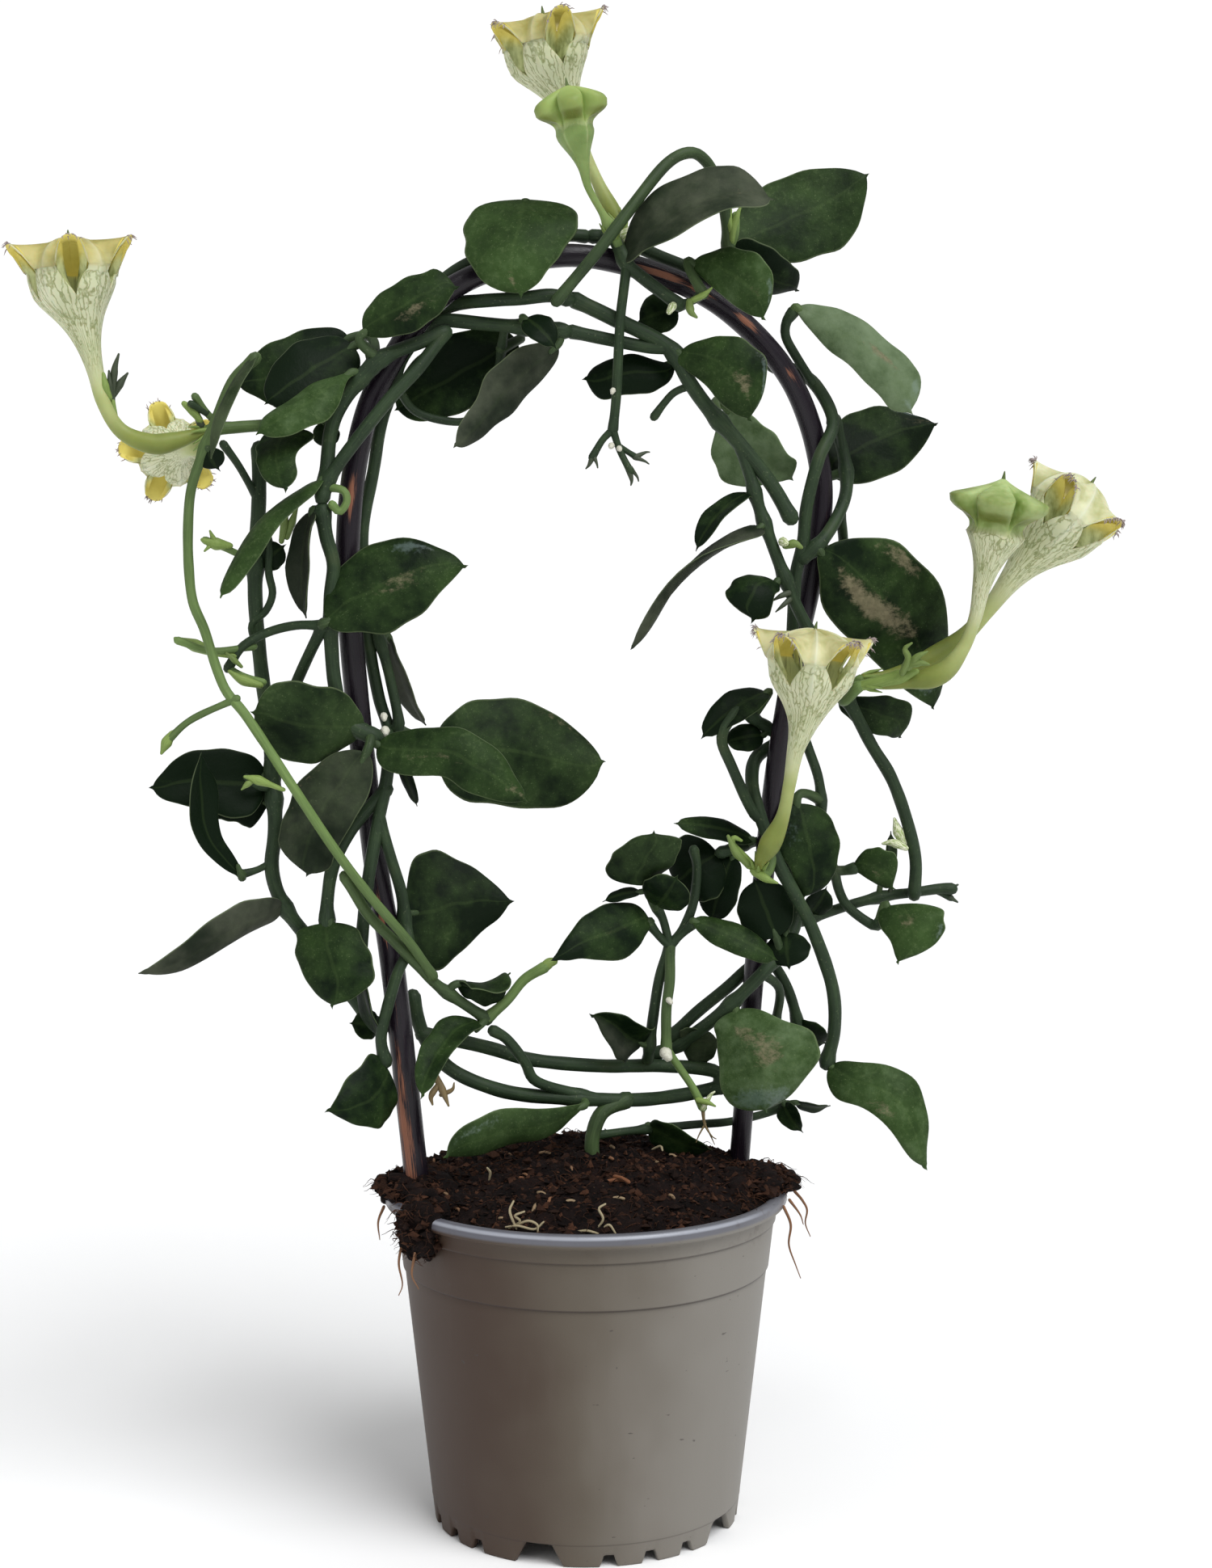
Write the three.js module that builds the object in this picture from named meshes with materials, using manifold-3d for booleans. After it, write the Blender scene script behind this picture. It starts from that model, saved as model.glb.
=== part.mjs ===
// Potted parachute plant on a cane hoop: every length is in millimetres, Z is up, the pot's axis is x = y = 0.
import * as THREE from "three";
import Module from "manifold-3d";

const wasm = await Module();
wasm.setup();

// Driving dimensions of the pot.
const POT_HEIGHT = 100;
const POT_LIP_RADIUS = 60;
const POT_LIP_HEIGHT = 4;
const POT_NECK_RADIUS = 57.2;
const POT_FOOT_RADIUS = 46.5;
const POT_WALL = 1.9;
const POT_FLOOR_UNDER = 9;
const POT_FLOOR_THICK = 1.8;
const POT_LINE_HIGH = 91;
const POT_LINE_LOW = 77;
const POT_LINE_STEP = 0.5;
const POT_SEGMENTS = 36;

// Driving dimensions of the peat.
const PEAT_GAP = 0.45;
const PEAT_BOTTOM = 11.2;
const PEAT_CROWN = 107;
const PEAT_EDGE_FRONT = 97.6;
const PEAT_EDGE_BACK = 102.4;

// Driving dimensions of the cane and the stems.
const CANE_RADIUS_LEFT = 3.65;
const CANE_RADIUS_RIGHT = 3.05;
const CANE_SIDES = 8;
const CANE_STEP = 17;
const STEM_SIDES = 5;
const TWIG_SIDES = 4;
const TWIG_RADIUS = 1.75;
const STEM_STEP = 18;
const MERGE_TOLERANCE = 0.15;
const HOLE_CLEAR = 0.75;

// Driving dimensions of the leaves.
const LEAF_EDGE_HALF = 0.36;
const LEAF_RIB_HALF = 0.72;
const LEAF_WAVE = 0.9;
const STALK_HALF_WIDTH = 1.15;
const STALK_EDGE_HALF = 0.5;
const STALK_RIB_HALF = 1.05;

// Driving dimensions of the flowers.
const FLOWER_SIDES = 10;
const FLOWER_FIRST_GAP = 0.9;
const RIM_RADIUS_OPEN = 12.2;
const RIM_RADIUS_YOUNG = 8.8;
const CANOPY_RADIUS_OPEN = 17;
const CANOPY_RADIUS_YOUNG = 14.2;
const CANOPY_HEIGHT_OPEN = 14.4;
const CANOPY_CORNER_OPEN = 12.8;
const CANOPY_CORNER_YOUNG = 5.5;
const CANOPY_THICK = 0.95;
const TUBE_WALL = 1;

const rad = (degrees) => (degrees * Math.PI) / 180;
const vec = (row) => new THREE.Vector3(row[0], row[1], row[2]);

// A closed solid from a list of corners and a list of triangles, turned outward if it faces in.
function solid(corners, faces) {
  const flat = new Float32Array(corners.length * 3);
  corners.forEach((c, i) => flat.set([c.x, c.y, c.z], i * 3));
  let volume = 0;
  for (const [a, b, c] of faces) {
    volume += corners[a].dot(new THREE.Vector3().crossVectors(corners[b], corners[c]));
  }
  const triVerts = new Uint32Array(faces.flatMap(([a, b, c]) => (volume < 0 ? [a, c, b] : [a, b, c])));
  return new wasm.Manifold(new wasm.Mesh({ numProp: 3, vertProperties: flat, triVerts }));
}

// A closed solid through rings of equal length, with a fan over each end.
// The set "back" lists the sides whose quads are split along the other diagonal.
function ringSolid(rings, back = new Set(), fanPoints = null) {
  const n = rings[0].length;
  const corners = rings.flat();
  const faces = [];
  for (let i = 0; i + 1 < rings.length; i++) {
    for (let k = 0; k < n; k++) {
      const m = (k + 1) % n;
      const a = i * n + k;
      const b = i * n + m;
      const c = (i + 1) * n + m;
      const d = (i + 1) * n + k;
      if (back.has(k)) faces.push([a, b, d], [b, c, d]);
      else faces.push([a, b, c], [a, c, d]);
    }
  }
  const last = (rings.length - 1) * n;
  if (fanPoints) {
    const first = corners.push(fanPoints[0]) - 1;
    const end = corners.push(fanPoints[1]) - 1;
    for (let k = 0; k < n; k++) {
      const m = (k + 1) % n;
      faces.push([first, m, k], [end, last + k, last + m]);
    }
  } else {
    for (let k = 1; k + 1 < n; k++) faces.push([0, k + 1, k], [last, last + k, last + k + 1]);
  }
  return solid(corners, faces);
}

function smoothCurve(points) {
  return new THREE.CatmullRomCurve3(points.map(vec), false, "catmullrom", 0.5);
}

// Stations along a smooth path, each with a frame that doesn't spin.
function stations(points, step) {
  const curve = smoothCurve(points);
  const count = Math.max(Math.min(points.length - 1, 3), Math.round(curve.getLength() / step));
  const places = curve.getSpacedPoints(count);
  return framed(places);
}

function framed(places, firstSide = null) {
  const list = [];
  let side = firstSide;
  for (let i = 0; i < places.length; i++) {
    const before = places[Math.max(0, i - 1)];
    const after = places[Math.min(places.length - 1, i + 1)];
    const along = after.clone().sub(before).normalize();
    if (!side) {
      side = new THREE.Vector3(0, -1, 0);
      if (Math.abs(side.dot(along)) > 0.9) side.set(1, 0, 0);
    }
    side = side.clone().addScaledVector(along, -side.dot(along)).normalize();
    list.push({ at: places[i], along, side, other: new THREE.Vector3().crossVectors(along, side) });
  }
  return list;
}

function circle(frame, radius, sides, turn = 0) {
  const ring = [];
  for (let k = 0; k < sides; k++) {
    const angle = turn + (2 * Math.PI * k) / sides;
    ring.push(
      frame.at
        .clone()
        .addScaledVector(frame.side, radius * Math.cos(angle))
        .addScaledVector(frame.other, radius * Math.sin(angle)),
    );
  }
  return ring;
}

// A round bar along a smooth path; its radius runs evenly from the first value to the second.
function bar(points, radiusStart, radiusEnd, sides, step) {
  const list = stations(points, step);
  const rings = list.map((frame, i) => {
    const t = i / (list.length - 1);
    return circle(frame, radiusStart + (radiusEnd - radiusStart) * t, sides);
  });
  return ringSolid(rings);
}

// A solid of revolution about Z, from a profile that starts and ends on the axis.
function turned(profile, segments) {
  const inner = profile.slice(1, -1);
  const rings = inner.map(([r, z]) => {
    const ring = [];
    for (let k = 0; k < segments; k++) {
      const angle = (2 * Math.PI * k) / segments;
      ring.push(new THREE.Vector3(r * Math.cos(angle), r * Math.sin(angle), z));
    }
    return ring;
  });
  const ends = [profile[0], profile[profile.length - 1]].map(([, z]) => new THREE.Vector3(0, 0, z));
  return ringSolid(rings, new Set(), ends);
}

// Pot

function potWallRadius(z) {
  const t = z / (POT_HEIGHT - POT_LIP_HEIGHT);
  return POT_FOOT_RADIUS + (POT_NECK_RADIUS - POT_FOOT_RADIUS) * t;
}

function potOutline(grow) {
  const s = POT_LINE_STEP;
  const wall = (z, inset) => potWallRadius(z) - inset + grow;
  return [
    [wall(0, 2 * s), 0 - grow],
    [wall(POT_LINE_LOW - 0.5, 2 * s), POT_LINE_LOW - 0.5],
    [wall(POT_LINE_LOW, s), POT_LINE_LOW],
    [wall(POT_LINE_HIGH - 0.5, s), POT_LINE_HIGH - 0.5],
    [wall(POT_LINE_HIGH, 0), POT_LINE_HIGH],
    [wall(POT_HEIGHT - POT_LIP_HEIGHT, 0), POT_HEIGHT - POT_LIP_HEIGHT - grow],
    [POT_LIP_RADIUS - 0.7 + grow, POT_HEIGHT - POT_LIP_HEIGHT - 0.3 - grow],
    [POT_LIP_RADIUS + grow, POT_HEIGHT - POT_LIP_HEIGHT + 0.8],
    [POT_LIP_RADIUS + grow, POT_HEIGHT - 1.2],
    [POT_LIP_RADIUS - 1 + grow, POT_HEIGHT + grow],
  ];
}

const innerTop = potWallRadius(POT_HEIGHT - 1.6) - POT_WALL;
const floorTop = POT_FLOOR_UNDER + POT_FLOOR_THICK;
const innerFloor = potWallRadius(floorTop) - POT_WALL - 0.8;

// Notches round the foot: centre angle from the front, width at the foot, width at the top, height.
const WIDE_NOTCHES = [-94, -17, 60, 132, 204];
const SMALL_NOTCHES = [-72, -57, -43, 8.7, 24.4, 40, 80, 96, 112, 152, 168, 184, 224, 236, 248];

function notch(angle, low, high, height) {
  const section = [
    [-low / 2, -1],
    [low / 2, -1],
    [high / 2, height],
    [-high / 2, height],
  ];
  const rings = [POT_FOOT_RADIUS - 8, POT_FOOT_RADIUS + 6].map((r) =>
    section.map(([side, z]) => {
      const p = new THREE.Vector3(side, -r, z);
      return p.applyAxisAngle(new THREE.Vector3(0, 0, 1), rad(angle));
    }),
  );
  return ringSolid(rings);
}

function makePot() {
  const profile = [
    [0, POT_FLOOR_UNDER],
    [potWallRadius(POT_FLOOR_UNDER) - POT_WALL - 1, POT_FLOOR_UNDER],
    [potWallRadius(0) - POT_WALL - 1, 0],
    ...potOutline(0),
    [POT_NECK_RADIUS - 1, POT_HEIGHT],
    [innerTop, POT_HEIGHT - 1.6],
    [innerFloor, floorTop],
    [0, floorTop],
  ];
  const cuts = [
    ...WIDE_NOTCHES.map((a) => notch(a, 15, 8, 6.2)),
    ...SMALL_NOTCHES.map((a) => notch(a, 5.2, 3, 3.4)),
  ];
  return turned(profile, POT_SEGMENTS).subtract(wasm.Manifold.union(cuts));
}

// Peat

// Height of the peat's surface: lower at the front edge, heaped in the middle and at the back.
function peatHeight(x, y) {
  const r = Math.hypot(x, y) / 54;
  const edge = PEAT_EDGE_FRONT + ((PEAT_EDGE_BACK - PEAT_EDGE_FRONT) * (y + 54)) / 108;
  const heap = edge + (PEAT_CROWN - edge) * Math.pow(Math.max(0, 1 - Math.pow(r, 2.4)), 0.8);
  const lumps =
    1.1 * Math.sin(0.21 * x + 1.3) * Math.cos(0.17 * y - 0.4) +
    0.8 * Math.sin(0.11 * x - 0.19 * y + 2.1) +
    0.5 * Math.cos(0.33 * x + 0.27 * y);
  return heap + lumps * Math.max(0, 1 - Math.pow(r, 3));
}

// Lumps of peat that lie over the rim: centre, half sizes and a turn about Z.
const SPILLS = [
  [[-49, -10, 101], [12.5, 15, 5.4], 14],
  [[-46, -34, 95], [9.5, 9, 11], 38],
  [[50, -2, 100.4], [12, 17, 5.2], -8],
];

function lump([centre, half, turn]) {
  const ball = new THREE.IcosahedronGeometry(1, 1);
  ball.deleteAttribute("normal");
  ball.deleteAttribute("uv");
  const position = ball.getAttribute("position");
  const corners = [];
  const faces = [];
  const known = new Map();
  for (let i = 0; i < position.count; i += 3) {
    const face = [];
    for (let j = 0; j < 3; j++) {
      const p = new THREE.Vector3().fromBufferAttribute(position, i + j);
      const key = [p.x, p.y, p.z].map((v) => Math.round(v * 1e4)).join();
      if (!known.has(key)) {
        const rough = 1 + 0.1 * Math.sin(7 * p.x + 3 * p.y) + 0.08 * Math.cos(6 * p.z - 4 * p.y);
        const q = p.clone().multiplyScalar(rough).multiply(vec(half));
        q.applyAxisAngle(new THREE.Vector3(0, 0, 1), rad(turn)).add(vec(centre));
        known.set(key, corners.push(q) - 1);
      }
      face.push(known.get(key));
    }
    faces.push(face);
  }
  return solid(corners, faces);
}

function makePeat() {
  const slope = (innerTop - innerFloor) / (POT_HEIGHT - 1.6 - floorTop);
  const wallAt = (z, gap) => innerTop - (POT_HEIGHT - 1.6 - z) * slope - gap;
  const ringAt = (r, heightOf) => {
    const ring = [];
    for (let k = 0; k < POT_SEGMENTS; k++) {
      const angle = (2 * Math.PI * k) / POT_SEGMENTS;
      const x = r * Math.cos(angle);
      const y = r * Math.sin(angle);
      ring.push(new THREE.Vector3(x, y, heightOf(x, y)));
    }
    return ring;
  };
  const rings = [ringAt(wallAt(PEAT_BOTTOM, PEAT_GAP + 0.05), () => PEAT_BOTTOM)];
  for (const r of [wallAt(97, PEAT_GAP + 0.05), 46, 34, 18]) rings.push(ringAt(r, peatHeight));
  const ends = [new THREE.Vector3(0, 0, PEAT_BOTTOM), new THREE.Vector3(0, 0, peatHeight(0, 0))];
  const plug = ringSolid(rings, new Set(), ends);
  const mouth = POT_NECK_RADIUS - 1 - PEAT_GAP;
  const above = POT_HEIGHT + PEAT_GAP;
  const outside = turned([[0, -1], ...potOutline(PEAT_GAP), [mouth, above], [0, above]], POT_SEGMENTS);
  const inside = turned(
    [[0, -5], [wallAt(-5, PEAT_GAP), -5], [wallAt(98.4, PEAT_GAP), 98.4], [mouth, above], [mouth, 120], [0, 120]],
    POT_SEGMENTS,
  );
  const spills = wasm.Manifold.union(SPILLS.map(lump)).subtract(outside.subtract(inside));
  return spills.add(plug).subtract(wasm.Manifold.union(peatHoles()));
}

// Cane hoop

const CANE = [
  [-47, -14, 80], [-49, -14, 100], [-56, -14, 167], [-61, -14, 200], [-66, -15, 249],
  [-68, -16, 284], [-65, -15, 316], [-57, -13, 339], [-38, -9, 363], [-6, -2, 373],
  [25, 5, 367], [46, 10, 355], [62, 13, 336], [70, 15, 310], [68, 14, 284],
  [63, 13, 260], [57, 12, 224], [53, 13, 187], [50, 17, 149], [47, 20, 104], [45, 20, 83],
];

function makeCane() {
  return bar(CANE, CANE_RADIUS_LEFT, CANE_RADIUS_RIGHT, CANE_SIDES, CANE_STEP);
}

// Stems and leaves: each strand is a radius, its path and, where it bends round the cane, a shorter step.
// Each leaf is base, tip, width, place of the widest part, roll, curl, fold and twist.

const FOLIAGE = {
  stem_base: {
    strands: [
      [2.3, [[3, 2, 93], [2, 2, 106], [2, 2, 114], [5, 3, 121], [12, 6, 124]]],
      [2.1, [[-51, -4, 157], [-48, -5, 146], [-41, -7, 137], [-30, -6, 131], [-16, -2, 127], [12, 6, 124],
        [28, 17, 123], [41, 20, 125]]],
      [2.1, [[-48, -5, 146], [-39, -3, 144], [-28, -1, 141], [-16, 2, 137], [4, 8, 134], [23, 18, 132],
        [39, 20, 130], [41, 20, 125]]],
      [1.6, [[-27, -10, 148], [-23, -8, 145], [-18, -6, 138], [-15, -4, 132], [-6, 0, 128], [4, 3, 125]]],
      [1.3, [[2, 2, 114], [16, 10, 114], [33, 26, 112], [44, 30, 112], [55, 32, 114], [62, 31, 117]]],
    ],
    leaves: [
      [[-1, -3, 124], [-41, -26, 114], 17, 0.58, -20, 3, -12, 0],
      [[19, 12, 115], [38, 10, 108], 9, 0.5, 35, 2, 10, 0],
      [[61, 29, 118], [67, 28, 109], 8, 0.4, 30, 1, 10, 0],
      [[65, 30, 118], [76, 35, 116], 6, 0.5, 50, 1, 10, 0],
    ],
  },
  shoot_free: {
    strands: [
      [1.6, [[-68, -30, 196], [-62, -27, 185], [-55, -24, 177], [-48, -21, 169], [-42, -17, 162], [-29, -12, 152]]],
      [1.4, [[-44, -20, 166], [-50, -25, 176], [-55, -29, 183], [-62, -31, 192], [-71, -34, 205], [-82, -38, 223],
        [-89, -38, 234], [-95, -38, 243], [-100, -37, 249], [-103, -36, 256], [-106, -36, 266], [-109, -37, 274],
        [-110, -37, 284], [-110, -37, 295], [-109, -37, 305], [-106, -37, 314], [-102, -37, 324], [-97, -37, 335],
        [-91, -36, 341]]],
      [1.0, [[-97, -38, 247], [-110, -36, 241], [-117, -35, 235]]],
      [1.5, [[-29, -12, 152], [-23, -10, 157], [-18, -9, 163], [-12, -11, 167]]],
    ],
    leaves: [
      [[-91, -38, 341], [-102, -46, 313], 10, 0.5, 50, 3, -12, 0],
      [[-104, -38, 316], [-101, -36, 310], 8, 0.45, 20, 1, 0, 0],
      [[-37, -16, 163], [-22, -9, 165], 15, 0.5, 58, 2, 45, 0],
      [[-30, -14, 151], [-47, -30, 132], 15, 0.5, 32, 3, 18, 0],
    ],
  },
  stem_left_low: {
    strands: [
      [1.9, [[-56, -21, 230], [-57, -21, 222], [-59, -22, 212], [-62, -23, 195], [-64, -21, 180], [-65, -20, 167]]],
      [1.9, [[-57, -21, 220], [-66, -21, 210], [-72, -22, 199], [-74, -22, 188], [-74, -23, 181]]],
      [1.7, [[-59, -22, 212], [-56, -21, 201], [-53.2, -17.2, 190], [-52.4, -14.8, 181], [-51, -18.3, 174], [-54, -22, 167],
        [-57, -22, 157], [-59, -21, 148], [-58, -20, 141]]],
    ],
    leaves: [
      [[-73, -24, 182], [-72, -30, 158], 24, 0.5, 10, 3, -14, 0],
      [[-52, -13, 183], [-21, 0, 185], 34, 0.42, 172, 3, 10, 0],
      [[-58, -20, 140], [-74, -34, 129], 22, 0.5, -15, 3, -12, 0],
      [[-65, -19, 166], [-59, -18, 147], 10, 0.5, 60, 1, 10, 0],
    ],
  },
  stem_left_outer: {
    strands: [
      [2.1, [[-93, -15, 317], [-93, -17, 302], [-94, -18, 286], [-94, -19, 272], [-93, -16, 254], [-91, -16, 237],
        [-90, -17, 225], [-89, -20, 209], [-90, -21, 199], [-89, -21, 192], [-86, -20, 185], [-81, -16, 177],
        [-75, -10, 167], [-68, -7, 157], [-61, -7, 149], [-53.6, -4.2, 154.4]]],
      [1.1, [[-102, -23, 318], [-98, -21, 312], [-94, -17, 304]]],
      [1.1, [[-94, -17, 298], [-90, -19, 291], [-90, -20, 282], [-89, -20, 276], [-91, -20, 271], [-95, -20, 267],
        [-94, -18, 261]]],
      [1.0, [[-90, -21, 199], [-94, -22, 197], [-98, -24, 196]]],
      [0.9, [[-90, -17, 220], [-93, -24, 221], [-96, -27, 224]]],
      [1.0, [[-94, -18, 286], [-98, -21, 287], [-102, -24, 289], [-107, -26, 291]]],
    ],
    leaves: [
      [[-92, -17, 224], [-124, -27, 221], 17, 0.5, 12, 2, 8, 0],
      [[-98, -27, 196], [-107, -38, 232], 14, 0.66, 25, -3, 12, 30],
      [[-92, -12, 215], [-108, -13, 222], 19, 0.5, 8, 1, 6, 0],
      [[-87, -21, 186], [-124, -47, 171], 15, 0.52, -38, 5, -10, 0],
      [[-92, -18, 284], [-85, -19, 290], 9, 0.5, -10, 1, 10, 0],
      [[-61, -7, 149], [-69, -14, 151], 9, 0.5, 20, 1, 0, 0],
    ],
  },
  stem_left_mid: {
    strands: [
      [2.0, [[-74, -25, 299], [-73, -25, 292], [-71, -25, 284], [-72, -25, 274], [-72, -24, 263], [-71, -24, 250],
        [-68, -24, 240], [-60, -22, 235]]],
      [1.8, [[-57, -7, 331], [-59, -9, 323], [-61, -9, 311], [-64, -10, 295], [-64, -11, 279], [-63, -10, 264],
        [-60, -9, 246], [-57, -11, 236], [-60, -22, 235]]],
      [1.5, [[-64, -11, 275], [-59, -11, 261], [-56, -11, 249], [-54, -12, 238], [-57, -11, 236]]],
      [1.7, [[-74, -25, 267], [-78, -21, 260], [-83, -17, 250], [-87, -15, 240]]],
      [1.3, [[-74, -25, 267], [-82, -24, 267], [-90, -24, 265], [-97, -26, 261], [-101, -26, 255]]],
      [1.0, [[-94, -24, 261], [-105, -30, 260], [-114, -33, 263]]],
      [0.9, [[-101, -26, 255], [-97, -27, 253], [-91, -27, 251]]],
    ],
    leaves: [
      [[-73, -28, 268], [-33, -24, 284], 26, 0.5, -14, 3, -12, 0],
      [[-57, -7, 263], [-47, 1, 237], 11, 0.5, 55, 2, 10, 0],
      [[-44, -1, 233], [6, 17, 225], 34, 0.48, 168, 3, 10, 0],
      [[-59, -24, 233], [-16, -28, 217], 17, 0.5, -16, 7, -14, 0],
      [[-63, -23, 238], [-94, -33, 243], 25, 0.52, -12, 3, -10, 0],
      [[-62, -27, 231], [-79, -31, 196], 22, 0.6, 6, 0, -6, 0],
      [[-77, -25, 299], [-79, -24, 269], 12, 0.45, 50, 2, 20, 0],
      [[-54, -16, 230], [-49, -9, 214], 5, 0.6, 40, 0, 0, 0],
    ],
  },
  stem_left_top: {
    strands: [
      [2.0, [[-40, -13, 350], [-47, -16, 347], [-56, -20, 343], [-62, -20, 338], [-69, -20, 329], [-72, -21, 321],
        [-73, -23, 309], [-74, -25, 303]]],
      [1.9, [[-40, -13, 350], [-47, -18, 340], [-55, -21, 331], [-63, -23, 321], [-69, -24, 313], [-73, -24, 307],
        [-74, -25, 303]]],
      [1.1, [[-73, -24, 306], [-68, -26, 305], [-67, -26, 302], [-69, -26, 299], [-71, -27, 301]]],
      [1.7, [[-69, -20, 329], [-78, -18, 326], [-88, -17, 324], [-97, -21, 323], [-105, -25, 322]]],
      [1.0, [[-102, -23.6, 322.4], [-106, -26, 326.5], [-109, -28, 331]]],
      [1.3, [[-100, -21, 323], [-104, -19, 323], [-107, -16, 320]]],
      [0.9, [[-106, -26, 326.5], [-110, -29, 329]]],
    ],
    leaves: [
      [[-68, -5, 349], [-101, -12, 336], 23, 0.42, 8, 2, -8, 0],
      [[-66, -14, 346], [-90, -25, 329], 20, 0.45, 16, 2, -8, 0],
      [[-66, -22, 338], [-91, -36, 320], 14, 0.5, 30, 3, -16, 0],
      [[-81, -24, 322], [-83, -36, 304], 17, 0.45, 12, 3, -10, 0],
      [[-74, -25, 308], [-100, -46, 275], 13, 0.55, 58, 5, -18, 0],
      [[-62, -23, 349], [-35, -23, 362], 19, 0.55, -12, 3, -14, 0],
      [[-75, -11, 325], [-73, -9, 317], 8, 0.5, 10, 1, 0, 0],
    ],
  },
  stem_top_left: {
    strands: [
      [2.0, [[-56, -7, 333], [-53, -6, 343], [-47, -6, 351], [-42, -7, 354], [-29, -8, 353], [-17, -7, 352],
        [-6, -6, 351]]],
      [2.0, [[-47, -6, 351], [-44, -3.5, 356], [-37, -4, 359], [-29, -8, 359.5], [-18, -10, 360], [-10, -8, 361],
        [-5, -7, 360]]],
      [1.8, [[-47, -6, 351], [-46, -2, 360], [-40, -1, 367], [-31, -2, 372], [-17, 0, 377], [-5, 1, 379],
        [0, 3, 379]]],
      [1.2, [[-55, -5, 337], [-50, -3, 329], [-42, -1, 326], [-34, 1, 326], [-28, 1, 331], [-25, -1, 342],
        [-23, -7, 353]]],
    ],
    leaves: [
      [[-17, -6, 386], [-18, -19, 359], 32, 0.5, 4, 6, -10, 0],
      [[-20, 3, 349], [-56, 5, 329], 22, 0.5, 8, 0, 10, 0],
      [[-8, -7, 347], [-37, -23, 317], 15, 0.45, 150, 4, 8, 0],
      [[-17, -12, 354], [-8, -17, 345], 9, 0.5, -20, 2, 10, 0],
    ],
  },
  arch_top: {
    strands: [
      [1.9, [[2, 3, 379], [6, 2.5, 379], [8, -1.5, 378], [10, -5, 374.4], [12, -5.6, 370], [15, -4.6, 367.6],
        [20, -3, 364], [27, -2, 359]]],
      [1.7, [[-8, -14, 359], [-2, -14, 366], [4, -15, 373], [13, -12, 385], [23, -6, 398], [30, -3, 402],
        [35, 1, 400], [39, 7, 394], [41, 10, 386], [42, 14, 377], [42, 15, 368], [42, 14, 359.5]]],
      [1.2, [[10, -5, 374.4], [8.9, -6.8, 377]]],
      [1.2, [[10, 5.5, 378], [10.9, 6.1, 380.2]]],
      [1.9, [[6, 2.5, 379], [13, 8, 377.5], [22, 10, 374], [30, 12, 371], [36, 13, 367], [41, 14, 362],
        [47, 16, 353], [52, 18, 346]]],
      [1.4, [[12, -5.6, 370], [11, -7, 362], [10, -7, 353], [9, -7, 333], [8, -6, 323]]],
      [1.0, [[8, -6, 323], [5, -6, 320], [2, -6, 315]]],
      [1.0, [[8, -6, 323], [10, -6, 317], [13, -7, 311]]],
      [0.8, [[10, -6, 318], [15, -4, 315]]],
      [1.1, [[42, 14, 377], [44, 12, 381], [44, 11, 386]]],
      [1.1, [[27, -2, 359], [31, -3, 360], [34, -3, 362]]],
    ],
    leaves: [
      [[11, -6, 371], [54, -8, 388], 16, 0.52, -55, 9, 14, 0],
      [[45, 17, 378], [85, 30, 401], 29, 0.5, 170, 3, 8, 0],
      [[31, 0, 371], [52, -7, 354], 20, 0.5, 16, 3, -14, 0],
      [[39, 18, 374], [64, 27, 366], 17, 0.5, 40, 4, -14, 0],
      [[27, 11, 359], [15, 12, 355], 13, 0.5, 20, 1, 0, 0],
    ],
  },
  stem_top_right: {
    strands: [
      [2.2, [[-3, -5, 360], [8, -3, 355], [24, -1, 347], [30, -3, 337], [36, -1, 329], [45, 0, 319], [54, 2, 308],
        [60, 2, 298]]],
      [1.9, [[-4, -5, 351], [7, -2, 349], [18, -1, 347], [24, -1, 347]]],
      [1.1, [[31, -2, 336], [26, -1, 334], [23, 0, 331], [20, 0, 327]]],
      [1.8, [[45, 0, 319], [48, 1, 310], [51, 1, 300], [55, 1, 289], [61, 1.5, 274], [66, 2, 264]]],
    ],
    leaves: [
      [[27, -3, 345], [48, -10, 325], 22, 0.5, 12, 4, -14, 0],
      [[26, 6, 343], [-1, 5, 338], 15, 0.5, 15, 3, -8, 0],
      [[42, 14, 330], [62, 18, 309], 23, 0.5, 15, 2, 10, 0],
      [[48, 2, 305], [32, -7, 288], 9, 0.5, 50, 3, 15, 0],
      [[51, -1, 295], [13, -22, 260], 10, 0.3, 40, 5, 10, 120],
      [[56, 0, 279], [48, -8, 267], 16, 0.55, 12, 4, -14, 0],
    ],
  },
  stem_right_top: {
    strands: [
      [1.9, [[56, 20, 343], [62, 20, 342], [68.5, 17, 337], [73.2, 12.6, 326], [68.5, 7, 315], [65, 6, 301],
        [64, 6, 290], [62, 7, 281], [61.5, 7.5, 270], [61, 7, 259]], 10],
      [1.9, [[74, 23, 327], [77, 22, 318], [78, 19, 308], [75.5, 12.5, 300], [70, 6.5, 291.5], [64, 6, 286]]],
      [1.4, [[68, 17, 337], [62, 15, 346], [59, 12, 351], [59, 10, 355], [61, 9, 358]]],
      [1.5, [[75.5, 12.5, 300], [77, 18, 291], [77, 22, 284]]],
      [1.3, [[73.2, 12.6, 326], [75, 18, 327], [77, 22, 318]]],
    ],
    leaves: [
      [[62, 8, 359], [96, 6, 328], 20, 0.5, -10, 4, -14, 0],
      [[74, 24.5, 311], [107, 33, 327], 23, 0.45, 165, 2, 10, 0],
      [[69, 5, 288], [106, 28, 240], 37, 0.42, -12, 4, -12, 0],
    ],
  },
  stem_right_mid: {
    strands: [
      [2.0, [[67, 18, 262], [67, 20, 252], [63, 20, 240], [59, 19, 232], [51.3, 15.5, 226.5], [49.5, 9, 220],
        [51, 4, 212], [55, 3, 201], [58, 3, 194], [63, 5, 185], [68, 8, 175], [74, 11, 158], [75, 12, 145],
        [73, 14, 134]], 10],
      [1.9, [[67, 20, 252], [74, 19, 250], [79, 18, 243], [86, 18, 230], [92, 17, 220], [97, 19, 207],
        [100, 21, 195], [100, 23, 184]]],
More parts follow.
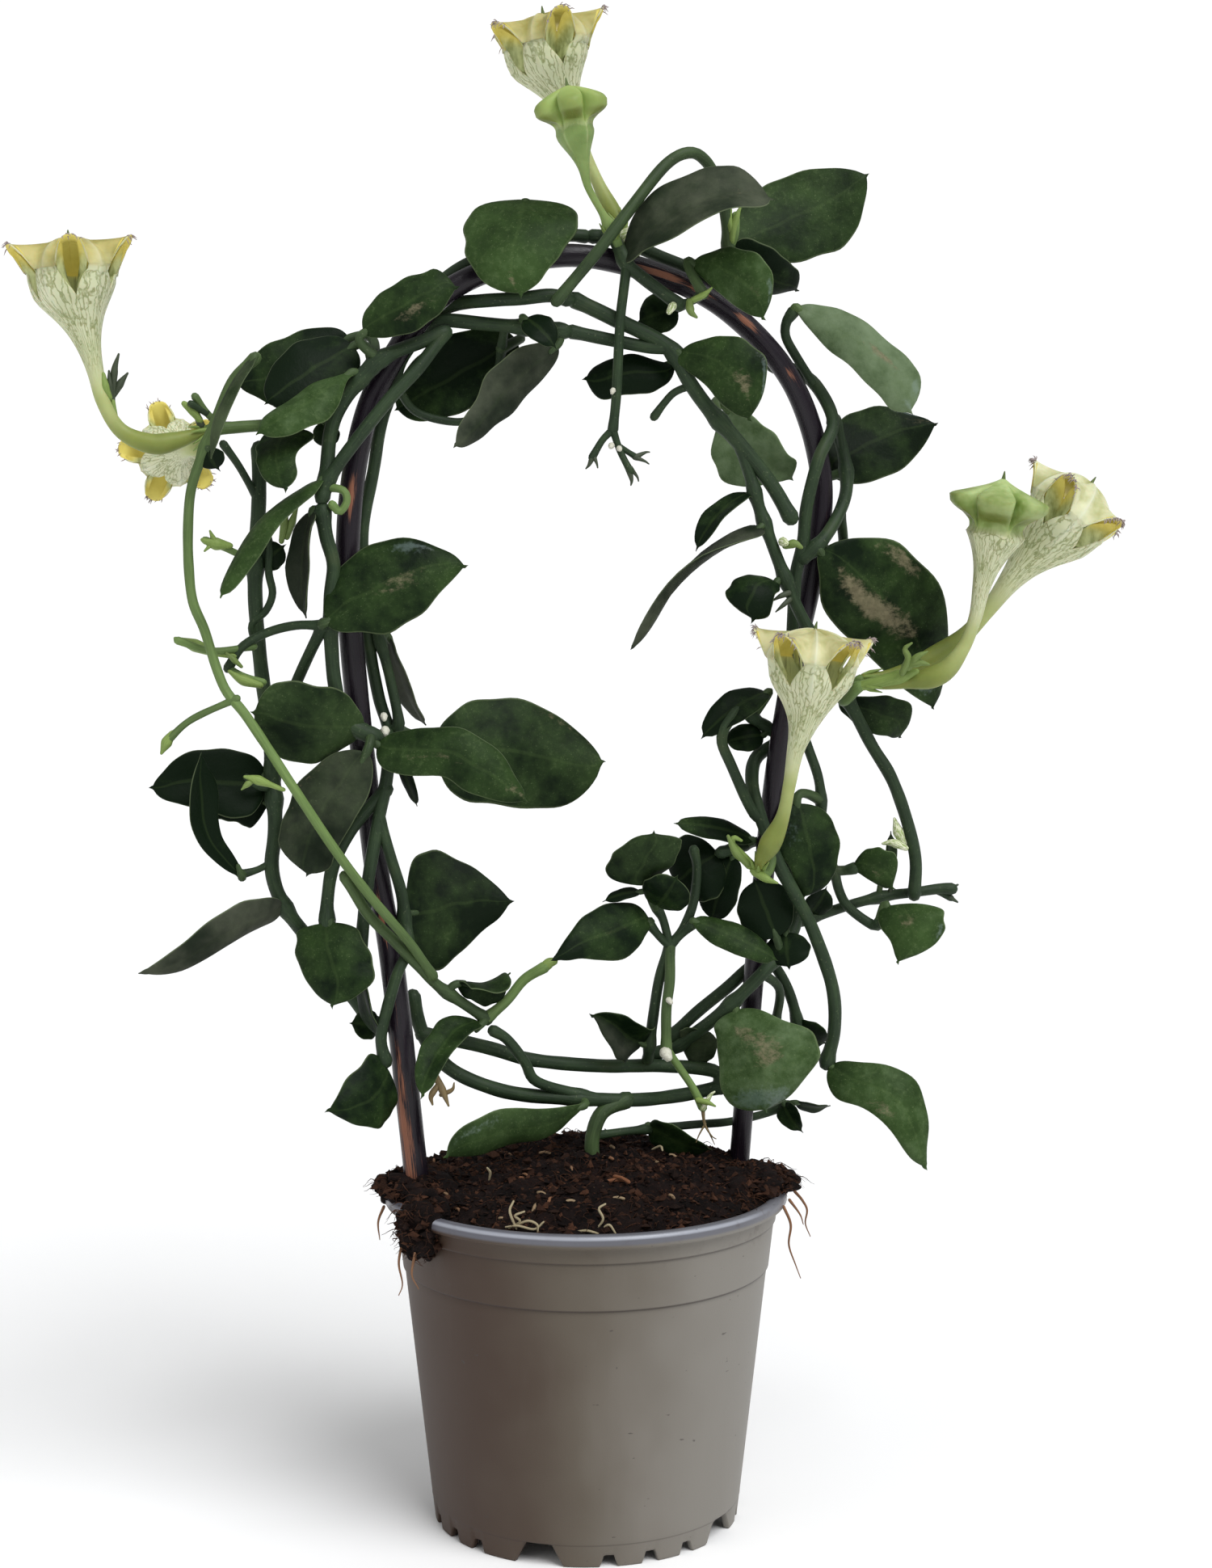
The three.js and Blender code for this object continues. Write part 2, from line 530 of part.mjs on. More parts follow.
      [1.6, [[59, 19, 232], [52, 16, 237], [46, 8, 241], [43, 3, 239], [40, 0, 233], [43, 0, 225], [49, 2, 212],
        [52, 4, 209]]],
      [1.5, [[63, 20, 240], [67, 19, 229], [70, 17, 220], [71, 17, 211], [71, 17, 201], [75, 17, 192]]],
      [1.5, [[75, 17, 192], [77, 21, 185], [80, 21, 180], [87, 20, 175], [89, 18, 176]]],
      [1.4, [[75, 17, 192], [78, 17, 192], [81, 15, 193]]],
      [1.6, [[76.5, 18.5, 246.5], [77, 12, 243.5], [80.6, 5, 248.2]]],
      [1.3, [[77, 12, 243.5], [79, 10.5, 247], [81.3, 8.4, 250.2]]],
      [1.3, [[56, 3, 200], [54, -0.5, 193.5], [51.2, -3.4, 193.8]]],
    ],
    leaves: [
      [[77, 24, 244], [97, 35, 231], 19, 0.5, 15, 3, 10, 0],
      [[54, 14, 246], [34, 1, 233], 11, 0.5, 35, 3, 10, 0],
      [[53, 16, 233], [41, 11, 231], 9, 0.5, 20, 2, -10, 0],
      [[63, 10, 213], [65, 9, 184], 21, 0.5, -15, 3, -6, 0],
      [[80, 15, 193], [93, 12, 187], 14, 0.5, 16, 2, -12, 0],
      [[91, 18, 181], [94, 11, 164], 21, 0.42, 8, 3, -12, 0],
      [[74, 13, 133], [103, 8, 102], 20, 0.5, -14, 8, -12, 0],
    ],
  },
  branch_right: {
    strands: [
      [1.6, [[18.6, 13.6, 134.9], [19, 9, 139], [20, 7, 148], [22, 6, 161], [25, 4, 171]]],
      [1.6, [[25, 4, 171], [25, 3, 161], [24, 3, 152], [24, 4, 140]]],
      [1.2, [[24, 4, 140], [28, 5, 134], [32, 5, 128], [35, 5, 122]]],
      [1.3, [[25, 4, 171], [23, 2, 179], [21, 0, 183]]],
      [1.2, [[25, 4, 171], [22, 2, 174], [19, 0, 178]]],
      [1.4, [[25, 4, 171], [29, 5, 176], [32, 4, 184], [33, 3, 194], [32, 1, 200]]],
      [1.2, [[25, 4, 171], [28, 4, 174], [32, 2, 178]]],
    ],
    leaves: [
      [[19, 0, 179], [-10, -18, 170], 17, 0.52, 14, 3, -12, 0],
      [[19, -3, 190], [20, -8, 207], 24, 0.5, 4, 2, -10, 0],
      [[21, -2, 184], [27, -10, 194], 15, 0.5, 5, 2, -10, 0],
      [[32, 1, 179], [57, 1, 167], 10, 0.5, -35, 2, -12, 0],
      [[17, 7, 141], [1, -4, 152], 15, 0.5, -10, 1, 28, 0],
      [[16, -2, 188], [5, -2, 185], 5, 0.5, 50, 1, 0, 0],
    ],
  },
  stem_right_foot: {
    strands: [
      [2.0, [[21, 21, 135], [29, 19, 139], [41, 10, 150], [53, 9, 162], [60, 15, 169], [64, 21, 178],
        [61, 21, 191], [58, 20, 201], [57, 19, 211]], 12],
      [1.9, [[26, 19, 141], [34, 17, 149], [43, 19, 156], [49, 21.5, 161], [56, 24, 166], [60, 25, 173]]],
      [1.6, [[55, 23.5, 165.5], [60, 24, 158], [63, 24, 151], [65, 25, 143]]],
      [1.4, [[53, 9, 162], [58.5, 15, 156], [58, 22, 145]]],
      [1.5, [[58, 20, 201], [51, 18.5, 200.5], [45, 11, 199.5], [40.5, 8, 198.6]]],
      [1.6, [[56, 24, 172], [64, 24, 175], [70, 24, 177], [83, 26, 181], [93, 28, 183], [100, 27, 184],
        [108, 28, 185], [112, 28, 185]]],
      [0.9, [[106, 28, 185], [112, 29, 182]]],
    ],
    leaves: [
      [[45, 8, 151], [54, 1, 121], 29, 0.62, 8, 7, -14, 0],
      [[64, 25, 144], [74, 28, 137], 11, 0.5, 20, 2, 10, 0],
      [[29, 20, 138], [41, 18, 140], 11, 0.5, 30, 1, 10, 0],
      [[39.5, 10.5, 198], [26, 12, 188], 22, 0.5, 15, 3, -8, 0],
      [[50, 12, 202], [26, 1, 208], 8, 0.5, 40, 2, -8, 0],
      [[44, 10, 197], [38, 12, 177], 13, 0.5, 25, 2, 8, 0],
      [[68, 23, 178], [73, 19, 187], 9, 0.5, 20, 1, 10, 0],
      [[60, 10, 174], [61, 8, 163], 14, 0.5, 12, 1, -8, 0],
      [[57, 8, 173], [50, 7, 191], 17, 0.5, 4, 0, -4, 0],
      [[90, 27, 186], [93, 26, 203], 7, 0.5, 50, 1, 10, 0],
    ],
  },
};

const BLADE_STATIONS_LARGE = [0, 0.14, 0.42, 0.78, 1];
const BLADE_STATIONS_SMALL = [0, 0.24, 0.74, 1];
const BLADE_STATIONS_TINY = [0, 0.5, 1];

// Half width of a blade along its length, 1 at its widest part.
function bladeWidth(t, peak) {
  if (t <= 0 || t >= 1) return 0;
  return Math.pow(Math.pow(t / peak, peak) * Math.pow((1 - t) / (1 - peak), 1 - peak), 1.05);
}

function leafRing(at, side, up, half, fold, edge, rib, liftLeft, liftRight) {
  const left = at
    .clone()
    .addScaledVector(side, -half * Math.cos(fold))
    .addScaledVector(up, half * Math.sin(fold) + liftLeft);
  const right = at
    .clone()
    .addScaledVector(side, half * Math.cos(fold))
    .addScaledVector(up, half * Math.sin(fold) + liftRight);
  return [
    left.clone().addScaledVector(up, edge),
    at.clone().addScaledVector(up, rib),
    right.clone().addScaledVector(up, edge),
    right.clone().addScaledVector(up, -edge),
    at.clone().addScaledVector(up, -rib),
    left.clone().addScaledVector(up, -edge),
  ];
}

function nearestOn(lines, point) {
  let best = null;
  let least = Infinity;
  for (const line of lines) {
    for (let i = 0; i + 1 < line.length; i++) {
      const near = new THREE.Line3(line[i], line[i + 1]).closestPointToPoint(point, true, new THREE.Vector3());
      const gap = near.distanceTo(point);
      if (gap < least) {
        least = gap;
        best = near;
      }
    }
  }
  return best;
}

function leaf([baseRow, tipRow, width, peak, roll, curl, foldDegrees, twist], root, number) {
  const base = vec(baseRow);
  const tip = vec(tipRow);
  const axis = tip.clone().sub(base).normalize();
  const front = new THREE.Vector3(0, -1, 0);
  front.addScaledVector(axis, -front.dot(axis)).normalize().applyAxisAngle(axis, rad(roll));
  const across = new THREE.Vector3().crossVectors(axis, front);
  const fold = rad(foldDegrees);
  const rings = [];
  const stalk = base.clone().sub(root);
  if (stalk.length() > 0.8) {
    const along = stalk.clone().normalize();
    let side = across.clone().addScaledVector(along, -across.dot(along));
    if (side.length() < 0.3) side = axis.clone().addScaledVector(along, -axis.dot(along)).negate();
    side.normalize();
    const up = new THREE.Vector3().crossVectors(side, along).normalize();
    if (up.dot(front) < 0 && Math.abs(up.dot(front)) > 0.2) {
      up.negate();
      side.negate();
    }
    const spots = stalk.length() > 9 ? [0, 0.55] : [0];
    for (const t of spots) {
      const at = root.clone().addScaledVector(stalk, t);
      rings.push(leafRing(at, side, up, STALK_HALF_WIDTH, 0, STALK_EDGE_HALF, STALK_RIB_HALF, 0, 0));
    }
  }
  const list = width >= 14 ? BLADE_STATIONS_LARGE : width >= 9 ? BLADE_STATIONS_SMALL : BLADE_STATIONS_TINY;
  for (const t of list) {
    const turn = rad(twist * t);
    const up = front.clone().applyAxisAngle(axis, turn);
    const side = across.clone().applyAxisAngle(axis, turn);
    const at = base.clone().lerp(tip, t).addScaledVector(up, curl * 4 * t * (1 - t));
    const half = Math.max((width / 2) * bladeWidth(t, peak), t < 0.5 ? STALK_HALF_WIDTH : 0.45);
    const wave = LEAF_WAVE * Math.min(1, width / 20) * (half / (width / 2));
    const rib = t === 0 ? 0.95 : t === 1 ? 0.4 : LEAF_RIB_HALF;
    rings.push(
      leafRing(
        at,
        side,
        up,
        half,
        t === 0 ? 0 : fold,
        LEAF_EDGE_HALF,
        rib,
        wave * Math.sin(9 * t + number),
        wave * Math.sin(9 * t + 2.2 * number + 1.5),
      ),
    );
  }
  return ringSolid(rings, new Set([1, 4]));
}

function makeFoliage({ strands, leaves }) {
  const parts = strands.map(([radius, path, step = STEM_STEP]) => {
    const sides = radius < TWIG_RADIUS ? TWIG_SIDES : STEM_SIDES;
    return bar(path, radius, radius, sides, step);
  });
  const lines = strands.map(([, path, step = STEM_STEP]) => stations(path, step).map((s) => s.at));
  leaves.forEach((row, i) => parts.push(leaf(row, nearestOn(lines, vec(row[0])), i)));
  return wasm.Manifold.union(parts);
}

// Holes in the peat for the cane's two legs and the stem at the crown.
function peatHoles() {
  const left = CANE.slice(0, 3);
  const right = CANE.slice(-3);
  const crown = FOLIAGE.stem_base.strands[0][1].slice(0, 3);
  const grow = (points, radius) => {
    const ends = points.map(vec);
    const first = ends[0].clone().addScaledVector(ends[0].clone().sub(ends[1]).normalize(), 0.5);
    return bar([first.toArray(), ...points.slice(1)], radius, radius, 10, 30);
  };
  return [
    grow(left, CANE_RADIUS_LEFT + HOLE_CLEAR),
    grow([...right].reverse(), CANE_RADIUS_RIGHT + HOLE_CLEAR + 0.3),
    grow(crown, 2.3 + HOLE_CLEAR + 0.2),
  ];
}

// Flowers: a path from the stalk through the swollen base and the tube to the rim, then the apex of the canopy.
// The spin turns the five corners of the canopy; 0 sets a corner towards the front.

const FLOWERS = {
  flower_top_open: {
    path: [[11.2, 6.3, 380.9], [9.6, 7.6, 384.2], [7.2, 9, 388], [3.2, 10.2, 396.3], [-1.6, 10.1, 407.2],
      [-9.7, 8.3, 429.3], [-12.3, 7.7, 443.2]],
    spin: 36,
    young: false,
  },
  flower_top_young: {
    path: [[8.9, -6.8, 377], [7.2, -9, 380], [4.9, -11.5, 383.8], [1, -15.4, 390.4], [-0.4, -17.7, 396.1],
      [-2.6, -19.2, 404.8], [-4.4, -19.6, 414.9]],
    spin: 0,
    young: true,
  },
  flower_left_open: {
    path: [[-105, -24.5, 322.1], [-115.2, -28, 318.6], [-121.5, -29.5, 317.9], [-129.4, -30.3, 321.4],
      [-134, -31.5, 329.2], [-136.4, -31.1, 338.8], [-141.3, -32.4, 360.2], [-142.6, -32.7, 374.2]],
    spin: 0,
    young: false,
  },
  flower_left_back: {
    path: [[-107.1, -15.7, 320.3], [-110.9, -10.4, 318.5], [-115.3, -1, 317.5], [-119.5, 10.5, 317.1],
      [-124.6, 24.9, 317.7], [-127.9, 38.7, 318.5]],
    spin: 20,
    young: true,
  },
  flower_right_young: {
    path: [[81.5, 4.6, 248.8], [90.7, 3.2, 249.1], [104.1, 2, 252], [110.7, 1.2, 259.4], [114.2, 0.5, 268.5],
      [115.8, -1.1, 277.9], [118.8, -3.3, 292.2], [121.2, -4.7, 309]],
    spin: 0,
    young: true,
  },
  flower_right_open: {
    path: [[82, 8.6, 250.8], [91, 10.5, 251.6], [102.4, 12.8, 255.8], [112.3, 14.6, 262.2], [120.4, 15.8, 269.8],
      [128.5, 16.5, 279], [141.7, 17.5, 292.9], [150.8, 18, 308.5]],
    spin: 30,
    young: false,
  },
  flower_front_open: {
    path: [[50.8, -4.6, 194.3], [51.1, -7.6, 197.7], [53.6, -9.6, 202.6], [57.2, -11.6, 210.9],
      [59.1, -13.4, 220.9], [60.5, -15.1, 230], [62.9, -16.5, 240.1], [64.4, -17.1, 251.5], [65.9, -17.8, 265.9]],
    spin: 36,
    young: false,
  },
};

// Outer radius of the tube against the share of its length; past FLARE_FROM it is a share of the rim's radius.
const TUBE_SHAPE = [
  [0, 1.1],
  [0.16, 2.2],
  [0.28, 3.4],
  [0.38, 3],
  [0.49, 2],
  [0.7, 2.4],
  [0.81, 0.35],
  [0.91, 0.64],
  [1, 1],
];
const FLARE_FROM = 0.75;
const MOUTH_DEPTH = 0.91;
const CLAW_ANGLES = [28, 44];
const HOOD_ANGLES = [0, 14, 28, 44, 58];

function makeFlower({ path, spin, young }) {
  const rim = young ? RIM_RADIUS_YOUNG : RIM_RADIUS_OPEN;
  const reach = young ? CANOPY_RADIUS_YOUNG : CANOPY_RADIUS_OPEN;
  const cornerHeight = young ? CANOPY_CORNER_YOUNG : CANOPY_CORNER_OPEN;
  const apex = vec(path[path.length - 1]);
  const centre = vec(path[path.length - 2]);
  const height = young ? apex.distanceTo(centre) : CANOPY_HEIGHT_OPEN;
  const axis = apex.sub(centre).normalize();
  const front = new THREE.Vector3(0, -1, 0);
  front.addScaledVector(axis, -front.dot(axis)).normalize().applyAxisAngle(axis, rad(spin));
  const other = new THREE.Vector3().crossVectors(axis, front);

  const curve = smoothCurve(path.slice(0, -1));
  const length = curve.getLength();
  const shares = TUBE_SHAPE.map(([s]) => (s === 0 ? FLOWER_FIRST_GAP / length : s));
  const frames = framed(shares.map((s) => curve.getPointAt(s)).reverse(), front).reverse();
  frames[frames.length - 1] = { at: centre, along: axis.clone().negate(), side: front, other: other.clone().negate() };

  const corners = [];
  const faces = [];
  const put = (p) => corners.push(p) - 1;
  const loop = [];
  for (let k = 0; k < 5; k++) for (const a of CLAW_ANGLES) loop.push(72 * k + a);
  const ringOf = (frame, radius) =>
    loop.map((angle) =>
      put(
        frame.at
          .clone()
          .addScaledVector(frame.side, radius * Math.cos(rad(angle)))
          .addScaledVector(frame.other, -radius * Math.sin(rad(angle))),
      ),
    );
  const join = (low, high, skip = () => false) => {
    const n = low.length;
    for (let k = 0; k < n; k++) {
      const m = (k + 1) % n;
      if (!skip(k)) faces.push([low[k], low[m], high[m]], [low[k], high[m], high[k]]);
    }
  };
  const radiusOf = ([s, r]) => (s > FLARE_FROM ? r * rim : r);
  const outer = TUBE_SHAPE.map((row, i) => ringOf(frames[i], radiusOf(row)));
  const inner = TUBE_SHAPE.map((row, i) => (row[0] >= MOUTH_DEPTH ? ringOf(frames[i], radiusOf(row) - TUBE_WALL) : null))
    .filter(Boolean)
    .reverse();
  for (let i = 0; i + 1 < outer.length; i++) join(outer[i], outer[i + 1]);
  const rimOut = outer[outer.length - 1];
  const rimIn = inner[0];
  join(rimOut, rimIn, (k) => k % 2 === 0);
  for (let i = 0; i + 1 < inner.length; i++) join(inner[i], inner[i + 1]);
  const foot = put(curve.getPointAt(shares[0]));
  const throat = put(curve.getPointAt(0.84));
  const deep = inner[inner.length - 1];
  for (let k = 0; k < loop.length; k++) {
    const m = (k + 1) % loop.length;
    faces.push([foot, outer[0][m], outer[0][k]], [throat, deep[k], deep[m]]);
  }

  const hoodAt = (angle, r, z) =>
    centre
      .clone()
      .addScaledVector(front, r * Math.cos(rad(angle)))
      .addScaledVector(other, r * Math.sin(rad(angle)))
      .addScaledVector(axis, z);
  const around = [];
  for (let k = 0; k < 5; k++) for (const a of HOOD_ANGLES) around.push({ angle: 72 * k + a, a, k });
  const edgeOf = ({ a }) => {
    if (a === 0) return [reach, cornerHeight];
    if (a === 14 || a === 58) return [(reach + rim) / 2 + 0.3, cornerHeight * 0.62];
    return [rim, 0];
  };
  const sheet = (sink, inset, rimRing) => {
    const top = put(hoodAt(0, 0, height - sink));
    const middle = around.map((spot) => {
      const [r, z] = edgeOf(spot);
      return put(hoodAt(spot.angle, r * 0.55, height - (height - z) * Math.pow(0.55, 2.2) - sink));
    });
    const edge = around.map((spot) => {
      const claw = CLAW_ANGLES.indexOf(spot.a);
      if (claw >= 0) return rimRing[2 * spot.k + claw];
      const [r, z] = edgeOf(spot);
      return put(hoodAt(spot.angle, r - inset, z - sink));
    });
    return { top, middle, edge };
  };
  const upper = sheet(0, 0, rimOut);
  const lower = sheet(CANOPY_THICK, 0.4, rimIn);
  const n = around.length;
  for (let k = 0; k < n; k++) {
    const m = (k + 1) % n;
    faces.push([upper.top, upper.middle[k], upper.middle[m]], [lower.top, lower.middle[m], lower.middle[k]]);
    faces.push([upper.middle[k], upper.edge[k], upper.edge[m]], [upper.middle[k], upper.edge[m], upper.middle[m]]);
    faces.push([lower.middle[k], lower.edge[m], lower.edge[k]], [lower.middle[k], lower.middle[m], lower.edge[m]]);
    if (around[k].a !== CLAW_ANGLES[0]) {
      faces.push([upper.edge[k], lower.edge[k], lower.edge[m]], [upper.edge[k], lower.edge[m], upper.edge[m]]);
    }
  }
  return solid(corners, faces);
}

// Assembly

const COLOURS = {
  pot: 0x6f655e,
  peat: 0x2b1d16,
  cane_hoop: 0x2a2025,
  foliage: 0x27422f,
  flower: 0xc9d08a,
};

function geometryOf(body) {
  const mesh = body.simplify(MERGE_TOLERANCE).getMesh();
  const geometry = new THREE.BufferGeometry();
  geometry.setAttribute("position", new THREE.BufferAttribute(new Float32Array(mesh.vertProperties), 3));
  geometry.setIndex([...mesh.triVerts]);
  geometry.computeVertexNormals();
  return geometry;
}

const plant = new THREE.Group();
plant.name = "potted_parachute_plant";

function addNode(name, body, colour, roughness) {
  const material = new THREE.MeshStandardMaterial({ color: colour, roughness, metalness: 0 });
  const mesh = new THREE.Mesh(geometryOf(body), material);
  mesh.name = name;
  plant.add(mesh);
}

addNode("pot", makePot(), COLOURS.pot, 0.55);
addNode("peat", makePeat(), COLOURS.peat, 0.95);
addNode("cane_hoop", makeCane(), COLOURS.cane_hoop, 0.3);
for (const [name, rows] of Object.entries(FOLIAGE)) addNode(name, makeFoliage(rows), COLOURS.foliage, 0.45);
for (const [name, rows] of Object.entries(FLOWERS)) addNode(name, makeFlower(rows), COLOURS.flower, 0.5);

export default plant;
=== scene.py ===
import bpy
import numpy as np
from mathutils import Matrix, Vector


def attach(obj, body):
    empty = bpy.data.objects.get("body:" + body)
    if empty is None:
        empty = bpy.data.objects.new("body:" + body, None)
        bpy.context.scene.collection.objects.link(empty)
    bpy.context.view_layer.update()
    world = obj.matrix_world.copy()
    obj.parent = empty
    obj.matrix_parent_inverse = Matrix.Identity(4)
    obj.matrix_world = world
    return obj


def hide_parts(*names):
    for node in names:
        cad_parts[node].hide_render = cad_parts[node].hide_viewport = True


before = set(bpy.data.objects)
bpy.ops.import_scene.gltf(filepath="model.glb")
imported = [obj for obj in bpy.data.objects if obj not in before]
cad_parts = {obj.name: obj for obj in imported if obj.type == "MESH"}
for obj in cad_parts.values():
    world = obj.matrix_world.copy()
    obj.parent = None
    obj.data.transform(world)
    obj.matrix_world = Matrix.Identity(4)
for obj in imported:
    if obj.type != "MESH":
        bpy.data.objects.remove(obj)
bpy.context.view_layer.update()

MM = 0.001
BODY = "root"
TO_FRONT = np.array([0.0, -1.0, 0.0])

# Camera, as a place in millimetres and a downward pitch in degrees
CAMERA_PLACE = (6.0, -747.0, 285.5)
CAMERA_PITCH = 5.03
CAMERA_CLIP = (0.01, 60)
LENS_LENGTH = 58.45
SENSOR_LONG_SIDE = 36.0

# Lights: name, direction, strength, spread in degrees and colour. The floor's reach is in metres.
LAMPS = (
    ("window_light", (-0.5, 0.62, -1.0), 2.5, 40, (0.985, 0.99, 1.0)),
    ("room_light", (0.7, 0.6, -0.5), 0.3, 40, (1.0, 0.97, 0.93)),
)
ROOM_STRENGTH = 0.48
BACKDROP_STRENGTH = 1.05
FLOOR_REACH = 12.0

# Bars: angles at which an end is rounded, and the directions that a bar's side is chosen from
ROUND_END = np.radians([78, 45])
SIDE_CHOICES = ((0, -1, 0), (1, 0, 0), (0, 0, 1), (1, -1, 0), (1, 1, 0), (0, -1, 1))

# Pot
POT_HEIGHT = 100.0
POT_LIP_RADIUS = 60.0
POT_LIP_HEIGHT = 4.0
POT_LIP_UNDER = POT_HEIGHT - POT_LIP_HEIGHT
POT_NECK_RADIUS = 57.2
POT_FOOT_RADIUS = 46.5
POT_WALL = 1.9
POT_FLOOR_UNDER = 9.0
POT_FLOOR_THICK = 1.8
POT_FLOOR_TOP = POT_FLOOR_UNDER + POT_FLOOR_THICK
POT_LINE_HIGH = 91.0
POT_LINE_LOW = 77.0
POT_LINE_FOOT = 6.6
POT_LINE_STEP = 0.5
POT_COLUMNS = 480
# Painted shade: a thin dark line under each step, where the wall above overhangs. Height, half width and
# strength
POT_LINE_SHADES = ((POT_LINE_LOW, 0.5, 0.75), (POT_LINE_HIGH, 0.45, 0.6), (POT_LINE_FOOT, 0.35, 0.4))
# The lip: inset from its radius with the rise above its underside, and with the drop below its top
LIP_OUTSIDE = ((1.2, -0.2), (0.4, 0.1), (0.05, 0.7), (0, 1.6))
LIP_ROUND = ((0, 1.5), (0.22, 0.8), (0.8, 0.22), (1.6, 0), (2.8, 0.1))
# Notches round the foot: width at the foot, width at the top and height, then centre angles from the front
WIDE_NOTCH = (15.0, 8.0, 6.2)
SMALL_NOTCH = (5.2, 3.0, 3.4)
WIDE_NOTCHES = (-94, -17, 60, 132, 204)
SMALL_NOTCHES = (-72, -57, -43, 8.7, 24.4, 40, 80, 96, 112, 152, 168, 184, 224, 236, 248)
RIM_TICKS = (-17.0, -7.8, 1.8, 10.2, 28.0)
TICK_HEIGHT = 0.22
TICK_HALF_WIDTH = 0.5

# Peat: the heap falls to its edge over the span
PEAT_CROWN = 107.0
PEAT_EDGE_FRONT = 97.6
PEAT_EDGE_BACK = 102.4
PEAT_SPAN = 54
PEAT_RADIUS = 55.0
PEAT_SKIRT = 90.0
PEAT_GRID = (150, 300)
# Lumps over the rim: centre, half sizes and a turn about Z. The second hangs down outside.
SPILLS = (
    ((-49, -10, 101), (12.5, 15, 5.4), 14),
    ((-45.5, -34, 96), (8, 7.5, 9), 38),
    ((50, -2, 100.4), (12, 17, 5.2), -8),
)
HANGING_SPILL = 1
SPILL_GRID = (44, 72)
HEAP_CRUMBS = 2600
SPILL_CRUMBS = 1300
LARGEST_CRUMB = 2.4
HEAP_THREADS = 1100
SPILL_THREADS = 620
CHIP_PLACES = ((8.2, -24, 106.6), (10.5, -25, 107.4), (-10, -36, 104.2))
LARGE_CHIPS = 2
SMALL_CHIPS = 26
HANGING_ROOTS = (
    [(62, -6, 99), (64, -8, 97), (65.5, -8, 94), (65, -8, 90), (66.5, -8, 86)],
    [(58, -16, 97), (60, -17, 92), (59.5, -17, 86), (61.5, -17, 80), (63, -17, 76)],
    [(60, -12, 98), (63, -13, 94), (64, -13, 91)],
    [(-59, -16, 97), (-60.5, -18, 93), (-60, -19, 88)],
    [(-52, -36, 92), (-53, -37, 86), (-52, -37, 80), (-53, -38, 77)],
    [(-48, -40, 90), (-49, -41, 84), (-47, -42, 80)],
)
PALE_ROOTS = (
    [(-21, -49, 99.4), (-18, -50, 101.6), (-19.4, -50.6, 103.4), (-16.8, -50.8, 104.6)],
    [(-22, -50, 100), (-18.6, -51, 100.6), (-14, -51.6, 99.8), (-11.4, -51.4, 101.8)],
    [(-20, -49, 99.6), (-16, -51, 102), (-13.2, -51.8, 101.2), (-13, -52, 99.2)],
    [(-19, -50.4, 99.6), (-20.8, -50.8, 104.6), (-19.8, -50.2, 107.4)],
    [(3.4, -50, 99.4), (5.2, -50.4, 102.4), (4, -50, 105.2), (5.8, -49.4, 106.4)],
    [(4.4, -50.6, 99), (6.8, -51.4, 101), (8.6, -52, 98.8)],
    [(-3, -51.4, 98.8), (0.4, -52.4, 99.6), (3.8, -52.4, 98.8)],
    [(-28, -20, 106), (-27.6, -21, 108.4), (-28.4, -22, 110)],
    [(20, 10, 108), (22.4, 8, 109.4), (23, 6, 108.6)],
)

# Cane and stems
CANE_RADIUS_LEFT = 3.65
CANE_RADIUS_RIGHT = 3.05
CANE = [
    (-47, -14, 80), (-49, -14, 100), (-56, -14, 167), (-61, -14, 200), (-66, -15, 249),
    (-68, -16, 284), (-65, -15, 316), (-57, -13, 339), (-38, -9, 363), (-6, -2, 373),
    (25, 5, 367), (46, 10, 355), (62, 13, 336), (70, 15, 310), (68, 14, 284),
    (63, 13, 260), (57, 12, 224), (53, 13, 187), (50, 17, 149), (47, 20, 104), (45, 20, 83),
]
# Worn streaks on the cane: place, reach across and reach along
CANE_STREAKS = (
    ((-52.5, -18, 118), 2.2, 30), ((-50.6, -17.4, 104), 1.8, 14), ((-57.5, -17.6, 152), 1.1, 12),
    ((-66.5, -18.5, 304), 1.3, 8), ((22, 1.2, 368), 1.2, 9), ((34, 3.5, 363), 1.1, 6),
    ((47, 6.5, 355), 1.3, 5), ((60, 10, 340), 1.0, 4), ((-59, -17.5, 182), 0.9, 8),
)
CANE_SIDES = 28
STEM_SIDES = 12
STEM_STEP = 1.6

# Leaves. A blade at least LARGE_BLADE wide has the larger grid of rows and half columns. One with its base
# within SEATED of a strand has no stalk. UNDER_DULL and PLAIN_BRIGHT are looks.
LEAF_HALF_THICK = 0.85
LEAF_WAVE = 0.9
LEAF_SCALLOP = 0.022
LARGE_BLADE = 14
LARGE_BLADE_GRID = (40, 13)
SMALL_BLADE_GRID = (22, 9)
UNDER_DULL = 0.05
PLAIN_BRIGHT = -0.3
STALK_RADIUS = 1.2
STALK_PULL = 0.55
SEATED = 0.6
MUCRO_LENGTH = 1.7

# Flowers. Each has corners over its windows and claws between them, CORNER_TURN and CLAW_TURN in degrees from
# one corner to the next and to the claw.
CORNERS = 5
CORNER_TURN = 72.0
CLAW_TURN = 36
KEEL_WIDTH = 4.5
YOUNG_KEEL = 0.35
WINDOW_COLUMNS = 15
TUBE_ROWS = 58
ROOF_ROWS = 20
CAP_ROWS = 34
STALK_END = 1.1
SEPAL_ROW = 5
RIM_OVERRUN = 6
CLAW_RISE = 4.6
CLAW_FLARE = 0.9
ARCH_FOOT = CLAW_RISE + 0.7
ARCH_HEIGHT = 2.2
ARCH_DEPTH = 2.3
NOTCH_DROP = 2.4
ROOF_BOW = 0.9
FOLD_DEPTH = 2.7
FOLD_ROWS = 4
PETAL_WALL = 0.5
FOLD_WALL = 0.3
LINING_YELLOWS = (0xB4A442, 0xD9CC70)

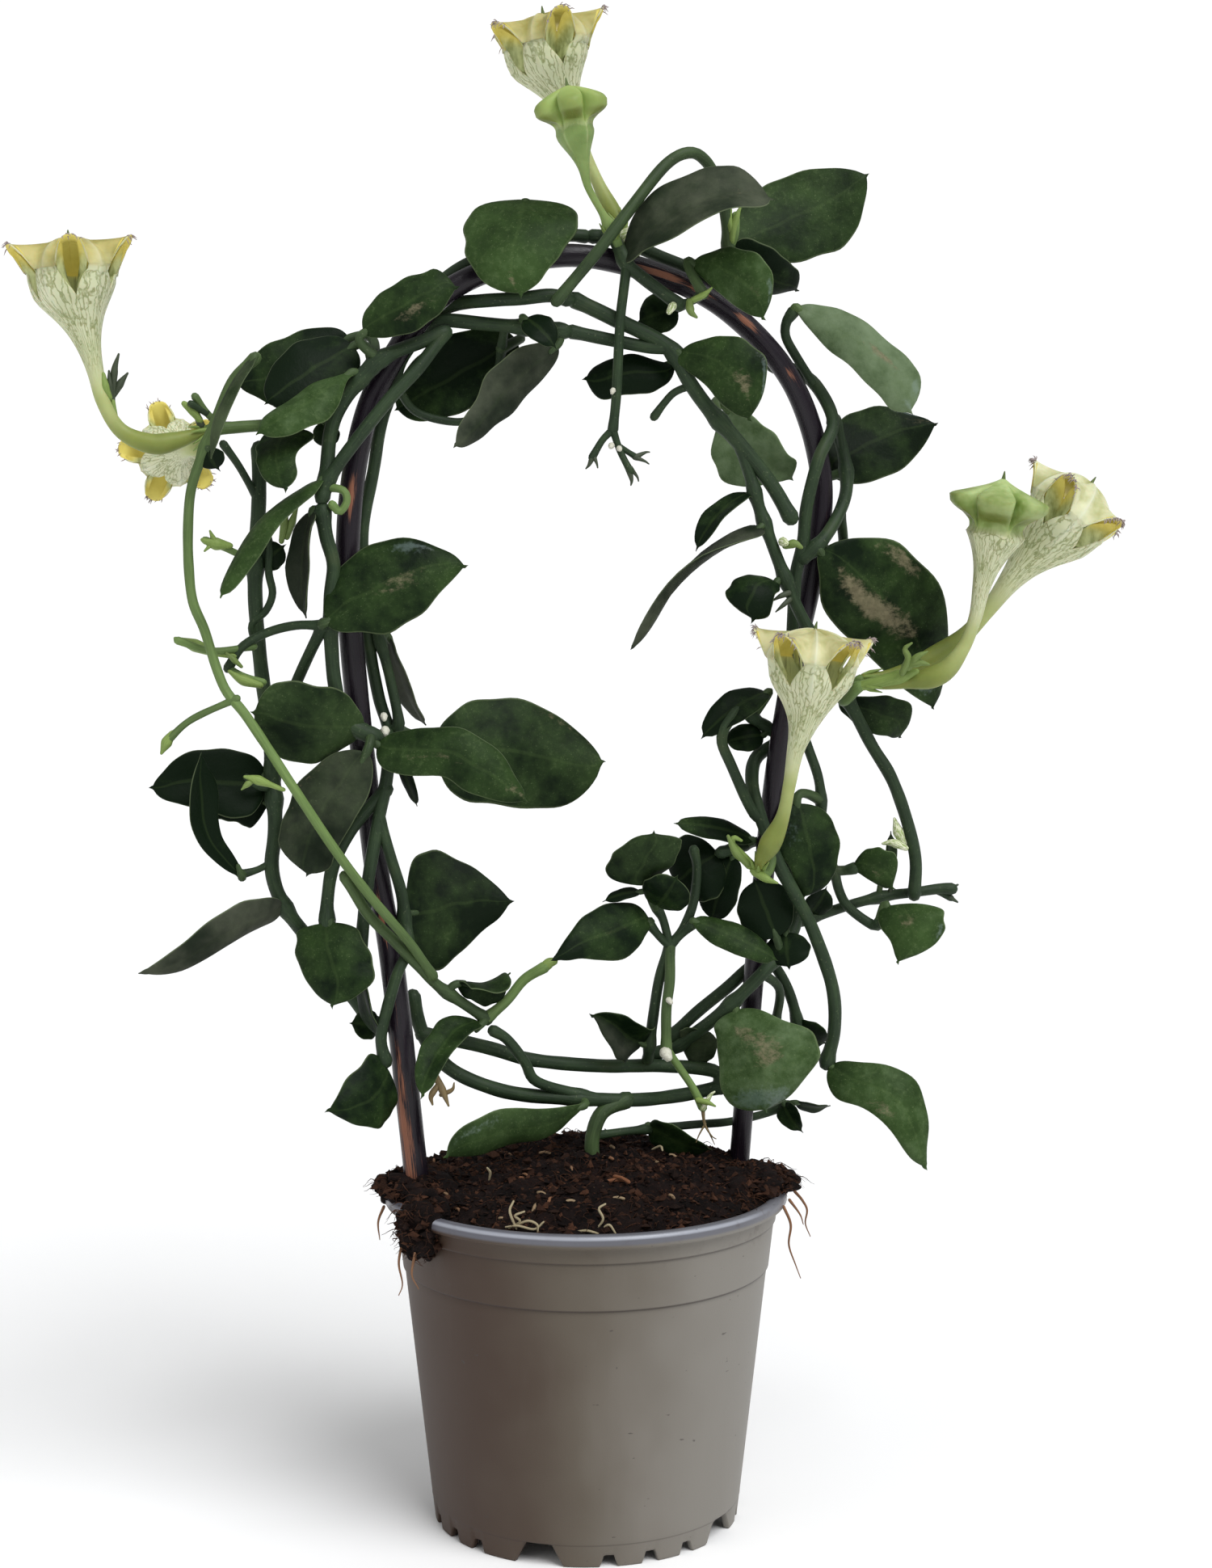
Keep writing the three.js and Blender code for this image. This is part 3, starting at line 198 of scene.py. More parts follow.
# Each strand is a radius and its path.
STRANDS = {
    "stem_base": [
        (2.3, [(3, 2, 93), (2, 2, 106), (2, 2, 114), (5, 3, 121), (12, 6, 124)]),
        (2.1, [(-51, -4, 157), (-48, -5, 146), (-41, -7, 137), (-30, -6, 131), (-16, -2, 127),
               (12, 6, 124), (28, 17, 123), (41, 20, 125)]),
        (2.1, [(-48, -5, 146), (-39, -3, 144), (-28, -1, 141), (-16, 2, 137), (4, 8, 134), (23, 18, 132),
               (39, 20, 130), (41, 20, 125)]),
        (1.6, [(-27, -10, 148), (-23, -8, 145), (-18, -6, 138), (-15, -4, 132), (-6, 0, 128),
               (4, 3, 125)]),
        (1.3, [(2, 2, 114), (16, 10, 114), (33, 26, 112), (44, 30, 112), (55, 32, 114), (62, 31, 117)]),
    ],
    "shoot_free": [
        (1.6, [(-68, -30, 196), (-62, -27, 185), (-55, -24, 177), (-48, -21, 169), (-42, -17, 162),
               (-29, -12, 152)]),
        (1.4, [(-44, -20, 166), (-50, -25, 176), (-55, -29, 183), (-62, -31, 192), (-71, -34, 205),
               (-82, -38, 223), (-89, -38, 234), (-95, -38, 243), (-100, -37, 249), (-103, -36, 256),
               (-106, -36, 266), (-109, -37, 274), (-110, -37, 284), (-110, -37, 295), (-109, -37, 305),
               (-106, -37, 314), (-102, -37, 324), (-97, -37, 335), (-91, -36, 341)]),
        (1.0, [(-97, -38, 247), (-110, -36, 241), (-117, -35, 235)]),
        (1.5, [(-29, -12, 152), (-23, -10, 157), (-18, -9, 163), (-12, -11, 167)]),
    ],
    "stem_left_low": [
        (1.9, [(-56, -21, 230), (-57, -21, 222), (-59, -22, 212), (-62, -23, 195), (-64, -21, 180),
               (-65, -20, 167)]),
        (1.9, [(-57, -21, 220), (-66, -21, 210), (-72, -22, 199), (-74, -22, 188), (-74, -23, 181)]),
        (1.7, [(-59, -22, 212), (-56, -21, 201), (-53.2, -17.2, 190), (-52.4, -14.8, 181),
               (-51, -18.3, 174), (-54, -22, 167), (-57, -22, 157), (-59, -21, 148), (-58, -20, 141)]),
    ],
    "stem_left_outer": [
        (2.1, [(-93, -15, 317), (-93, -17, 302), (-94, -18, 286), (-94, -19, 272), (-93, -16, 254),
               (-91, -16, 237), (-90, -17, 225), (-89, -20, 209), (-90, -21, 199), (-89, -21, 192),
               (-86, -20, 185), (-81, -16, 177), (-75, -10, 167), (-68, -7, 157), (-61, -7, 149),
               (-53.6, -4.2, 154.4)]),
        (1.1, [(-102, -23, 318), (-98, -21, 312), (-94, -17, 304)]),
        (1.1, [(-94, -17, 298), (-90, -19, 291), (-90, -20, 282), (-89, -20, 276), (-91, -20, 271),
               (-95, -20, 267), (-94, -18, 261)]),
        (1.0, [(-90, -21, 199), (-94, -22, 197), (-98, -24, 196)]),
        (0.9, [(-90, -17, 220), (-93, -24, 221), (-96, -27, 224)]),
        (1.0, [(-94, -18, 286), (-98, -21, 287), (-102, -24, 289), (-107, -26, 291)]),
    ],
    "stem_left_mid": [
        (2.0, [(-74, -25, 299), (-73, -25, 292), (-71, -25, 284), (-72, -25, 274), (-72, -24, 263),
               (-71, -24, 250), (-68, -24, 240), (-60, -22, 235)]),
        (1.8, [(-57, -7, 331), (-59, -9, 323), (-61, -9, 311), (-64, -10, 295), (-64, -11, 279),
               (-63, -10, 264), (-60, -9, 246), (-57, -11, 236), (-60, -22, 235)]),
        (1.5, [(-64, -11, 275), (-59, -11, 261), (-56, -11, 249), (-54, -12, 238), (-57, -11, 236)]),
        (1.7, [(-74, -25, 267), (-78, -21, 260), (-83, -17, 250), (-87, -15, 240)]),
        (1.3, [(-74, -25, 267), (-82, -24, 267), (-90, -24, 265), (-97, -26, 261), (-101, -26, 255)]),
        (1.0, [(-94, -24, 261), (-105, -30, 260), (-114, -33, 263)]),
        (0.9, [(-101, -26, 255), (-97, -27, 253), (-91, -27, 251)]),
    ],
    "stem_left_top": [
        (2.0, [(-40, -13, 350), (-47, -16, 347), (-56, -20, 343), (-62, -20, 338), (-69, -20, 329),
               (-72, -21, 321), (-73, -23, 309), (-74, -25, 303)]),
        (1.9, [(-40, -13, 350), (-47, -18, 340), (-55, -21, 331), (-63, -23, 321), (-69, -24, 313),
               (-73, -24, 307), (-74, -25, 303)]),
        (1.1, [(-73, -24, 306), (-68, -26, 305), (-67, -26, 302), (-69, -26, 299), (-71, -27, 301)]),
        (1.7, [(-69, -20, 329), (-78, -18, 326), (-88, -17, 324), (-97, -21, 323), (-105, -25, 322)]),
        (1.0, [(-102, -23.6, 322.4), (-106, -26, 326.5), (-109, -28, 331)]),
        (1.3, [(-100, -21, 323), (-104, -19, 323), (-107, -16, 320)]),
        (0.9, [(-106, -26, 326.5), (-110, -29, 329)]),
    ],
    "stem_top_left": [
        (2.0, [(-56, -7, 333), (-53, -6, 343), (-47, -6, 351), (-42, -7, 354), (-29, -8, 353),
               (-17, -7, 352), (-6, -6, 351)]),
        (2.0, [(-47, -6, 351), (-44, -3.5, 356), (-37, -4, 359), (-29, -8, 359.5), (-18, -10, 360),
               (-10, -8, 361), (-5, -7, 360)]),
        (1.8, [(-47, -6, 351), (-46, -2, 360), (-40, -1, 367), (-31, -2, 372), (-17, 0, 377),
               (-5, 1, 379), (0, 3, 379)]),
        (1.2, [(-55, -5, 337), (-50, -3, 329), (-42, -1, 326), (-34, 1, 326), (-28, 1, 331),
               (-25, -1, 342), (-23, -7, 353)]),
    ],
    "arch_top": [
        (1.9, [(2, 3, 379), (6, 2.5, 379), (8, -1.5, 378), (10, -5, 374.4), (12, -5.6, 370),
               (15, -4.6, 367.6), (20, -3, 364), (27, -2, 359)]),
        (1.7, [(-8, -14, 359), (-2, -14, 366), (4, -15, 373), (13, -12, 385), (23, -6, 398),
               (30, -3, 402), (35, 1, 400), (39, 7, 394), (41, 10, 386), (42, 14, 377), (42, 15, 368),
               (42, 14, 359.5)]),
        (1.2, [(10, -5, 374.4), (8.9, -6.8, 377)]),
        (1.2, [(10, 5.5, 378), (10.9, 6.1, 380.2)]),
        (1.9, [(6, 2.5, 379), (13, 8, 377.5), (22, 10, 374), (30, 12, 371), (36, 13, 367), (41, 14, 362),
               (47, 16, 353), (52, 18, 346)]),
        (1.4, [(12, -5.6, 370), (11, -7, 362), (10, -7, 353), (9, -7, 333), (8, -6, 323)]),
        (1.0, [(8, -6, 323), (5, -6, 320), (2, -6, 315)]),
        (1.0, [(8, -6, 323), (10, -6, 317), (13, -7, 311)]),
        (0.8, [(10, -6, 318), (15, -4, 315)]),
        (1.1, [(42, 14, 377), (44, 12, 381), (44, 11, 386)]),
        (1.1, [(27, -2, 359), (31, -3, 360), (34, -3, 362)]),
    ],
    "stem_top_right": [
        (2.2, [(-3, -5, 360), (8, -3, 355), (24, -1, 347), (30, -3, 337), (36, -1, 329), (45, 0, 319),
               (54, 2, 308), (60, 2, 298)]),
        (1.9, [(-4, -5, 351), (7, -2, 349), (18, -1, 347), (24, -1, 347)]),
        (1.1, [(31, -2, 336), (26, -1, 334), (23, 0, 331), (20, 0, 327)]),
        (1.8, [(45, 0, 319), (48, 1, 310), (51, 1, 300), (55, 1, 289), (61, 1.5, 274), (66, 2, 264)]),
    ],
    "stem_right_top": [
        (1.9, [(56, 20, 343), (62, 20, 342), (68.5, 17, 337), (73.2, 12.6, 326), (68.5, 7, 315),
               (65, 6, 301), (64, 6, 290), (62, 7, 281), (61.5, 7.5, 270), (61, 7, 259)]),
        (1.9, [(74, 23, 327), (77, 22, 318), (78, 19, 308), (75.5, 12.5, 300), (70, 6.5, 291.5),
               (64, 6, 286)]),
        (1.4, [(68, 17, 337), (62, 15, 346), (59, 12, 351), (59, 10, 355), (61, 9, 358)]),
        (1.5, [(75.5, 12.5, 300), (77, 18, 291), (77, 22, 284)]),
        (1.3, [(73.2, 12.6, 326), (75, 18, 327), (77, 22, 318)]),
    ],
    "stem_right_mid": [
        (2.0, [(67, 18, 262), (67, 20, 252), (63, 20, 240), (59, 19, 232), (51.3, 15.5, 226.5),
               (49.5, 9, 220), (51, 4, 212), (55, 3, 201), (58, 3, 194), (63, 5, 185), (68, 8, 175),
               (74, 11, 158), (75, 12, 145), (73, 14, 134)]),
        (1.9, [(67, 20, 252), (74, 19, 250), (79, 18, 243), (86, 18, 230), (92, 17, 220), (97, 19, 207),
               (100, 21, 195), (100, 23, 184)]),
        (1.6, [(59, 19, 232), (52, 16, 237), (46, 8, 241), (43, 3, 239), (40, 0, 233), (43, 0, 225),
               (49, 2, 212), (52, 4, 209)]),
        (1.5, [(63, 20, 240), (67, 19, 229), (70, 17, 220), (71, 17, 211), (71, 17, 201),
               (75, 17, 192)]),
        (1.5, [(75, 17, 192), (77, 21, 185), (80, 21, 180), (87, 20, 175), (89, 18, 176)]),
        (1.4, [(75, 17, 192), (78, 17, 192), (81, 15, 193)]),
        (1.6, [(76.5, 18.5, 246.5), (77, 12, 243.5), (80.6, 5, 248.2)]),
        (1.3, [(77, 12, 243.5), (79, 10.5, 247), (81.3, 8.4, 250.2)]),
        (1.3, [(56, 3, 200), (54, -0.5, 193.5), (51.2, -3.4, 193.8)]),
    ],
    "branch_right": [
        (1.6, [(18.6, 13.6, 134.9), (19, 9, 139), (20, 7, 148), (22, 6, 161), (25, 4, 171)]),
        (1.6, [(25, 4, 171), (25, 3, 161), (24, 3, 152), (24, 4, 140)]),
        (1.2, [(24, 4, 140), (28, 5, 134), (32, 5, 128), (35, 5, 122)]),
        (1.3, [(25, 4, 171), (23, 2, 179), (21, 0, 183)]),
        (1.2, [(25, 4, 171), (22, 2, 174), (19, 0, 178)]),
        (1.4, [(25, 4, 171), (29, 5, 176), (32, 4, 184), (33, 3, 194), (32, 1, 200)]),
        (1.2, [(25, 4, 171), (28, 4, 174), (32, 2, 178)]),
    ],
    "stem_right_foot": [
        (2.0, [(21, 21, 135), (29, 19, 139), (41, 10, 150), (53, 9, 162), (60, 15, 169), (64, 21, 178),
               (61, 21, 191), (58, 20, 201), (57, 19, 211)]),
        (1.9, [(26, 19, 141), (34, 17, 149), (43, 19, 156), (49, 21.5, 161), (56, 24, 166),
               (60, 25, 173)]),
        (1.6, [(55, 23.5, 165.5), (60, 24, 158), (63, 24, 151), (65, 25, 143)]),
        (1.4, [(53, 9, 162), (58.5, 15, 156), (58, 22, 145)]),
        (1.5, [(58, 20, 201), (51, 18.5, 200.5), (45, 11, 199.5), (40.5, 8, 198.6)]),
        (1.6, [(56, 24, 172), (64, 24, 175), (70, 24, 177), (83, 26, 181), (93, 28, 183), (100, 27, 184),
               (108, 28, 185), (112, 28, 185)]),
        (0.9, [(106, 28, 185), (112, 29, 182)]),
    ],
}

# Each leaf is base, tip, width, place of the widest part, roll, curl, fold and twist.
LEAVES = {
    "stem_base": [
        ((-1, -3, 124), (-41, -26, 114), 17, 0.58, -20, 3, -12, 0),
        ((19, 12, 115), (38, 10, 108), 9, 0.5, 35, 2, 10, 0),
        ((61, 29, 118), (67, 28, 109), 8, 0.4, 30, 1, 10, 0),
        ((65, 30, 118), (76, 35, 116), 6, 0.5, 50, 1, 10, 0),
    ],
    "shoot_free": [
        ((-91, -38, 341), (-102, -46, 313), 10, 0.5, 50, 3, -12, 0),
        ((-104, -38, 316), (-101, -36, 310), 8, 0.45, 20, 1, 0, 0),
        ((-37, -16, 163), (-22, -9, 165), 15, 0.5, 58, 2, 45, 0),
        ((-30, -14, 151), (-47, -30, 132), 15, 0.5, 32, 3, 18, 0),
    ],
    "stem_left_low": [
        ((-73, -24, 182), (-72, -30, 158), 24, 0.5, 10, 3, -14, 0),
        ((-52, -13, 183), (-21, 0, 185), 34, 0.42, 172, 3, 10, 0),
        ((-58, -20, 140), (-74, -34, 129), 22, 0.5, -15, 3, -12, 0),
        ((-65, -19, 166), (-59, -18, 147), 10, 0.5, 60, 1, 10, 0),
    ],
    "stem_left_outer": [
        ((-92, -17, 224), (-124, -27, 221), 17, 0.5, 12, 2, 8, 0),
        ((-98, -27, 196), (-107, -38, 232), 14, 0.66, 25, -3, 12, 30),
        ((-92, -12, 215), (-108, -13, 222), 19, 0.5, 8, 1, 6, 0),
        ((-87, -21, 186), (-124, -47, 171), 15, 0.52, -38, 5, -10, 0),
        ((-92, -18, 284), (-85, -19, 290), 9, 0.5, -10, 1, 10, 0),
        ((-61, -7, 149), (-69, -14, 151), 9, 0.5, 20, 1, 0, 0),
    ],
    "stem_left_mid": [
        ((-73, -28, 268), (-33, -24, 284), 26, 0.5, -14, 3, -12, 0),
        ((-57, -7, 263), (-47, 1, 237), 11, 0.5, 55, 2, 10, 0),
        ((-44, -1, 233), (6, 17, 225), 34, 0.48, 168, 3, 10, 0),
        ((-59, -24, 233), (-16, -28, 217), 17, 0.5, -16, 7, -14, 0),
        ((-63, -23, 238), (-94, -33, 243), 25, 0.52, -12, 3, -10, 0),
        ((-62, -27, 231), (-79, -31, 196), 22, 0.6, 6, 0, -6, 0),
        ((-77, -25, 299), (-79, -24, 269), 12, 0.45, 50, 2, 20, 0),
        ((-54, -16, 230), (-49, -9, 214), 5, 0.6, 40, 0, 0, 0),
    ],
    "stem_left_top": [
        ((-68, -5, 349), (-101, -12, 336), 23, 0.42, 8, 2, -8, 0),
        ((-66, -14, 346), (-90, -25, 329), 20, 0.45, 16, 2, -8, 0),
        ((-66, -22, 338), (-91, -36, 320), 14, 0.5, 30, 3, -16, 0),
        ((-81, -24, 322), (-83, -36, 304), 17, 0.45, 12, 3, -10, 0),
        ((-74, -25, 308), (-100, -46, 275), 13, 0.55, 58, 5, -18, 0),
        ((-62, -23, 349), (-35, -23, 362), 19, 0.55, -12, 3, -14, 0),
        ((-75, -11, 325), (-73, -9, 317), 8, 0.5, 10, 1, 0, 0),
    ],
    "stem_top_left": [
        ((-17, -6, 388), (-18, -19, 359), 32, 0.5, 4, 6, -10, 0),
        ((-20, 3, 349), (-56, 5, 329), 22, 0.5, 8, 0, 10, 0),
        ((-8, -7, 347), (-37, -23, 317), 15, 0.45, 150, 4, 8, 0),
        ((-17, -12, 354), (-8, -17, 345), 9, 0.5, -20, 2, 10, 0),
    ],
    "arch_top": [
        ((11, -6, 371), (54, -8, 388), 16, 0.52, -42, 9, 14, 0),
        ((45, 17, 378), (85, 30, 401), 29, 0.5, 170, 3, 8, 0),
        ((31, 0, 371), (52, -7, 354), 20, 0.5, 16, 3, -14, 0),
        ((39, 18, 374), (64, 27, 366), 17, 0.5, 40, 4, -14, 0),
        ((27, 11, 359), (15, 12, 355), 13, 0.5, 20, 1, 0, 0),
    ],
    "stem_top_right": [
        ((27, -3, 345), (48, -10, 325), 22, 0.5, 12, 4, -14, 0),
        ((26, 6, 343), (-1, 5, 338), 15, 0.5, 15, 3, -8, 0),
        ((42, 14, 330), (62, 18, 309), 23, 0.5, 15, 2, 10, 0),
        ((48, 2, 305), (32, -7, 288), 9, 0.5, 50, 3, 15, 0),
        ((51, -1, 295), (13, -22, 260), 10, 0.3, 40, 5, 10, 120),
        ((56, 0, 279), (48, -8, 267), 16, 0.55, 12, 4, -14, 0),
    ],
    "stem_right_top": [
        ((62, 8, 359), (96, 6, 328), 20, 0.5, -10, 4, -14, 0),
        ((74, 24.5, 311), (107, 33, 327), 23, 0.45, 165, 2, 10, 0),
        ((69, 5, 288), (106, 28, 240), 37, 0.42, -12, 4, -12, 0),
    ],
    "stem_right_mid": [
        ((77, 24, 244), (97, 35, 231), 19, 0.5, 15, 3, 10, 0),
        ((54, 14, 246), (34, 1, 233), 11, 0.5, 35, 3, 10, 0),
        ((53, 16, 233), (41, 11, 231), 9, 0.5, 20, 2, -10, 0),
        ((63, 10, 213), (65, 9, 184), 21, 0.5, -15, 3, -6, 0),
        ((80, 15, 193), (93, 12, 187), 14, 0.5, 16, 2, -12, 0),
        ((91, 18, 181), (94, 11, 164), 21, 0.42, 8, 3, -12, 0),
        ((74, 13, 133), (103, 8, 102), 20, 0.5, -14, 8, -12, 0),
    ],
    "branch_right": [
        ((19, 0, 179), (-10, -18, 170), 17, 0.52, 14, 3, -12, 0),
        ((19, -3, 190), (20, -8, 207), 24, 0.5, 4, 2, -10, 0),
        ((21, -2, 184), (27, -10, 194), 15, 0.5, 5, 2, -10, 0),
        ((32, 1, 179), (57, 1, 167), 10, 0.5, -35, 2, -12, 0),
        ((17, 7, 141), (1, -4, 152), 15, 0.5, -10, 1, 28, 0),
        ((16, -2, 188), (5, -2, 185), 5, 0.5, 50, 1, 0, 0),
    ],
    "stem_right_foot": [
        ((45, 8, 151), (54, 1, 121), 29, 0.62, 8, 7, -14, 0),
        ((64, 25, 144), (74, 28, 137), 11, 0.5, 20, 2, 10, 0),
        ((29, 20, 138), (41, 18, 140), 11, 0.5, 30, 1, 10, 0),
        ((39.5, 10.5, 198), (26, 12, 188), 22, 0.5, 15, 3, -8, 0),
        ((50, 12, 202), (26, 1, 208), 8, 0.5, 40, 2, -8, 0),
        ((44, 10, 197), (38, 12, 177), 13, 0.5, 25, 2, 8, 0),
        ((68, 23, 178), (73, 19, 187), 9, 0.5, 20, 1, 10, 0),
        ((60, 10, 174), (61, 8, 163), 14, 0.5, 12, 1, -8, 0),
        ((57, 8, 173), (50, 7, 191), 17, 0.5, 4, 0, -4, 0),
        ((90, 27, 186), (93, 26, 203), 7, 0.5, 50, 1, 10, 0),
    ],
}

# How some leaves differ, by their place in their stem's list: bright is -1 (dark) to 1 (fresh green), partly
# the leaf's own tone and partly painted light and shade for how lit the leaf is; dull is the grey underside,
# bend a sideways arch and stalk the pull of the stalk's curve. scuffs, shines and drabs are spots: place
# along, place across, reach along, reach across and strength. Shines are glossy and carry a painted
# highlight.
LOOKS = {
    "stem_base": {
        0: {"bright": 0.35, "dull": 0.1, "shines": [(0.75, 0.6, 0.2, 0.3, 0.6)]},
        1: {"bright": -0.05},
    },
    "shoot_free": {
        0: {"bright": 0.25, "dull": 0.45},
        3: {"bright": 0.2},
    },
    "stem_left_low": {
        0: {"bright": 0.0},
        1: {"bright": -0.2},
        2: {"bright": -0.1},
    },
    "stem_left_outer": {
        0: {"bright": -0.55},
        1: {"bright": -0.5, "bend": -5},
        2: {"bright": -0.6},
        3: {"bright": -0.05, "dull": 0.8},
    },
    "stem_left_mid": {
        0: {"scuffs": [(0.55, 0.12, 0.22, 0.18, 0.75)], "shines": [(0.7, -0.7, 0.14, 0.18, 1.0)]},
        1: {"bright": -0.1, "dull": 0.9},
        2: {"bright": -0.1, "scuffs": [(0.75, 0.9, 0.2, 0.1, 0.5)]},
        3: {"bright": 0.15, "scuffs": [(0.35, 0.3, 0.18, 0.2, 0.5), (0.9, 0.0, 0.1, 0.5, 0.5)]},
        4: {"bright": 0.0, "dull": 0.1},
        5: {"bright": -0.1, "dull": 0.45, "scuffs": [(0.35, 0.85, 0.3, 0.12, 0.4)]},
        6: {"bright": -0.45, "dull": 0.35},
    },
    "stem_left_top": {
        0: {"bright": -0.2},
        1: {"bright": -0.25},
        2: {"bright": 0.35},
        3: {"bright": 0.1},
        4: {"bright": 0.2},
        5: {"bright": 0.1, "scuffs": [(0.5, 0.35, 0.25, 0.25, 0.55)]},
    },
    "stem_top_left": {
        0: {"bright": 0.35, "stalk": 0.0, "scuffs": [(0.88, 0.0, 0.07, 0.12, 0.6)]},
        1: {"bright": -0.15},
        2: {"bright": -0.2, "dull": 0.75},
    },
    "arch_top": {
        0: {"bright": 0.15, "dull": 0.8, "scuffs": [(0.75, 0.2, 0.3, 0.4, 0.25)]},
        1: {"bright": 0.2},
        2: {
            "bright": 0.35,
            "scuffs": [(0.75, -0.1, 0.15, 0.2, 0.5)],
            "shines": [(0.85, -0.8, 0.12, 0.15, 0.9)],
        },
    },
    "stem_top_right": {
        0: {
            "bright": 0.05,
            "scuffs": [(0.72, -0.1, 0.16, 0.22, 0.9)],
            "shines": [(0.8, -0.9, 0.2, 0.1, 0.9)],
        },
        2: {"bright": 0.7},
        4: {"bright": -0.3, "dull": 0.7},
    },
    "stem_right_top": {
        0: {
            "bright": 0.9, "dull": 0.1,
            "scuffs": [(0.62, -0.3, 0.16, 0.16, 0.85), (0.35, 0.1, 0.1, 0.1, 0.6)],
            "shines": [(0.9, -0.55, 0.06, 0.3, 1.0), (0.94, 0.3, 0.05, 0.3, 0.9)],
        },
        1: {
            "bright": -0.15,
            "scuffs": [(0.88, 0.4, 0.1, 0.3, 0.5)],
            "shines": [(0.82, 0.85, 0.12, 0.12, 0.9)],
        },
        2: {
            "bright": -0.1,
            "scuffs": [(0.3, 0.3, 0.2, 0.2, 1.1), (0.52, 0.1, 0.16, 0.16, 0.9),
                       (0.3, -0.8, 0.14, 0.14, 0.9)],
            "shines": [(0.86, 0.3, 0.08, 0.5, 0.7)],
        },
    },
    "stem_right_mid": {
        0: {"bright": -0.2},
        3: {"bright": 0.05, "shines": [(0.3, 0.4, 0.2, 0.25, 0.6)]},
        4: {"bright": 0.0, "scuffs": [(0.5, 0.2, 0.2, 0.3, 0.5)]},
        5: {"bright": 0.4, "scuffs": [(0.35, 0.1, 0.2, 0.35, 0.5)], "shines": [(0.6, -0.85, 0.2, 0.1, 0.8)]},
        6: {"bright": 0.5, "scuffs": [(0.45, 0.6, 0.12, 0.25, 0.7), (0.5, -0.2, 0.1, 0.1, 0.4)]},
    },
    "branch_right": {
        0: {"bright": -0.2, "scuffs": [(0.5, 0.0, 0.3, 0.05, 0.3)]},
        1: {"bright": 0.05, "dull": 0.1},
        3: {"bright": 0.3},
        4: {"bright": -0.35, "drabs": [(0.4, -0.6, 0.5, 0.35, 1.0)]},
    },
    "stem_right_foot": {
        0: {
            "bright": 0.6,
            "scuffs": [(0.45, -0.1, 0.2, 0.3, 0.8), (0.22, 0.2, 0.12, 0.25, 0.6)],
            "shines": [(0.84, 0.4, 0.12, 0.6, 1.0), (0.9, -0.5, 0.1, 0.4, 0.9)],
        },
        2: {"bright": 0.1, "dull": 0.5},
        3: {"bright": -0.3},
        5: {"bright": -0.75},
        7: {"bright": -0.5},
        8: {"bright": -0.45},
    },
}

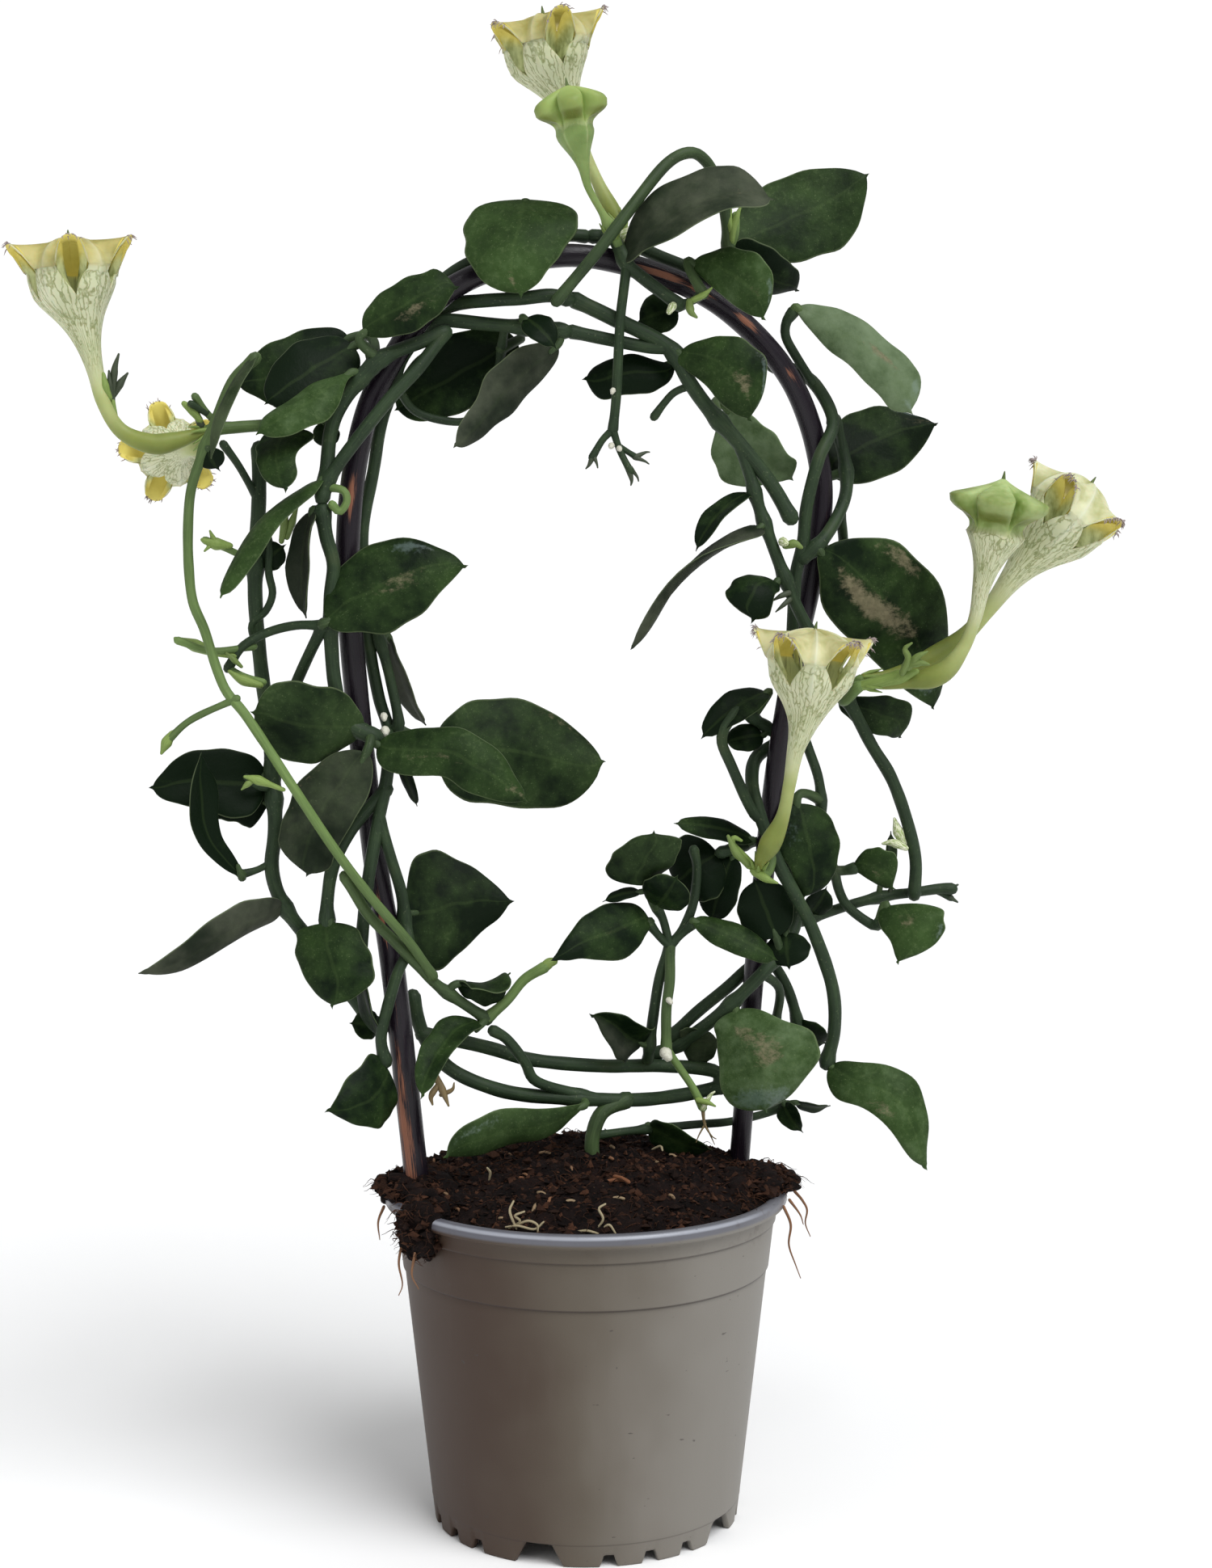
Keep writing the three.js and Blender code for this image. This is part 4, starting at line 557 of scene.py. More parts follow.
# Outlines of the larger leaves: the left and right half widths at the marks along the blade, as shares of
# half the width. Left is to the left of the leaf's front when it points up.
OUTLINE_MARKS = (0.08, 0.2, 0.35, 0.5, 0.65, 0.8, 0.92)
OUTLINES = {
    "stem_base": {
        0: ((0.22, 0.5, 0.57, 0.42, 0.35, 0.33, 0.15), (0.25, 0.42, 0.65, 1.03, 1.2, 1.1, 0.8)),
        1: ((1.1, 1.4, 1.5, 1.4, 1.2, 1.0, 0.6), (1.1, 1.3, 1.4, 1.4, 1.3, 1.0, 0.6)),
    },
    "shoot_free": {
        0: ((0.5, 0.6, 0.6, 0.6, 0.55, 0.5, 0.35), (0.4, 0.5, 0.55, 0.55, 0.55, 0.5, 0.35)),
        2: ((0.5, 0.6, 0.7, 0.8, 0.9, 1.0, 0.8), (0.5, 0.5, 0.75, 1.0, 1.0, 0.85, 0.5)),
        3: ((0.15, 0.12, 0.15, 0.15, 0.2, 0.2, 0.2), (0.9, 1.25, 1.3, 1.2, 1.1, 0.9, 0.6)),
    },
    "stem_left_low": {
        0: ((0.63, 0.8, 0.95, 1.05, 1.08, 0.97, 0.62), (0.8, 0.9, 0.93, 0.84, 0.67, 0.5, 0.28)),
        1: ((0.78, 1.02, 1.0, 0.82, 0.6, 0.4, 0.22), (0.7, 1.0, 1.06, 0.98, 0.78, 0.53, 0.27)),
        2: ((1.0, 1.2, 1.32, 1.3, 1.08, 0.77, 0.38), (0.47, 0.52, 0.46, 0.42, 0.37, 0.22, 0.1)),
    },
    "stem_left_outer": {
        0: ((0.95, 1.4, 1.4, 1.18, 0.92, 0.72, 0.5), (0.6, 0.85, 1.0, 1.05, 1.0, 0.8, 0.4)),
        1: ((0.3, 0.45, 0.55, 0.6, 0.6, 0.6, 0.35), (0.3, 0.45, 0.5, 0.7, 1.0, 0.9, 0.45)),
        2: ((0.8, 0.9, 0.9, 0.95, 1.0, 1.1, 0.9), (0.7, 0.85, 0.95, 0.95, 0.95, 0.9, 0.7)),
        3: ((0.35, 0.25, 0.1, 0.1, 0.3, 0.45, 0.3), (0.85, 1.2, 1.5, 1.5, 1.25, 0.72, 0.3)),
    },
    "stem_left_mid": {
        0: ((0.6, 1.0, 1.18, 1.3, 1.18, 0.92, 0.52), (0.36, 0.53, 0.75, 0.72, 0.62, 0.35, 0.15)),
        2: ((0.7, 0.95, 1.0, 0.97, 0.98, 0.87, 0.62), (0.47, 0.77, 0.92, 0.95, 0.87, 0.64, 0.37)),
        3: ((0.62, 1.0, 1.3, 1.45, 1.35, 1.05, 0.55), (0.7, 0.75, 0.55, 0.35, 0.55, 0.47, 0.28)),
        4: ((0.42, 0.7, 0.94, 1.03, 1.0, 0.87, 0.52), (0.4, 0.73, 0.86, 0.88, 0.88, 0.82, 0.63)),
        5: ((0.32, 0.48, 0.53, 0.48, 0.42, 0.42, 0.4), (0.65, 0.95, 1.2, 1.3, 1.25, 1.15, 0.95)),
    },
    "stem_left_top": {
        0: ((0.4, 0.7, 0.9, 1.0, 1.0, 0.95, 0.5), (0.38, 0.55, 0.63, 0.6, 0.57, 0.42, 0.2)),
        2: ((0.3, 0.7, 1.2, 1.45, 1.35, 1.1, 0.7), (0.12, 0.25, 0.5, 0.5, 0.5, 0.5, 0.4)),
        3: ((0.6, 0.52, 0.35, 0.25, 0.28, 0.34, 0.21), (1.05, 1.25, 1.28, 1.17, 1.07, 0.92, 0.62)),
        5: ((0.55, 0.75, 0.87, 0.93, 0.97, 0.88, 0.75), (0.3, 0.5, 0.65, 0.68, 0.6, 0.47, 0.2)),
    },
    "stem_top_left": {
        0: ((0.78, 0.98, 0.97, 0.85, 0.68, 0.48, 0.3), (0.82, 1.05, 1.08, 1.05, 1.0, 0.86, 0.61)),
        2: ((0.5, 0.85, 0.95, 0.9, 0.5, 0.4, 0.3), (0.6, 0.85, 0.95, 1.0, 0.85, 0.75, 0.5)),
    },
    "arch_top": {
        0: ((0.75, 1.1, 1.35, 1.5, 1.5, 1.45, 1.25), (0.6, 1.0, 1.25, 1.3, 1.2, 1.05, 0.85)),
        1: ((0.36, 0.65, 0.88, 0.97, 1.0, 0.82, 0.42), (0.45, 0.75, 0.9, 0.95, 0.86, 0.64, 0.38)),
        2: ((0.5, 0.95, 1.2, 1.35, 1.4, 1.22, 0.8), (0.15, 0.15, 0.2, 0.22, 0.25, 0.2, 0.12)),
        3: ((1.0, 1.3, 1.4, 1.4, 1.25, 0.95, 0.75), (0.5, 0.5, 0.5, 0.5, 0.5, 0.35, 0.15)),
    },
    "stem_top_right": {
        0: ((0.6, 1.05, 1.35, 1.5, 1.5, 1.37, 0.9), (0.2, 0.2, 0.15, 0.15, 0.2, 0.2, 0.12)),
        1: ((0.7, 0.97, 1.1, 1.08, 1.0, 1.1, 0.85), (0.05, 0.2, 0.45, 0.58, 0.55, 0.5, 0.35)),
        2: ((0.3, 0.4, 0.45, 0.55, 0.5, 0.42, 0.4), (0.6, 1.0, 1.2, 1.3, 1.2, 0.8, 0.35)),
        5: ((0.2, 0.3, 0.25, 0.33, 0.4, 0.45, 0.25), (0.6, 1.0, 1.25, 1.38, 1.42, 1.38, 1.1)),
    },
    "stem_right_top": {
        0: ((0.45, 0.8, 1.0, 1.1, 1.1, 1.12, 0.92), (0.2, 0.3, 0.35, 0.3, 0.35, 0.35, 0.33)),
        1: ((0.3, 0.5, 0.6, 0.66, 0.58, 0.42, 0.2), (1.0, 1.2, 1.35, 1.4, 1.3, 0.9, 0.45)),
        2: ((0.65, 1.08, 1.28, 1.3, 1.2, 0.85, 0.5), (0.25, 0.5, 0.55, 0.42, 0.35, 0.25, 0.12)),
    },
    "stem_right_mid": {
        0: ((0.3, 0.6, 0.95, 1.1, 1.2, 1.1, 0.7), (0.3, 0.35, 0.38, 0.38, 0.25, 0.12, 0.1)),
        3: ((0.74, 1.02, 1.13, 1.12, 1.05, 0.92, 0.7), (0.6, 0.8, 0.8, 0.7, 0.45, 0.3, 0.12)),
        4: ((0.9, 1.2, 1.42, 1.5, 1.5, 1.4, 1.05), (0.1, 0.08, 0.08, 0.1, 0.15, 0.2, 0.15)),
        5: ((1.0, 1.45, 1.6, 1.57, 1.48, 1.28, 0.85), (0.25, 0.33, 0.32, 0.2, 0.1, 0.06, 0.04)),
        6: ((0.55, 1.0, 1.42, 1.5, 1.3, 0.85, 0.35), (0.5, 0.6, 0.3, 0.15, 0.15, 0.2, 0.15)),
    },
    "branch_right": {
        0: ((0.35, 0.68, 0.88, 0.84, 0.58, 0.33, 0.2), (0.75, 1.03, 1.13, 1.1, 0.93, 0.62, 0.3)),
        1: ((0.85, 1.1, 1.1, 1.04, 0.93, 0.73, 0.48), (0.12, 0.25, 0.45, 0.57, 0.65, 0.7, 0.65)),
        4: ((0.95, 1.0, 0.97, 0.75, 0.55, 0.35, 0.12), (0.95, 1.0, 1.0, 1.0, 0.95, 0.75, 0.48)),
    },
    "stem_right_foot": {
        0: ((0.54, 0.86, 1.3, 1.5, 1.45, 1.1, 0.7), (0.5, 0.57, 0.62, 0.7, 0.75, 0.74, 0.55)),
        2: ((1.2, 1.4, 1.5, 1.5, 1.4, 1.2, 0.8), (1.0, 1.2, 1.3, 1.3, 1.2, 1.0, 0.6)),
    },
}

# How fresh and light some strands are, at even marks from their start to their end: 0 is old dark stem and
# 1 is bright green
FRESH = {
    "stem_base": {0: (0.3, 0.1)},
    "shoot_free": {0: (0.3, 0.1), 1: (0.3, 0.55, 0.85, 0.8, 0.6, 0.4, 0.25), 2: (0.55, 0.5), 3: (0.5, 0.9)},
    "stem_left_outer": {5: (0.4, 0.8)},
    "stem_left_mid": {5: (0.5, 0.9), 6: (0.5, 0.9)},
    "stem_left_top": {2: (0.6, 0.9), 3: (0.1, 0.55), 4: (0.4, 0.4)},
    "arch_top": {1: (0.1, 0.15), 2: (0.4, 0.9), 3: (0.4, 0.9), 9: (0.5, 1.0)},
    "stem_right_mid": {6: (0.2, 0.8), 7: (0.3, 0.8), 8: (0.3, 0.8)},
    "branch_right": {1: (0.15, 0.4), 2: (0.6, 1.0)},
}

# Flowers: path from the stalk through the swollen base and the tube to the rim, then the apex.
# The spin turns the five corners of the canopy; 0 sets a corner towards the front. rim, neck and
# reach are radii, window a half angle, funnel its reach and power, bulge its place, radius and spread.
# A young one's pouch and valley are profiles over a corner and a claw: share of its height, radius.
FLOWERS = {
    "flower_top_open": {
        "path": [(11.2, 6.3, 380.9), (9.6, 7.6, 384.2), (7.2, 9, 388), (3.2, 10.2, 396.3),
                 (-1.6, 10.1, 407.2), (-9.7, 8.3, 429.3), (-12.3, 7.7, 443.2)],
        "spin": 17, "young": False, "rim": 11.4, "neck": 1.7, "reach": 17.4, "window": 21, "tip": 13,
        "funnel": (9.5, 1.3), "bulge": (8, 2.6, 6), "hairs": 18, "ripe": 1.0, "fold": 8.6,
    },
    "flower_top_young": {
        "path": [(8.9, -6.8, 377), (7.2, -9, 380), (4.9, -11.5, 383.8), (1, -15.4, 390.4),
                 (-0.4, -17.7, 396.1), (-2.6, -19.2, 404.8), (-4.4, -19.6, 414.9)],
        "spin": 0, "young": True, "rim": 5.3, "neck": 1.0, "reach": 10.8, "window": 24, "hairs": 0,
        "funnel": (6.6, 1.6), "bulge": (4, 2.2, 3), "green": 1.0, "tall": 13.2, "pinch": 2.6,
        "pouch": [(0, 5.3), (0.12, 4.9), (0.22, 4.8), (0.27, 6), (0.33, 8.4), (0.42, 10.2), (0.54, 10.8),
                  (0.68, 9.9), (0.8, 7.4), (0.92, 3.8), (1, 0.5)],
        "valley": [(0, 6), (0.1, 5.4), (0.2, 4.7), (0.34, 4.6), (0.5, 5), (0.66, 5.3), (0.82, 4.6),
                   (0.95, 2.4), (1, 0.5)],
    },
    "flower_left_open": {
        "path": [(-105, -24.5, 322.1), (-115.2, -28, 318.6), (-121.5, -29.5, 317.9), (-129.4, -30.3, 321.4),
                 (-134, -31.5, 329.2), (-136.4, -31.1, 338.8), (-141.3, -32.4, 360.2),
                 (-142.6, -32.7, 374.2)],
        "spin": 11.5, "young": False, "rim": 11.3, "neck": 1.85, "reach": 17.4, "window": 20.5, "tip": 13.2,
        "funnel": (10.6, 1.38), "bulge": (15, 2.95, 10), "hairs": 10, "ripe": 1.0, "fold": 3.6,
    },
    "flower_left_back": {
        "path": [(-107.1, -15.7, 320.3), (-110.9, -10.4, 318.5), (-115.3, -1, 317.5), (-119.5, 10.5, 317.1),
                 (-124.6, 24.9, 317.7), (-127.9, 38.7, 318.5)],
        "spin": -10, "young": False, "rim": 8.7, "neck": 1.7, "reach": 15.2, "window": 23, "tip": 9.5,
        "funnel": (9, 1.3), "bulge": (9, 2.8, 6), "hairs": 16, "ripe": 0.3,
    },
    "flower_right_young": {
        "path": [(81.5, 4.6, 248.8), (90.7, 3.2, 249.1), (104.1, 2, 252), (110.7, 1.2, 259.4),
                 (114.2, 0.5, 268.5), (115.8, -1.1, 277.9), (118.8, -3.3, 292.2), (121.2, -4.7, 309)],
        "spin": -14, "young": True, "rim": 8.2, "neck": 1.65, "reach": 15, "window": 24, "hairs": 0,
        "funnel": (8.7, 1.1), "bulge": (21, 3.3, 10), "green": 0.0, "pinch": 4.5,
        "pouch": [(0, 8.2), (0.12, 6.9), (0.2, 6.3), (0.26, 7), (0.33, 9.4), (0.42, 12.4), (0.52, 14.4),
                  (0.61, 14.9), (0.67, 13.7), (0.73, 10.8), (0.8, 7.5), (0.87, 4.4), (0.94, 2), (1, 0.5)],
        "valley": [(0, 9.6), (0.07, 8.7), (0.17, 7), (0.28, 6.3), (0.42, 6.3), (0.55, 6.6), (0.67, 6.6),
                   (0.77, 5.6), (0.86, 3.9), (0.94, 2), (1, 0.5)],
    },
    "flower_right_open": {
        "path": [(82, 8.6, 250.8), (91, 10.5, 251.6), (102.4, 12.8, 255.8), (112.3, 14.6, 262.2),
                 (119.9, 15.8, 270.3), (127.4, 16.5, 280), (139.6, 17.5, 294.5), (151, 18, 308.4)],
        "spin": -27, "young": False, "rim": 11.6, "neck": 1.9, "reach": 17.4, "window": 21.5, "tip": 13.2,
        "funnel": (12.5, 1.25), "bulge": (24, 3.3, 11), "hairs": 42, "fold": 9.4, "ripe": 0.1,
    },
    "flower_front_open": {
        "path": [(50.8, -4.6, 194.3), (51.1, -7.6, 197.7), (53.6, -9.6, 202.6), (57.2, -11.6, 210.9),
                 (59.1, -13.4, 220.9), (60.5, -15.1, 230), (62.9, -16.5, 240.1), (64.4, -17.1, 251.5),
                 (65.9, -17.8, 265.9)],
        "spin": 36, "young": False, "rim": 11.6, "neck": 1.75, "reach": 17.6, "window": 22, "tip": 13,
        "funnel": (10.8, 1.38), "bulge": (11, 3.2, 7), "hairs": 34, "ripe": 0.55, "fold": 2.3,
    },
}

# Small buds, sepals, stubs and drops of sap: kind, path and radii along it. Looks are pale, dark and dry.
BUD_LOOKS = {
    "bud": (0, 0.3, 0), "leafy": (0, 0.5, 0), "dark": (0, 1, 0), "pale": (1, 0, 0), "dry": (0, 0, 1),
    "latex": (0, 0, 0),
}
BUDS = {
    "shoot_free": [
        ("bud", [(-115.5, -35, 237), (-117, -35, 234.9), (-118.7, -35, 231.5)], (1.0, 1.7, 0.4)),
        ("bud", [(-84.2, -38, 221.5), (-88.8, -39, 223.4), (-92, -39.6, 224.6), (-94.7, -40, 225.3)],
         (0.6, 0.8, 1.5, 0.4)),
        ("leafy", [(-92, -39, 224.5), (-94, -40, 223.2), (-95.5, -41, 221.8)], (0.5, 1.0, 0.2)),
        ("bud", [(-12, -11, 167), (-10.5, -10.5, 168.2), (-9.3, -10.5, 168.6)], (1.6, 1.7, 1.2)),
    ],
    "stem_left_mid": [
        ("bud", [(-99.1, -27, 258.4), (-105.3, -28, 259.8), (-110.1, -29, 261.6), (-115.2, -30, 263.5)],
         (0.8, 1.2, 1.9, 0.5)),
        ("bud", [(-91.7, -28, 250.2), (-96.6, -29, 251.8), (-100.1, -30, 254.2)], (0.9, 1.6, 0.5)),
        ("leafy", [(-97, -28, 255.5), (-99.5, -29, 258), (-101, -29.5, 259.5)], (0.5, 0.9, 0.2)),
        ("latex", [(-57.7, -18.5, 240.9), (-57.5, -19.5, 240.2)], (1.2, 0.8)),
        ("latex", [(-57.3, -19.5, 236.8), (-57.2, -20.5, 236.2)], (1.5, 1.1)),
    ],
    "stem_left_outer": [
        ("bud", [(-100.4, -24, 289.5), (-105, -26, 290.2), (-107.6, -27, 291.1)], (0.9, 1.9, 0.6)),
        ("bud", [(-105, -26, 290.2), (-107, -27.5, 288)], (0.9, 0.3)),
        ("bud", [(-104.5, -26, 291), (-105.4, -27.5, 293.6)], (1.0, 0.3)),
        ("leafy", [(-86.3, -20, 290.8), (-85, -22, 296.3), (-84.2, -23, 300.2)], (0.8, 1.2, 0.3)),
        ("leafy", [(-84.7, -20, 291.9), (-82.7, -22, 297), (-81.3, -23, 300.4)], (0.8, 1.2, 0.3)),
    ],
    "stem_left_top": [
        ("dark", [(-131.8, -30, 327), (-131.4, -30, 333), (-131, -30, 338.5), (-129.8, -30, 342.6)],
         (0.7, 0.6, 1.1, 0.3)),
        ("dark", [(-131.8, -30, 329.9), (-132.2, -31, 333.7), (-132.4, -31, 337.9)], (0.6, 0.9, 0.3)),
        ("dark", [(-131.5, -29, 331.1), (-129.6, -29, 334.7), (-127.6, -29, 337.4)], (0.6, 1.2, 0.3)),
        ("bud", [(-132.3, -31, 330.5), (-133.2, -32, 333.1), (-133.8, -32, 336.9)], (0.8, 1.2, 0.6)),
        ("bud", [(-131.2, -30, 323), (-131.6, -30, 327), (-131.7, -30, 330)], (1.3, 1.1, 0.7)),
        ("dark", [(-107.8, -25, 322.9), (-108.7, -26, 325.7), (-109.8, -26, 330.9)], (1.2, 0.9, 0.2)),
        ("bud", [(-108.1, -26, 324.6), (-109.5, -27, 326.6), (-112, -28, 329)], (1.0, 1.3, 0.9)),
    ],
    "arch_top": [
        ("bud", [(43, 12, 379), (43.2, 11, 382.2), (44.4, 10, 386), (45.4, 10, 388.5)], (1.0, 1.3, 1.0, 0.3)),
        ("bud", [(43, 12, 380), (42.2, 10, 384), (42.6, 9.5, 387.6)], (0.9, 1.0, 0.3)),
        ("dark", [(2.3, -6, 315.7), (1.2, -6.5, 313), (0.2, -6, 311.8)], (1.0, 0.7, 0.2)),
        ("dark", [(2.3, -6, 315.7), (3.3, -7, 313.3), (3.6, -7, 312)], (0.9, 0.5, 0.2)),
        ("dark", [(12.7, -7, 311.2), (13.4, -7, 308.4), (13.2, -7, 307)], (1.0, 0.7, 0.2)),
        ("dark", [(13, -7, 312), (15, -6, 309.5), (15.4, -6, 308.2)], (0.8, 0.5, 0.2)),
        ("dark", [(14.4, -4.5, 315.1), (17.4, -4, 316.5), (18.6, -4, 316.6)], (0.9, 0.6, 0.2)),
        ("dark", [(14.4, -4.5, 315.1), (17.2, -4.5, 314), (18.4, -4.5, 313.2)], (0.8, 0.5, 0.2)),
        ("latex", [(7.6, -7.2, 318.4), (7.4, -8, 318)], (1.0, 0.8)),
        ("latex", [(9.8, -7.2, 317.6), (10, -8, 317.2)], (0.9, 0.7)),
        ("latex", [(8, -8.4, 334), (7.8, -8.8, 333.4)], (0.9, 0.6)),
        ("pale", [(9.3, 4, 376.1), (11.9, 3, 379.7), (14.2, 2.4, 382)], (1.2, 2.0, 0.6)),
        ("pale", [(10.3, 4, 374.8), (13.6, 2.6, 377), (16.4, 2, 379.4)], (1.1, 1.9, 0.5)),
        ("pale", [(11.6, 3.6, 373.6), (14.8, 2.4, 374.4), (17, 1.8, 376)], (1.0, 1.6, 0.4)),
        ("pale", [(25.2, -5, 358.3), (24.2, -6, 356.6)], (1.3, 0.9)),
        ("bud", [(31, -4, 360), (34.3, -5, 361.6), (36.4, -5, 363.4)], (0.9, 1.0, 0.3)),
        ("leafy", [(30, -4, 359.6), (30.4, -6, 356.6), (32, -6.4, 355)], (1.0, 1.3, 0.4)),
    ],
    "stem_right_mid": [
        ("leafy", [(92.8, -2, 252.7), (94.2, -4, 256.8), (93.1, -5, 259.7), (94.9, -6, 261.4)],
         (1.0, 1.1, 0.9, 0.3)),
        ("leafy", [(94.4, -2, 254.1), (96.9, -5, 257.5), (99.4, -6, 258.9)], (1.1, 1.3, 0.3)),
        ("leafy", [(93.4, -2, 254.7), (97.4, -4.5, 255.6), (100, -6, 255.2)], (1.0, 1.3, 0.3)),
        ("bud", [(81, 5, 248.4), (86, 3.4, 249.5), (92, 2, 251), (97, -1, 253)], (1.5, 1.9, 2.3, 0.8)),
        ("bud", [(48.5, -4.6, 196.2), (45, -7, 200), (42.8, -8, 202.9), (43.4, -9, 204.8), (45.5, -9, 204)],
         (1.5, 1.5, 1.3, 1.0, 0.4)),
        ("leafy", [(47.5, -6, 196.8), (44, -8.6, 200.5), (41.6, -9.6, 205.3)], (1.0, 1.4, 0.5)),
        ("bud", [(49.5, -5.6, 194.6), (53, -8, 192.6), (56, -9.6, 191.6)], (1.4, 1.3, 0.3)),
        ("pale", [(96.4, 20, 199.8), (94.5, 19, 203.4), (93.2, 18.5, 207.6)], (1.0, 1.8, 0.4)),
        ("pale", [(96.8, 19, 198.6), (92.6, 17.4, 200.4), (89.6, 17, 200.2)], (0.9, 1.4, 0.4)),
    ],
    "stem_top_right": [
        ("pale", [(57.6, -0.5, 290.8), (58.3, -2.6, 290.4)], (1.5, 1.0)),
        ("leafy", [(58.4, -0.4, 289.6), (61, -2, 290.2), (62.8, -2.6, 289.2)], (1.0, 1.4, 0.6)),
        ("dark", [(59.5, 0, 275.9), (57, -1.6, 275), (54.6, -2, 273.6)], (1.0, 0.8, 0.2)),
        ("dark", [(59.8, 0, 274), (57.4, -1.6, 272), (55.6, -2, 270.4)], (0.9, 0.7, 0.2)),
    ],
    "branch_right": [
        ("latex", [(24.6, 1.6, 155.2), (25.2, 0.8, 154.6)], (1.0, 0.8)),
        ("latex", [(23.8, 2.4, 139), (24.4, 1.6, 138)], (2.0, 1.5)),
        ("bud", [(33.6, 3.4, 124.5), (36.4, 2.4, 124), (38.6, 2, 123)], (1.0, 0.9, 0.3)),
        ("pale", [(35, 4, 121.8), (37.2, 3, 126), (38.4, 2.6, 127.2)], (0.8, 0.8, 0.3)),
        ("dry", [(35, 5, 122), (35.6, 4.6, 117), (37.6, 4, 113.6), (39, 4, 112.6)], (0.7, 0.45, 0.3, 0.15)),
        ("dry", [(35.8, 4.8, 117), (34, 4, 114), (33, 3.6, 111.6)], (0.35, 0.25, 0.12)),
        ("dry", [(36.4, 4.6, 115.6), (38.6, 4.4, 110.8)], (0.3, 0.12)),
    ],
    "stem_left_low": [
        ("dry", [(-43.6, -18, 136.5), (-41.3, -20, 132.2), (-39.6, -21, 128.1)], (0.9, 1.2, 0.3)),
        ("dry", [(-42.4, -19, 134.2), (-44.6, -21, 131), (-44.2, -21.6, 128.6)], (0.8, 1.0, 0.3)),
        ("dry", [(-41.8, -19.6, 131), (-38.6, -20, 132.6), (-38, -20, 134.6)], (0.7, 0.7, 0.2)),
    ],
    "stem_right_foot": [
        ("dark", [(111.5, 28.4, 185), (114, 28.6, 186.2)], (1.0, 0.3)),
        ("dark", [(111.5, 28.6, 182.4), (114, 29, 180.8)], (0.9, 0.3)),
        ("dark", [(93, 27.4, 184), (93.6, 25.6, 188)], (0.8, 0.4)),
    ],
}



# Shape functions


def unit(v):
    """The vectors, each divided by its length."""
    return v / np.maximum(np.linalg.norm(v, axis=-1, keepdims=True), 1e-12)


def ease(low, high, x):
    """0 below low, 1 above high, with a smooth cubic between."""
    t = np.clip((np.asarray(x, float) - low) / (high - low), 0, 1)
    return t * t * (3 - 2 * t)


def distance_run(path):
    """How far along the path each of its points lies: the sum of the steps before it."""
    return np.concatenate([[0], np.cumsum(np.linalg.norm(np.diff(path, axis=0), axis=1))])


def spread_out(values, count, places=None):
    """Values at even places from 0 to 1, or at the places given, read off between them at count points."""
    places = np.linspace(0, 1, len(values)) if places is None else places
    return np.interp(np.linspace(0, 1, count), places, values)


def smooth_path(points, step):
    """Even points on cubics through the rows: a row's slope is half the step between its neighbours."""
    p = np.asarray(points, float)
    ends = np.vstack([2 * p[0] - p[1], p, 2 * p[-1] - p[-2]])
    t = np.linspace(0, 1, 14, endpoint=False)[None, :, None]
    a, b, c, d = (ends[i : len(ends) - 3 + i][:, None, :] for i in range(4))
    cubic = b + 0.5 * t * (c - a + t * (2 * a - 5 * b + 4 * c - d + t * (3 * (b - c) + d - a)))
    fine = np.vstack([cubic.reshape(-1, p.shape[1]), p[-1]])
    run = distance_run(fine)
    want = np.linspace(0, run[-1], max(4, int(round(run[-1] / step))) + 1)
    return np.stack([np.interp(want, run, fine[:, k]) for k in range(p.shape[1])], 1)


def directions(path, reference=None):
    """Along, side and other at each point: side is one fixed direction made square to the path."""
    along = unit(np.gradient(path, axis=0))
    if reference is None:
        choices = unit(np.array(SIDE_CHOICES, float))
        reference = choices[np.argmin(np.abs(along @ choices.T).max(0))]
    side = unit(reference - (along @ reference)[:, None] * along)
    return along, side, np.cross(along, side)


def turn_about(v, axis, angle):
    """Each vector turned about the axis by its angle: the part along the axis stays and the rest turns."""
    angle = np.asarray(angle, float)[..., None]
    stays = axis * np.expand_dims(v @ axis, -1) * (1 - np.cos(angle))
    return v * np.cos(angle) + np.cross(axis, v) * np.sin(angle) + stays


def facing(axis, degrees):
    """The direction square to the axis that faces the front, turned about the axis."""
    return turn_about(unit(TO_FRONT - (TO_FRONT @ axis) * axis), axis, np.radians(degrees))


def waves(points, size, seed):
    """Smooth noise, mostly -1 to 1: twice the mean of sines in random directions, about one size apart."""
    rng = np.random.default_rng(seed)
    total = np.zeros(len(points))
    for _ in range(9):
        way = unit(rng.normal(size=points.shape[1])) * (2 * np.pi / size) * rng.uniform(0.6, 1.5)
        total += np.sin(points @ way + rng.uniform(0, 6.28))
    return total / 4.5


def grid_quads(rows, columns, closed):
    """The corners of each square of a grid numbered row by row; closed joins its last column to its first."""
    i = np.arange(rows - 1)[:, None]
    j = np.arange(columns if closed else columns - 1)[None, :]
    k = (j + 1) % columns
    corners = [i * columns + j, i * columns + k, (i + 1) * columns + k, (i + 1) * columns + j]
    return np.stack(corners, -1).reshape(-1, 4)


def fans(rows, columns):
    """Triangles from two poles, numbered after the grid, to its first and last rings."""
    j = np.arange(columns)
    k = (j + 1) % columns
    first = np.full(columns, rows * columns)
    last = (rows - 1) * columns
    return np.vstack([np.stack([first, k, j], 1), np.stack([first + 1, last + j, last + k], 1)])


def first_only(values):
    """Looks that hold the values in their first place and nothing in the others."""
    return np.stack([values, values * 0, values * 0], 1)


